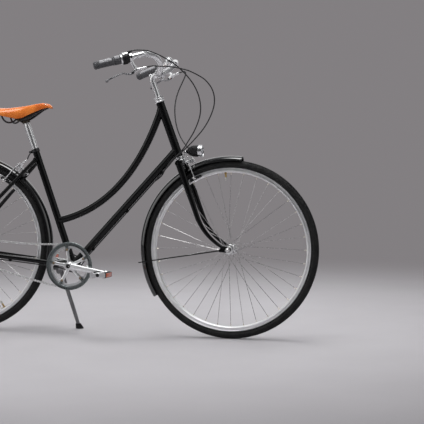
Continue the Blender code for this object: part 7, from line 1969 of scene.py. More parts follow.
def chain_path():
    """The chain's centre line around the ring and the sprocket, as points in order."""
    big, small = pitch_radius(RING_TEETH), pitch_radius(SPROCKET_TEETH)
    between = BRACKET - REAR_AXLE
    base = math.atan2(between.z, between.x)
    square = math.acos((big - small) / between.length)
    top = math.pi + base - square
    low = -(math.pi - base - square)
    upper, lower = UPPER_RUN_SLACK, LOWER_RUN_SLACK

    def wrap(centre, radius, first, last, count):
        return [around(centre, radius, first + (last - first) * i / count, -CHAIN_LINE)
                for i in range(count + 1)]

    def way(angle):
        return Vector((math.sin(angle), 0.0, -math.cos(angle)))

    ring = wrap(BRACKET, big, top + upper, low + lower, 90)
    cog = wrap(REAR_AXLE, small, 2 * math.pi + low - lower, top - upper, 45)
    lower_run = run_points(ring[-1], way(low + lower), cog[0], way(low - lower), 40)
    upper_run = run_points(cog[-1], way(top - upper), ring[0], way(top + upper), 40)
    return ring + lower_run + cog + upper_run


def chain_pins():
    """The chain's pins: an even number of them, spaced evenly along its path."""
    points = chain_path()
    points.append(points[0])
    lengths = lengths_along(points)
    count = 2 * round(lengths[-1] / CHAIN_PITCH / 2)
    pins = []
    k = 0
    for i in range(count):
        want = lengths[-1] * i / count
        while lengths[k + 1] < want:
            k += 1
        pins.append(points[k].lerp(points[k + 1], (want - lengths[k]) / (lengths[k + 1] - lengths[k])))
    return pins


def link_plate(first, second, out):
    """One side plate of a link between two pins, waisted in the middle."""
    along = (second - first).normalized()
    up = along.cross(SIDEWAYS)
    half = (second - first).length / 2
    middle = first.lerp(second, 0.5)
    rings = []
    for side in (out - LINK_THICK / 2, out + LINK_THICK / 2):
        ring = []
        for i in range(28):
            turn = 2 * math.pi * i / 28
            reach = half * (1 if math.cos(turn) > 0 else -1) + LINK_END * math.cos(turn)
            waist = 1.0 - 0.30 * max(0.0, 1.0 - abs(math.cos(turn)) * 3.2)
            ring.append(middle + along * reach * min(1.0, abs(math.cos(turn)) * 6 + 0.12)
                        + up * LINK_END * waist * math.sin(turn) + SIDEWAYS * side)
        rings.append(ring)
    return skinned(rings)


def build_chain(body):
    """Roller chain: pairs of inner and outer plates in turn, with a roller and a pin at each joint."""
    pins = chain_pins()
    plates = []
    rollers = []
    for i, pin in enumerate(pins):
        after = pins[(i + 1) % len(pins)]
        for sign in (-1, 1):
            plates.append(link_plate(pin, after, sign * LINK_PLACES[i % 2]))
        rollers.append(rod(pin - SIDEWAYS * 0.0015, pin + SIDEWAYS * 0.0015, ROLLER_RADIUS, 4))
        rollers.append(rod(pin - SIDEWAYS * CHAIN_HALF_WIDTH, pin + SIDEWAYS * CHAIN_HALF_WIDTH, 0.0017, 3))
    show("chain_plates", "brushed_steel", body, plates, ("chain",), material="chain")
    show("chain_rollers", "brushed_steel", body, rollers)


def crank_arm(side, angle, boss_in):
    """The forged arm, from the boss on the bracket's spindle to the pedal's eye."""
    end = around(BRACKET, CRANK_LENGTH, angle)
    wide = CRANK_BOSS_RADIUS
    boss = [(wide * 0.9, boss_in), (wide, boss_in + 0.0012), (wide, CRANK_BOSS_OUT - 0.0030),
            (wide * 0.94, CRANK_BOSS_OUT - 0.0010), (wide * 0.84, CRANK_BOSS_OUT),
            (wide * 0.66, CRANK_BOSS_OUT), (wide * 0.62, CRANK_BOSS_OUT - 0.0016)]
    eye_in, eye_out = CRANK_END_IN, CRANK_END_IN + CRANK_END_THICK
    eye_wide = CRANK_END_RADIUS
    eye = [(eye_wide * 0.88, eye_in), (eye_wide, eye_in + 0.0012), (eye_wide, eye_out - 0.0012),
           (eye_wide * 0.88, eye_out)]
    start = BRACKET + SIDEWAYS * side * (CRANK_BOSS_OUT - 0.0085)
    stop = end + SIDEWAYS * side * (eye_in + eye_out) / 2
    route = [start, start.lerp(stop, 0.12), start.lerp(stop, 0.5) + SIDEWAYS * side * 0.0008,
             start.lerp(stop, 0.92), stop]
    sizes = mm((7, 12.8), (6.6, 12.6), (5.2, 10.6), (4.8, 9.8), (4.8, 9.2))
    arm = limb(route, sizes, 50, 10, SIDEWAYS)
    return [lathe(boss, 14, BRACKET, SIDEWAYS * side), lathe(eye, 12, end, SIDEWAYS * side), arm]


def crank_cap(side):
    """The dark bolt cap in the boss."""
    cap = [(0.0082, CRANK_BOSS_OUT - 0.0030), (0.0082, CRANK_BOSS_OUT - 0.0006),
           (0.0070, CRANK_BOSS_OUT + 0.0004), (0.0042, CRANK_BOSS_OUT + 0.0004),
           (0.0036, CRANK_BOSS_OUT - 0.0014)]
    return lathe(cap, 10, BRACKET, SIDEWAYS * side)


def spider_angles():
    """The directions of the five arms that carry the chain ring; the crank lies between two of them."""
    return [CRANK_ANGLE + math.radians(36 + 72 * k) for k in range(5)]


def spider(middle_out):
    """The five arms that carry the chain ring, each with a ridge, on a round hub."""
    pieces = []
    for angle in spider_angles():
        tip = around(BRACKET, SPIDER_TIP_PLACE, angle, middle_out)
        root = around(BRACKET, SPIDER_HUB_RADIUS * 0.5, angle, middle_out)
        thick = SPIDER_THICKNESS / 2
        sizes = [(thick * 1.1, 0.0092), (thick * 1.05, 0.0066), (thick, 0.0058), (thick, 0.0068),
                 (thick, 0.0066)]
        pieces.append(limb([root, root.lerp(tip, 0.3), root.lerp(tip, 0.6), root.lerp(tip, 0.92), tip], sizes,
                           24, 8, SIDEWAYS))
    hub = [(SPIDER_HUB_RADIUS * 0.95, -0.0022), (SPIDER_HUB_RADIUS * 1.1, -0.0010),
           (SPIDER_HUB_RADIUS * 1.1, 0.0014), (SPIDER_HUB_RADIUS * 0.95, 0.0032)]
    pieces.append(lathe(hub, 16, BRACKET + SIDEWAYS * middle_out, -SIDEWAYS))
    return pieces


def pedal_spindle(side, angle):
    end = around(BRACKET, CRANK_LENGTH, angle)
    start = PEDAL_CENTRE_OUT - 0.003
    collar = PEDAL_CENTRE_OUT + PEDAL_FIRST - GAP
    stop = PEDAL_CENTRE_OUT + PEDAL_FIRST + PEDAL_WIDTH - 0.006
    profile = [(0.0072, start), (0.0072, start + 0.004), (0.0082, start + 0.0044), (0.0082, collar - 0.0022),
               (0.0066, collar - 0.0018), (0.0066, collar), (PEDAL_SPINDLE_RADIUS, collar),
               (PEDAL_SPINDLE_RADIUS, stop)]
    return lathe(profile, 8, end, SIDEWAYS * side)


def build_cranks(body):
    spider_out = CHAIN_LINE + RING_THICKNESS / 2 + GAP
    spider_top = spider_out + SPIDER_THICKNESS
    pieces = crank_arm(-1, CRANK_ANGLE, RIGHT_BOSS_IN) + spider(-(spider_out + spider_top) / 2)
    show("crank_arm_right", "polished_silver", body, pieces + [pedal_spindle(-1, CRANK_ANGLE)],
         ("crank_right",))
    spindle = [(0.0070, -SPINDLE_END), (SPINDLE_RADIUS, -SPINDLE_END + 0.001), (SPINDLE_RADIUS, SPINDLE_END)]
    pieces = crank_arm(1, CRANK_ANGLE + math.pi, LEFT_BOSS_IN) + [pedal_spindle(1, CRANK_ANGLE + math.pi)]
    pieces.append(lathe(spindle, 10, BRACKET, SIDEWAYS))
    show("crank_arm_left", "polished_silver", body, pieces, ("crank_left",))
    show("crank_caps", "black_plastic", body, [crank_cap(-1), crank_cap(1)])
    ahead = Vector((math.cos(CRANK_ANGLE), 0.0, math.sin(CRANK_ANGLE)))
    near = CHAIN_LINE - RING_THICKNESS / 2
    ring = flat_ring(toothed_outline(RING_TEETH), tabbed_outline(RING_BORE - 0.0040, 0.0072), near,
                     near + RING_THICKNESS)
    show("chainring_teeth", "polished_silver", body, [placed(ring, BRACKET, -SIDEWAYS, ahead)],
         ("chainring",), edge=0.0003)
    near = spider_top + GAP
    far = near + GUARD_RING_THICKNESS
    outer, bore = GUARD_RING_RADIUS, GUARD_RING_BORE
    guard = [(outer - 0.0010, near), (outer, near + 0.0005), (outer, far - 0.0004),
             (outer - 0.0012, far + 0.0004), (outer - 0.0026, far), (bore + 0.0024, far - 0.0004),
             (bore + 0.0010, far), (bore, far - 0.0008), (bore, near)]
    pieces = [lathe(guard, 48, BRACKET, -SIDEWAYS, ahead, ring=True)]
    bolts = []
    for angle in spider_angles():
        tip = around(BRACKET, SPIDER_TIP_PLACE, angle, -(near + far) / 2)
        rim = around(BRACKET, bore + 0.002, angle, -(near + far) / 2)
        half = GUARD_RING_THICKNESS / 2
        pieces.append(limb([tip, tip.lerp(rim, 0.5), rim], [(half, 0.0060), (half, 0.0052), (half, 0.0085)],
                           14, 8, SIDEWAYS))
        bolt = mm((5, 0), (5, 1), (4.2, 1.6), (2.6, 1.6), (2.4, 0.4))
        bolts.append(lathe(bolt, 8, tip - SIDEWAYS * half, -SIDEWAYS))
        back = around(BRACKET, SPIDER_TIP_PLACE, angle, -CHAIN_LINE + RING_THICKNESS / 2)
        bolts.append(lathe(bolt, 8, back, SIDEWAYS))
    show("chain_guard_band", "brushed_steel", body, pieces, ("chain_guard_ring",), material="guard_ring")
    show("chainring_bolts", "brushed_steel", body, bolts, material="bolt")
    for side, word, angle in ((-1, "right", CRANK_ANGLE), (1, "left", CRANK_ANGLE + math.pi)):
        build_pedal(side, word, angle, "pedal_" + word)


# How many ribs each of a pedal's rubber blocks has
PEDAL_RIBS = 4


def ribbed_block(x_low, x_high, half_high):
    """The outline of a rubber block, with grooves along its top and its underside."""
    outline = []
    step = (x_high - x_low) / PEDAL_RIBS
    for sign in (-1, 1):
        row = []
        for k in range(PEDAL_RIBS):
            low = x_low + step * k
            crest = half_high - (0.0016 if k in (0, PEDAL_RIBS - 1) else 0.0)
            edge_low = crest - (0.0014 if k == 0 else 0.0)
            edge_high = crest - (0.0014 if k == PEDAL_RIBS - 1 else 0.0)
            row += [(low + step * 0.10, sign * (half_high - 0.0030)), (low + step * 0.16, sign * edge_low),
                    (low + step * 0.5, sign * crest), (low + step * 0.84, sign * edge_high),
                    (low + step * 0.90, sign * (half_high - 0.0030))]
        outline += row if sign < 0 else row[::-1]
    return outline


def build_pedal(side, word, angle, body):
    """A platform pedal: a silver barrel and cage, two ribbed rubber blocks and their orange reflectors."""
    centre = around(BRACKET, CRANK_LENGTH, angle)
    first = PEDAL_CENTRE_OUT + PEDAL_FIRST
    last = first + PEDAL_WIDTH
    half_long, half_high = PEDAL_LENGTH / 2, PEDAL_HEIGHT / 2
    wide = PEDAL_BARREL_RADIUS
    barrel = profile_on(wide, first, (0.86, 0), (1, 1.2), (1, 12), (0.84, 15))
    barrel += profile_on(wide, last, (0.84, -15), (1, -12), (1, -1.5), (0.86, -0.4))
    metal = [lathe(barrel, 10, centre, SIDEWAYS * side)]
    plate = []
    for sign in (-1, 1):
        row = [(-half_long + 0.002, sign * 0.0050), (-half_long + 0.0045, sign * 0.0098),
               (-half_long + 0.016, sign * 0.0100), (-0.0125, sign * 0.0072), (0.0, sign * 0.0084),
               (0.0125, sign * 0.0072), (half_long - 0.016, sign * 0.0100),
               (half_long - 0.0045, sign * 0.0098), (half_long - 0.002, sign * 0.0050)]
        plate += row if sign < 0 else row[::-1]
    plate = [(centre.x + x, centre.z + z) for x, z in plate]
    for start in (first, last - PEDAL_PLATE):
        metal.append(extruded(plate, side * start, side * (start + PEDAL_PLATE)))
    for x in (-half_long + PEDAL_BLOCK_LENGTH + 0.0010, half_long - PEDAL_BLOCK_LENGTH - 0.0010):
        for z in (-half_high + 0.0030, half_high - 0.0030):
            metal.append(rod(centre + Vector((x, side * first, z)), centre + Vector((x, side * last, z)),
                             0.0013, 3))
    show("pedal_cage_" + word, "polished_silver", body, metal, ("pedal_" + word,), edge=0.0004)
    cap = [(0.0070, last - 0.002), (0.0070, last + 0.0002), (0.0060, last + 0.0012), (0.0010, last + 0.0014)]
    show("pedal_cap_" + word, "black_plastic", body, [lathe(cap, 8, centre, SIDEWAYS * side)])
    blocks = []
    reflectors = []
    for end in (-1, 1):
        near, far = sorted((end * (half_long - PEDAL_BLOCK_LENGTH), end * half_long))
        outline = [(centre.x + x, centre.z + z) for x, z in ribbed_block(near, far, half_high)]
        blocks.append(extruded(outline, side * (first + PEDAL_PLATE), side * (last - PEDAL_PLATE)))
        corners = []
        for out, high, ahead in ((0.0, 0.0, 0.0009), (0.0016, 0.0013, 0.0)):
            reach = end * (half_long - 0.0002 + ahead)
            for y in (first + 0.0105 - out, last - 0.0105 + out):
                for z in (-0.0064 - high, 0.0064 + high):
                    corners.append(centre + Vector((reach, side * y, z)))
        corners += [corner - Vector((end * 0.0022, 0, 0)) for corner in corners]
        reflectors.append(hulled(corners))
    show("pedal_blocks_" + word, "grip_rubber", body, blocks, edge=0.0005, material="pedal_block")
    show("pedal_reflectors_" + word, "black_plastic", body, reflectors, edge=0.0004, material="reflector")


def build_sprocket(body):
    half = RING_THICKNESS / 2
    cog = flat_ring(toothed_outline(SPROCKET_TEETH), circle_outline(SPROCKET_BORE, 42), -half, half)
    bore = AXLE_RADIUS + RUNNING_GAP
    inner = REAR_SHELL_HALF + RUNNING_GAP
    outer = CHAIN_LINE + 0.006
    driver = placed(sleeve(SPROCKET_BORE + 0.0025, bore, inner, outer, 14), REAR_AXLE, -SIDEWAYS)
    show("rear_sprocket_look", "brushed_steel", body,
         [placed(cog, REAR_AXLE - SIDEWAYS * CHAIN_LINE, SIDEWAYS), driver], ("rear_sprocket",), edge=0.0004)


# Seat post and saddle

def build_seat_post(body):
    low = SEAT_TUBE_LENGTH - SEAT_POST_INSERTION
    top = SEAT_TUBE_LENGTH + SEAT_POST_TOP
    neck = SEAT_POST_NECK
    profile = [(SEAT_POST_RADIUS * 0.94, low), (SEAT_POST_RADIUS, low + 0.001),
               (SEAT_POST_RADIUS, top - 0.0105), (SEAT_POST_RADIUS * 0.985, top - 0.0085),
               (neck * 1.03, top - 0.0030), (neck, top - 0.0015), (neck, top + SEAT_POST_NECK_TOP - 0.001),
               (neck * 0.92, top + SEAT_POST_NECK_TOP)]
    show("seat_post_tube", "polished_silver", body, [lathe(profile, 16, BRACKET, SEAT_UP)], ("seat_post",))


def build_saddle_clamp(body):
    """The clamp's ring round the post's neck, the toothed cheeks on the rails and the bolt through them."""
    top = SEAT_TUBE_LENGTH + SEAT_POST_TOP
    wide = SEAT_POST_NECK + 0.0052
    ring = profile_on(wide, top, (0.93, 3), (1, 4.2), (1, 21.8), (0.93, 23))
    centre = on_seat_tube(top + 0.013, -0.006)
    middle = rail_middle()
    link = hulled(circle_points((centre.x, centre.z), 0.0088, -0.0115, 0.0115, 12)
                  + circle_points((middle.x, middle.z), 0.0080, -0.0115, 0.0115, 12))
    pieces = [lathe(ring, 14, BRACKET, SEAT_UP), link]
    span = SADDLE_RAIL_OUT + 0.006
    cheek = [(0.0072, -span), (0.0086, -span + 0.0010), (0.0086, -span + 0.0110), (0.0074, -span + 0.0118),
             (0.0074, span - 0.0118), (0.0086, span - 0.0110), (0.0086, span - 0.0010), (0.0072, span)]
    pieces.append(lathe(cheek, 12, middle, SIDEWAYS))
    bolt = [(0.0040, -span - 0.0032), (0.0050, -span - 0.0026), (0.0050, span + 0.0026),
            (0.0040, span + 0.0032)]
    pieces.append(lathe(bolt, 6, middle, SIDEWAYS))
    show("saddle_clamp_cheeks", "spring_steel", body, pieces, ("saddle_clamp",), edge=0.0004,
         material="saddle_clamp")


def rail_middle():
    """The middle of the clamped part of the rails."""
    return on_seat_tube(SEAT_TUBE_LENGTH + SEAT_POST_TOP + SADDLE_CLAMP_UP, -SADDLE_CLAMP_BACK)


def rail_points(side):
    """A saddle rail, from the nose back under the clamp, down round its hook and up to the cantle."""
    route = [(0.1080, 0.0080, 0.0460), (0.0920, 0.0110, 0.0400), (0.0600, 0.0165, 0.0190),
             (0.0320, 0.0210, 0.0030), (0.0150, 0.0210, 0.0000), (-0.0120, 0.0210, 0.0000),
             (-0.0230, 0.0245, -0.0075), (-0.0370, 0.0320, -0.0122), (-0.0500, 0.0400, -0.0090),
             (-0.0600, 0.0455, 0.0020), (-0.0660, 0.0490, 0.0160), (-0.0790, 0.0530, 0.0265),
             (-0.1050, 0.0560, 0.0300), (-0.1340, 0.0580, 0.0365)]
    return [rail_middle() + Vector((ahead, side * out, up)) for ahead, out, up in route]


# The leather top: distance behind the nose, height of the crest above the rails' middle, half
# width, and how far the skirt hangs below the crest
SADDLE_STATIONS = [(0.000, 0.0526, 0.0110, 0.0080), (0.012, 0.0626, 0.0175, 0.0140),
                   (0.036, 0.0671, 0.0200, 0.0240), (0.062, 0.0641, 0.0215, 0.0310),
                   (0.094, 0.0579, 0.0260, 0.0390), (0.115, 0.0545, 0.0300, 0.0460),
                   (0.136, 0.0516, 0.0375, 0.0476), (0.158, 0.0490, 0.0470, 0.0420),
                   (0.180, 0.0468, 0.0570, 0.0350), (0.207, 0.0466, 0.0690, 0.0275),
                   (0.235, 0.0485, 0.0795, 0.0190), (0.259, 0.0520, 0.0830, 0.0160),
                   (0.276, 0.0500, 0.0780, 0.0150)]
SADDLE_NOSE_AHEAD = 0.1305
# Into how many strips the leather is divided, across and along
LEATHER_ACROSS = 48
LEATHER_ALONG = 90


def saddle_section(station, share):
    """A point across the leather at a share from -1 to 1 of the way from edge to edge."""
    behind, height, half, hang = station
    turn = abs(share) ** 1.15 * math.pi / 2
    out = half * math.sin(turn) ** 0.9 * (1.0 if share >= 0 else -1.0)
    drop = hang * (1 - math.cos(turn)) ** 1.25
    return rail_middle() + Vector((SADDLE_NOSE_AHEAD - behind, out, height - drop))


def saddle_inside(station, depth):
    """The station's section drawn in by a depth, for the leather's inner face and what it rests on."""
    behind, height, half, hang = station
    return behind, height - depth, half - depth * 0.9, hang - depth * 0.9


def saddle_station(behind):
    """The leather's section between two of the stations."""
    for first, second in zip(SADDLE_STATIONS, SADDLE_STATIONS[1:]):
        if first[0] <= behind <= second[0]:
            t = (behind - first[0]) / (second[0] - first[0])
            return tuple(a + (b - a) * t for a, b in zip(first, second))
    return SADDLE_STATIONS[-1]


def saddle_seat(places, width, floor):
    """A plate that fits under the leather's arch at some places behind the nose, with a flat bottom."""
    points = []
    for behind in places:
        inside = saddle_inside(saddle_station(behind), SADDLE_LEATHER + 2 * GAP)
        arch = [saddle_section(inside, width * (i / 3 - 1)) for i in range(7)]
        points += arch
        level = rail_middle().z + floor
        points += [Vector((point.x, point.y * 0.9, min(level, point.z - 0.001)))
                   for point in (arch[0], arch[-1])]
    return hulled(points)


def smooth_station(share):
    """The leather's section at a share of its length, on a smooth curve through the stations."""
    places = share * (len(SADDLE_STATIONS) - 1)
    k = min(int(places), len(SADDLE_STATIONS) - 2)
    return tuple(curve_between(*values, places - k) for values in zip(*curve_corners(SADDLE_STATIONS, k)))


def leather_shell(stations, shares, thickness, hem=0.0):
    """A closed shell over the stations, whose edge is rounded by a hem."""
    count = len(shares)
    mesh = bmesh.new()
    rings = []
    for station in stations:
        outer = [saddle_section(station, share) for share in shares]
        inner = [saddle_section(saddle_inside(station, thickness), share) for share in reversed(shares)]
        for row in (outer, inner):
            for end in (0, -1):
                row[end] = row[end].lerp(row[1 if end == 0 else -2], 0.12 if hem else 0.0)
        right = outer[-1].lerp(inner[0], 0.5) + (outer[-1] - outer[-3]).normalized() * hem
        left = outer[0].lerp(inner[-1], 0.5) + (outer[0] - outer[2]).normalized() * hem
        rings.append([mesh.verts.new(point) for point in outer + [right] + inner + [left]])
    ring_faces(mesh, rings, False)
    for ring in (rings[0], rings[-1]):
        for i in range(count - 1):
            mesh.faces.new((ring[i], ring[i + 1], ring[2 * count - 1 - i], ring[2 * count - i]))
        mesh.faces.new((ring[count - 1], ring[count], ring[count + 1]))
        mesh.faces.new((ring[0], ring[2 * count + 1], ring[2 * count]))
    bmesh.ops.recalc_face_normals(mesh, faces=mesh.faces)
    return mesh


def build_saddle_leather(body):
    """The leather top with its rivets, and the dark flap under its flanks."""
    shares = [2 * i / LEATHER_ACROSS - 1 for i in range(LEATHER_ACROSS + 1)]
    stations = [smooth_station(i / LEATHER_ALONG) for i in range(LEATHER_ALONG + 1)]
    mesh = leather_shell(stations, shares, SADDLE_LEATHER, 0.0012)
    show("saddle_leather_top", "tan_leather", body, [mesh], ("saddle_leather",), edge=0.0008)
    rivets = []
    for behind, places in ((0.0225, (-0.55, 0.0, 0.55)), (0.2640, (-0.62, -0.30, 0.30, 0.62))):
        station = saddle_station(behind)
        for share in places:
            spot = saddle_section(station, share)
            near = saddle_section(station, share + 0.03)
            ahead = saddle_section(saddle_station(behind + 0.004), share)
            normal = (near - spot).cross(ahead - spot).normalized()
            normal = normal if normal.z > 0 else -normal
            head = [(0.0046, -0.0006)] + dome_profile(0.0044, 0.0012, 0.0004, 5)
            rivets.append(lathe(head, 6, spot, normal))
    show("saddle_rivets", "spring_steel", body, rivets, material="bolt")
    flap = []
    for i in range(41):
        behind, height, half, hang = saddle_station(0.030 + 0.120 * i / 40)
        lower = 0.0085 * math.sin(math.pi * min(1.0, (i + 4) / 44)) + 0.0010
        flap.append((behind, height - SADDLE_LEATHER - 0.0008, half - SADDLE_LEATHER - 0.0004,
                     hang - SADDLE_LEATHER + lower))
    show("saddle_flap", "spring_steel", body, [leather_shell(flap, shares[::2], 0.0016)],
         material="saddle_flap")


def build_saddle_rails(body):
    """Two steel rails, joined by the nose piece and by the cantle plate under the leather."""
    pieces = []
    for side in (-1, 1):
        rail = smooth_points(rail_points(side), 120)
        pieces.append(swept(rail, (SADDLE_RAIL_RADIUS,) * 2, 5))
    pieces.append(saddle_seat((0.019, 0.031), 0.7, 0.0425))
    pieces.append(saddle_seat((0.261, 0.273), 0.72, 0.0370))
    show("saddle_rail_wires", "spring_steel", body, pieces, ("saddle_rails",), edge=0.0006)


def build_seat_clamp(body):
    low = SEAT_TUBE_LENGTH - SEAT_CLAMP_HEIGHT
    bolt = on_seat_tube(SEAT_TUBE_LENGTH - SEAT_CLAMP_HEIGHT * 0.45, -SEAT_CLAMP_BOLT_BACK)
    ring = placed(disc(SEAT_CLAMP_RADIUS, low, SEAT_TUBE_LENGTH + 0.001, 16), BRACKET, SEAT_UP)
    ears = box(bolt - Vector((0.004, 0.006, 0.0048)), bolt + Vector((0.008, 0.006, 0.0048)))
    pin = placed(disc(0.0028, -0.011, 0.011, 8), bolt, SIDEWAYS)
    head = placed(disc(0.0046, -0.0135, -0.0085, 8), bolt, SIDEWAYS)
    show("seat_clamp_look", "spring_steel", body, [ring, ears, pin, head], ("seat_clamp",), edge=0.0004)


# Side stand

def world_to_bicycle(point):
    """A point of the floor, measured from under the bottom bracket, in the leaning bicycle's frame."""
    return Matrix.Rotation(LEAN, 4, "X") @ point


def stand_points():
    """The stand's pivot, its bend, the middle of its sole and the floor's upward direction."""
    sole = world_to_bicycle(Vector((STAND_FOOT_X, STAND_REACH, tyre_touch())))
    return Vector(STAND_PIVOT), Vector(STAND_BEND), sole, world_to_bicycle(UP)


def tyre_touch():
    """How far the leaning tyre's lowest point lies below its upright place."""
    return -TYRE_SECTION * (1 - math.cos(LEAN))


def stand_axis():
    pivot, _, sole, _ = stand_points()
    down = (sole - pivot).normalized()
    return down.cross(Vector(STAND_FOLDED_WAY).normalized()).normalized()


def build_stand(frame_body, leg_body):
    pivot, bend, sole, up = stand_points()
    axis = stand_axis()
    half = STAND_EYE_HALF
    start, waist, _ = chain_stay_points(1)
    back = Vector((waist.x - start.x, 0, waist.z - start.z)).normalized()
    square = SIDEWAYS.cross(back)
    centre = BRACKET + back * (pivot.x / back.x)
    face = CHAIN_STAY_TALL * math.cos(math.pi / CHAIN_STAY_SIDES) + GAP

    def plate(low, high, right, left):
        return hulled([centre + back * a + square * b + SIDEWAYS * c for a in (-0.016, 0.014)
                       for b in (low, high) for c in (right, left)])

    pieces = [plate(-face - STAND_BLOCK, -face, -STAND_BLOCK_RIGHT, STAND_BLOCK_LEFT),
              plate(face, face + 0.0035, -STAND_PLATE_HALF, STAND_PLATE_HALF)]
    pieces.append(rod(centre - square * (face + 0.010), centre + square * (face + 0.0075), 0.0045, 8))
    pieces.append(rod(pivot - axis * (half + RUNNING_GAP), pivot - axis * (half + 0.012), STAND_EYE_RADIUS,
                      12))
    pieces.append(rod(pivot - axis * (half + 0.012), pivot + axis * (half + 0.003), STAND_PIN_RADIUS, 10))
    pieces.append(rod(pivot + axis * (half + RUNNING_GAP), pivot + axis * (half + 0.004), 0.0072, 10))
    show("kickstand_mount", "brushed_steel", frame_body, pieces, ("kickstand_bracket",), edge=0.0008,
         material="stand")
    toward = (sole - bend).normalized()
    leg_end = sole - toward * STAND_FOOT_HEIGHT * 0.55
    route = [pivot, pivot.lerp(bend, 0.5), pivot.lerp(bend, 0.93), bend.lerp(leg_end, 0.10), leg_end]
    eye = rod(pivot - axis * half, pivot + axis * half, STAND_EYE_RADIUS, 12)
    wide = STAND_LEG_RADIUS
    leg = limb(route, [(wide * 1.15, wide), (wide, wide), (wide, wide), (wide, wide),
                       (wide * 0.9, wide * 0.9)], 50, 8)
    show("kickstand_tube", "brushed_steel", leg_body, [eye, leg], ("kickstand_leg",), edge=0.0006,
         material="stand")
    neck = sole - toward * STAND_FOOT_HEIGHT
    foot_points = []
    for i in range(12):
        angle = 2 * math.pi * i / 12
        ahead = Vector((math.cos(angle), 0, 0))
        level_side = up.cross(Vector((1, 0, 0))) * math.sin(angle)
        for low in (sole, sole + up * 0.004):
            foot_points.append(low + (ahead + level_side * 0.85) * STAND_FOOT_SOLE)
        foot_points.append(neck + (ahead + level_side) * STAND_FOOT_TOP)
    show("kickstand_shoe", "tyre_rubber", leg_body, [hulled(foot_points)], ("kickstand_foot",), edge=0.0012)


# Lamp and bell

def lamp_pivot():
    return Vector((LAMP_PIVOT[0], 0, LAMP_PIVOT[1]))


def build_lamp(steer_body, lamp_body):
    """A black bowl with a chrome bezel, a faceted reflector behind domed glass, on a bent chrome strip."""
    centre = Vector((LAMP_CENTRE[0], 0, LAMP_CENTRE[1]))
    ahead = Vector((1, 0, 0))
    half = LAMP_LENGTH / 2
    radius = LAMP_RADIUS
    inside = radius - LAMP_WALL
    bezel_from = half - 0.0160
    shell = [(0.0030, -half + 0.0030), (radius * 0.36, -half + 0.0040), (radius * 0.58, -half + 0.0075),
             (radius * 0.75, -half + 0.0135), (radius * 0.87, -half + 0.0210),
             (radius * 0.945, -half + 0.0300), (radius * 0.975, bezel_from), (inside * 0.94, bezel_from),
             (inside * 0.90, -half + 0.024), (inside * 0.5, -half + 0.010), (0.0030, -half + 0.006)]
    pivot = lamp_pivot()
    ear_half = LAMP_EAR_HALF
    ear = hulled(circle_points((pivot.x, pivot.z), 0.0056, -ear_half, ear_half, 10)
                 + circle_points((centre.x - half + 0.008, centre.z - 0.002), 0.0070, -ear_half, ear_half,
                                 10))
    show("headlight_bowl", "black_plastic", lamp_body, [lathe(shell, 20, centre, ahead), ear],
         ("headlight_shell",), edge=0.0004)
    bezel = [(radius * 0.975, bezel_from), (radius * 1.0, bezel_from + 0.0008), (radius * 1.0, half - 0.0034),
             (radius * 0.985, half - 0.0012), (radius * 0.955, half - 0.0002), (radius * 0.91, half - 0.0004),
             (radius * 0.885, half - 0.0020), (radius * 0.885, half - 0.0050), (inside * 0.96, half - 0.0050),
             (inside * 0.96, bezel_from)]
    show("headlight_bezel", "chrome", lamp_body, [lathe(bezel, 24, centre, ahead, ring=True)])
    foot = 0.0060
    bowl = [(foot, half - 0.0270)]
    for k in range(1, 10):
        bowl.append((foot + (inside * 0.93 - foot) * (k / 9) ** 0.62, half - 0.0270 + 0.0220 * k / 9))
    back = [(wide + 0.0006, place - 0.0006) for wide, place in reversed(bowl)]
    show("headlight_reflector", "chrome", lamp_body, [lathe(bowl + back, 20, centre, ahead, ring=True)],
         material="lamp_bowl")
    wide = inside * 0.93
    glass = [(wide, half - 0.0046)]
    for degrees in (0, 15, 30, 45, 60, 75, 87):
        turn = math.radians(degrees)
        glass.append((wide * math.cos(turn), half - 0.0034 + 0.0052 * math.sin(turn)))
    under = [(reach * 0.96, place - 0.0012) for reach, place in reversed(glass[1:])]
    lens = turned(glass + under + [(wide * 0.94, half - 0.0046)], 24, True)
    show("headlight_glass", "lamp_glass", lamp_body, [placed(lens, centre, ahead)], ("headlight_lens",))
    foot, out, _, _ = caliper_axes("front")
    sheet = LAMP_SHEET
    hold = CROWN_DEPTH + GAP
    ring = lathe([(0.0080, hold), (0.0088, hold + 0.0004), (0.0088, hold + sheet - 0.0004),
                  (0.0080, hold + sheet)], 10, foot, out)
    top = pivot + Vector((-0.0020, 0, -0.0100))
    side_step = ear_half + RUNNING_GAP + sheet / 2
    strip = limb([foot + out * (hold + sheet / 2), on_steerer(BRAKE_BOLT_UP + 0.0155, hold + 0.0060), top],
                 [(0.0078, sheet / 2), (0.0066, sheet / 2), (0.0052, sheet / 2)], 24, 8, SIDEWAYS)
    pieces = [caliper_bolt("front"), ring, strip]
    for side in (-1, 1):
        middle = SIDEWAYS * side * side_step
        pieces.append(limb([top + middle, pivot + middle], [(sheet / 2, 0.0040), (sheet / 2, 0.0056)], 8, 8,
                           SIDEWAYS))
    pin = [(0.0042, -side_step - 0.0046), (0.0050, -side_step - 0.0040), (0.0050, -side_step - 0.0012),
           (LAMP_PIN_RADIUS, -side_step - 0.0012), (LAMP_PIN_RADIUS, side_step + 0.0012),
           (0.0046, side_step + 0.0012), (0.0046, side_step + 0.0040)]
    pieces.append(lathe(pin, 6, pivot, SIDEWAYS))
    show("headlight_strip", "chrome", steer_body, pieces, ("headlight_bracket",))


def bell_place():
    """The bell's clamp on the left half of the bar, and the bar's direction there."""
    points = bar_line()
    first, second = min(zip(points, points[1:]),
                        key=lambda pair: abs((pair[0].y + pair[1].y) / 2 - BELL_PLACE))
    return first.lerp(second, 0.5), (first - second).normalized()


def bell_dome_foot():
    """The middle of the bell's base, behind the bar and above it."""
    return bell_place()[0] + Vector((-BELL_BACK, 0, BELL_RISE))


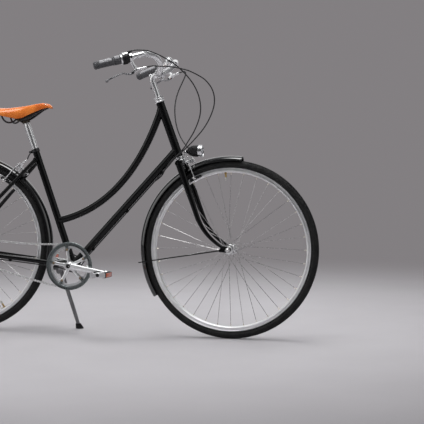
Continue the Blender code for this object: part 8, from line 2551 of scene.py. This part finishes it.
def bell_lever_pivot():
    return bell_dome_foot() + Vector((-0.004, 0.009, 0.0))


def build_bell(steer_body, lever_body):
    centre, way = bell_place()
    foot = bell_dome_foot()
    ring = placed(disc(BAR_RADIUS + 0.0034, -0.0060, 0.0060, 12), centre, way)
    base = placed(disc(BELL_RADIUS * 0.88, -BELL_BASE, 0.0005, 14), foot)
    arm = hulled([centre + Vector((x, y, z)) for x, z in ((-0.0085, 0.0090), (-0.0128, 0.0015))
                  for y in (-0.006, 0.006)]
                 + [foot + Vector((x, y, z)) for x in (0.002, 0.013) for y in (-0.006, 0.006)
                    for z in (-BELL_BASE, -0.0005)])
    dome = [(BELL_RADIUS * 0.97, 0.0), (BELL_RADIUS, 0.003), (BELL_RADIUS * 0.86, 0.0095),
            (BELL_RADIUS * 0.5, BELL_HEIGHT - 0.0015), (0.003, BELL_HEIGHT)]
    pivot = bell_lever_pivot()
    low = -BELL_BASE - RUNNING_GAP
    thick = BELL_LEVER_THICK
    pin = placed(disc(BELL_LEVER_PIN, low - thick - 0.0012, 0.0, 8), pivot)
    cap = placed(disc(BELL_LEVER_PIN + 0.0016, low - thick - 0.0022, low - thick - RUNNING_GAP, 8), pivot)
    show("bell_look", "chrome", steer_body, [ring, arm, base, lathe(dome, 14, foot), pin, cap], ("bell",),
         edge=0.0004)
    tab = foot + Vector((-0.0190, 0.0150, 0.0))
    flat = []
    for point, radius in ((pivot, 0.0042), (tab, 0.0046)):
        for i in range(8):
            angle = 2 * math.pi * i / 8
            across = Vector((radius * math.cos(angle), radius * math.sin(angle), 0))
            flat += [point + across + UP * (low - thick), point + across + UP * low]
    show("bell_lever_look", "polished_silver", lever_body, [hulled(flat)], ("bell_lever",), edge=0.0004)


# Cables

def cable_guides():
    """Each guide's centre, the cable's direction there and the way out of the tube."""
    start, end = down_tube_ends()
    along = (end - start).normalized()
    under = down_tube_under()
    away = DOWN_TUBE_RADIUS + CABLE_RADIUS + CABLE_STAND_OFF
    guides = []
    for share in (0.17, 0.50, 0.83):
        guides.append((start.lerp(end, share) + under * away - SIDEWAYS * SHIFT_CABLE_SIDE, along, under))
    guides.append((start.lerp(end, 0.60) + SIDEWAYS * away, along, SIDEWAYS))
    centre = on_seat_tube(SEAT_TUBE_GUIDE, *SEAT_TUBE_CABLE)
    guides.append((centre, SEAT_UP, (centre - on_seat_tube(SEAT_TUBE_GUIDE)).normalized()))
    stay_start, stay_end = chain_stay_points(-1)[1:]
    along = (stay_end - stay_start).normalized()
    below = under_stay(along)
    guides.append((stay_start.lerp(stay_end, 0.48) + below * stay_cable_drop(), along, below))
    return guides


def under_stay(along):
    """The direction straight down from a stay that runs along a direction."""
    return (along * along.z - UP).normalized()


def stay_cable_drop():
    """How far the shift cable runs below the chain stay's centre line."""
    return CHAIN_STAY_TALL + CABLE_RADIUS + CABLE_STAND_OFF


def down_tube_ends():
    return on_steerer(HEAD_TUBE_BOTTOM + DOWN_TUBE_HEAD_PLACE), BRACKET.copy()


def down_tube_under():
    """The direction out of the down tube's underside."""
    start, end = down_tube_ends()
    way = (end - start).normalized()
    return Vector((-way.z, 0, way.x))


def sparse_points(points, tolerance):
    """Keeps only the points that a line through the others would miss by more than a tolerance."""
    start, end = points[0], points[-1]
    way = end - start
    worst, farthest = tolerance, 0
    for i, point in enumerate(points[1:-1], 1):
        share = min(max((point - start).dot(way) / way.length_squared, 0.0), 1.0)
        miss = (point - start - way * share).length
        if miss > worst:
            worst, farthest = miss, i
    if not farthest:
        return [start, end]
    return sparse_points(points[:farthest + 1], tolerance)[:-1] + sparse_points(points[farthest:], tolerance)


def cable_points(route):
    """A smooth line through a cable's route, with points only where it bends."""
    return sparse_points(smooth_points(route, 300), CABLE_TOLERANCE)


# The loops in front of the bars, as points in the bicycle's frame
SHIFT_LOOP = [(0.338, -0.2150, 1.1058), (0.356, -0.2065, 1.1048), (0.376, -0.1980, 1.0985),
              (0.398, -0.1875, 1.0890), (0.420, -0.1745, 1.077), (0.447, -0.158, 1.0595),
              (0.473, -0.140, 1.036), (0.500, -0.117, 1.003), (0.518, -0.100, 0.972), (0.530, -0.083, 0.935),
              (0.533, -0.068, 0.893), (0.524, -0.055, 0.852), (0.502, -0.043, 0.805), (0.476, -0.034, 0.766),
              (0.458, -0.029, 0.740), (0.436, -0.029, 0.716), (0.411, -0.020, 0.690)]
REAR_LOOP = [(0.402, -0.187, 1.0465), (0.443, -0.166, 1.0455), (0.478, -0.149, 1.0390),
             (0.508, -0.136, 1.030), (0.550, -0.114, 1.007), (0.572, -0.103, 0.985), (0.585, -0.094, 0.962),
             (0.591, -0.085, 0.932), (0.586, -0.073, 0.897), (0.566, -0.061, 0.852), (0.539, -0.051, 0.812),
             (0.505, -0.043, 0.775), (0.475, -0.040, 0.745), (0.442, -0.040, 0.715), (0.409, -0.034, 0.691),
             (0.382, -0.021, 0.6575), (0.3585, 0.006, 0.6300), (0.3164, 0.0195, 0.6000)]
FRONT_LOOP = [(0.4035, 0.1840, 1.0525), (0.4078, 0.1795, 1.0435), (0.4062, 0.1750, 1.0310),
              (0.4005, 0.1685, 1.0140), (0.3930, 0.1585, 0.9920), (0.3862, 0.1455, 0.9670),
              (0.3822, 0.1300, 0.9385), (0.3822, 0.1135, 0.9062), (0.3865, 0.0990, 0.8737),
              (0.3942, 0.0862, 0.8414), (0.4060, 0.0745, 0.8100), (0.4225, 0.0635, 0.7800),
              (0.4460, 0.0500, 0.7520)]

# The shift cable's turn out from under the chain stay, from the hub gear's box
SHIFT_BOX_TURN = [(0.0660, 0.0218, -0.0485), (0.0430, 0.0118, -0.0350), (0.0270, 0.0045, -0.0150),
                  (0.0120, 0.0005, -0.0015)]
# The turn of the rear brake's cable above the bracket shell, from the bracket's centre
BRACKET_TURN = [(0.0300, 0.0210, 0.0430), (0.0020, 0.0215, 0.0370), (-0.0190, 0.0205, 0.0560)]
# Its loop over the left seat stay, from the end at the rear caliper
REAR_CALIPER_LOOP = [(0.0760, -0.0060, -0.0600), (0.0655, 0.0050, -0.0230), (0.0555, 0.0095, 0.0090),
                     (0.0390, 0.0100, 0.0310), (0.0200, 0.0070, 0.0340), (0.0075, 0.0030, 0.0190)]


def shift_cable_points():
    start, end = down_tube_ends()
    under = down_tube_under() * (DOWN_TUBE_RADIUS + CABLE_RADIUS + CABLE_STAND_OFF)
    aside = SIDEWAYS * SHIFT_CABLE_SIDE
    outlet, way = shifter_outlet()
    route = [outlet + way * 2 * GAP, outlet + way * 0.016]
    route += [Vector(p) for p in SHIFT_LOOP]
    shares = (0.12, 0.14, 0.20, 0.36, 0.64, 0.80, 0.86, 0.90)
    route += [start.lerp(end, share) + under - aside for share in shares]
    route.append(BRACKET + Vector((0.010, -0.0100, -BRACKET_SHELL_RADIUS - CABLE_RADIUS - CABLE_STAND_OFF)))
    _, waist, stay_end = chain_stay_points(-1)
    along = (stay_end - waist).normalized()
    drop = under_stay(along) * stay_cable_drop()
    route.append(waist + drop + Vector((0.042, 0.0015, -0.0070)))
    route += [waist.lerp(stay_end, share) + drop for share in (0.06, 0.20, 0.36, 0.52, 0.68)]
    entry = shift_box_entry()
    route += [entry + Vector(p) for p in SHIFT_BOX_TURN] + [entry]
    return cable_points(route)


def rear_cable_points():
    start, end = down_tube_ends()
    forward = -grip_way(-1)
    exit_point = lever_cable_exit(-1)
    beside = SIDEWAYS * (DOWN_TUBE_RADIUS + CABLE_RADIUS + CABLE_STAND_OFF)
    route = [exit_point + forward * GAP, exit_point + forward * 0.022]
    route += [Vector(p) for p in REAR_LOOP]
    route += [start.lerp(end, share) + beside for share in (0.36, 0.50, 0.56, 0.64, 0.78, 0.87)]
    route += [BRACKET + Vector(p) for p in BRACKET_TURN]
    route += [on_seat_tube(up, *SEAT_TUBE_CABLE) for up in (0.10, 0.16, 0.22, 0.28, 0.33)]
    caliper = caliper_cable_end("rear")
    route += [caliper + Vector(p) for p in REAR_CALIPER_LOOP]
    route.append(caliper)
    return cable_points(route)


def front_cable_points():
    forward = -grip_way(1)
    exit_point = lever_cable_exit(1)
    end = caliper_cable_end("front")
    route = [exit_point + forward * GAP, exit_point + forward * 0.008]
    route += [Vector(p) for p in FRONT_LOOP]
    route += [end + STEER_UP * 0.012, end]
    return cable_points(route)


def build_cables():
    """The three cables; the front brake cable rides on the steering, and the other two stay fixed where they
    are made.
    """
    for name, points in (("shift_cable", shift_cable_points()), ("rear_brake_cable", rear_cable_points()),
                         ("front_brake_cable", front_cable_points())):
        tube = swept(smooth_points(points, 400), (CABLE_RADIUS,) * 2, 4)
        cable = show(name + "_look", "cable_black", None, [tube], (name,), edge=0.0004)
        if name == "front_brake_cable":
            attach(cable, "steering")
        else:
            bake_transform(cable)


build_frame("frame")
build_headset("frame")
build_bottom_bracket("frame")
build_seat_clamp("frame")
build_rear_guard("frame")
build_axle("rear_axle", "frame", REAR_AXLE, REAR_HUB_WIDTH, CHAIN_LINE + 0.006)
build_chain("frame")
build_caliper("rear")
build_stand("frame", "kickstand")
build_seat_post("seat")
build_saddle_clamp("seat")
build_saddle_rails("seat")
build_saddle_leather("seat")
build_fork("steering")
build_locknut("steering")
build_stem("steering")
build_handlebar("steering")
build_grips("steering", "twist_grip")
for side, word in ((-1, "right"), (1, "left")):
    build_brake_lever(side, word, "steering", "brake_lever_" + word)
build_front_guard("steering")
build_axle("front_axle", "steering", FRONT_AXLE, FRONT_HUB_WIDTH, FRONT_SHELL_HALF)
build_caliper("front")
build_lamp("steering", "headlight")
build_bell("steering", "bell_lever")
build_cables()
build_wheel("front", "front_wheel", FRONT_AXLE)
build_wheel("rear", "rear_wheel", REAR_AXLE)
build_sprocket("sprocket")
build_cranks("crank")
build_stage()
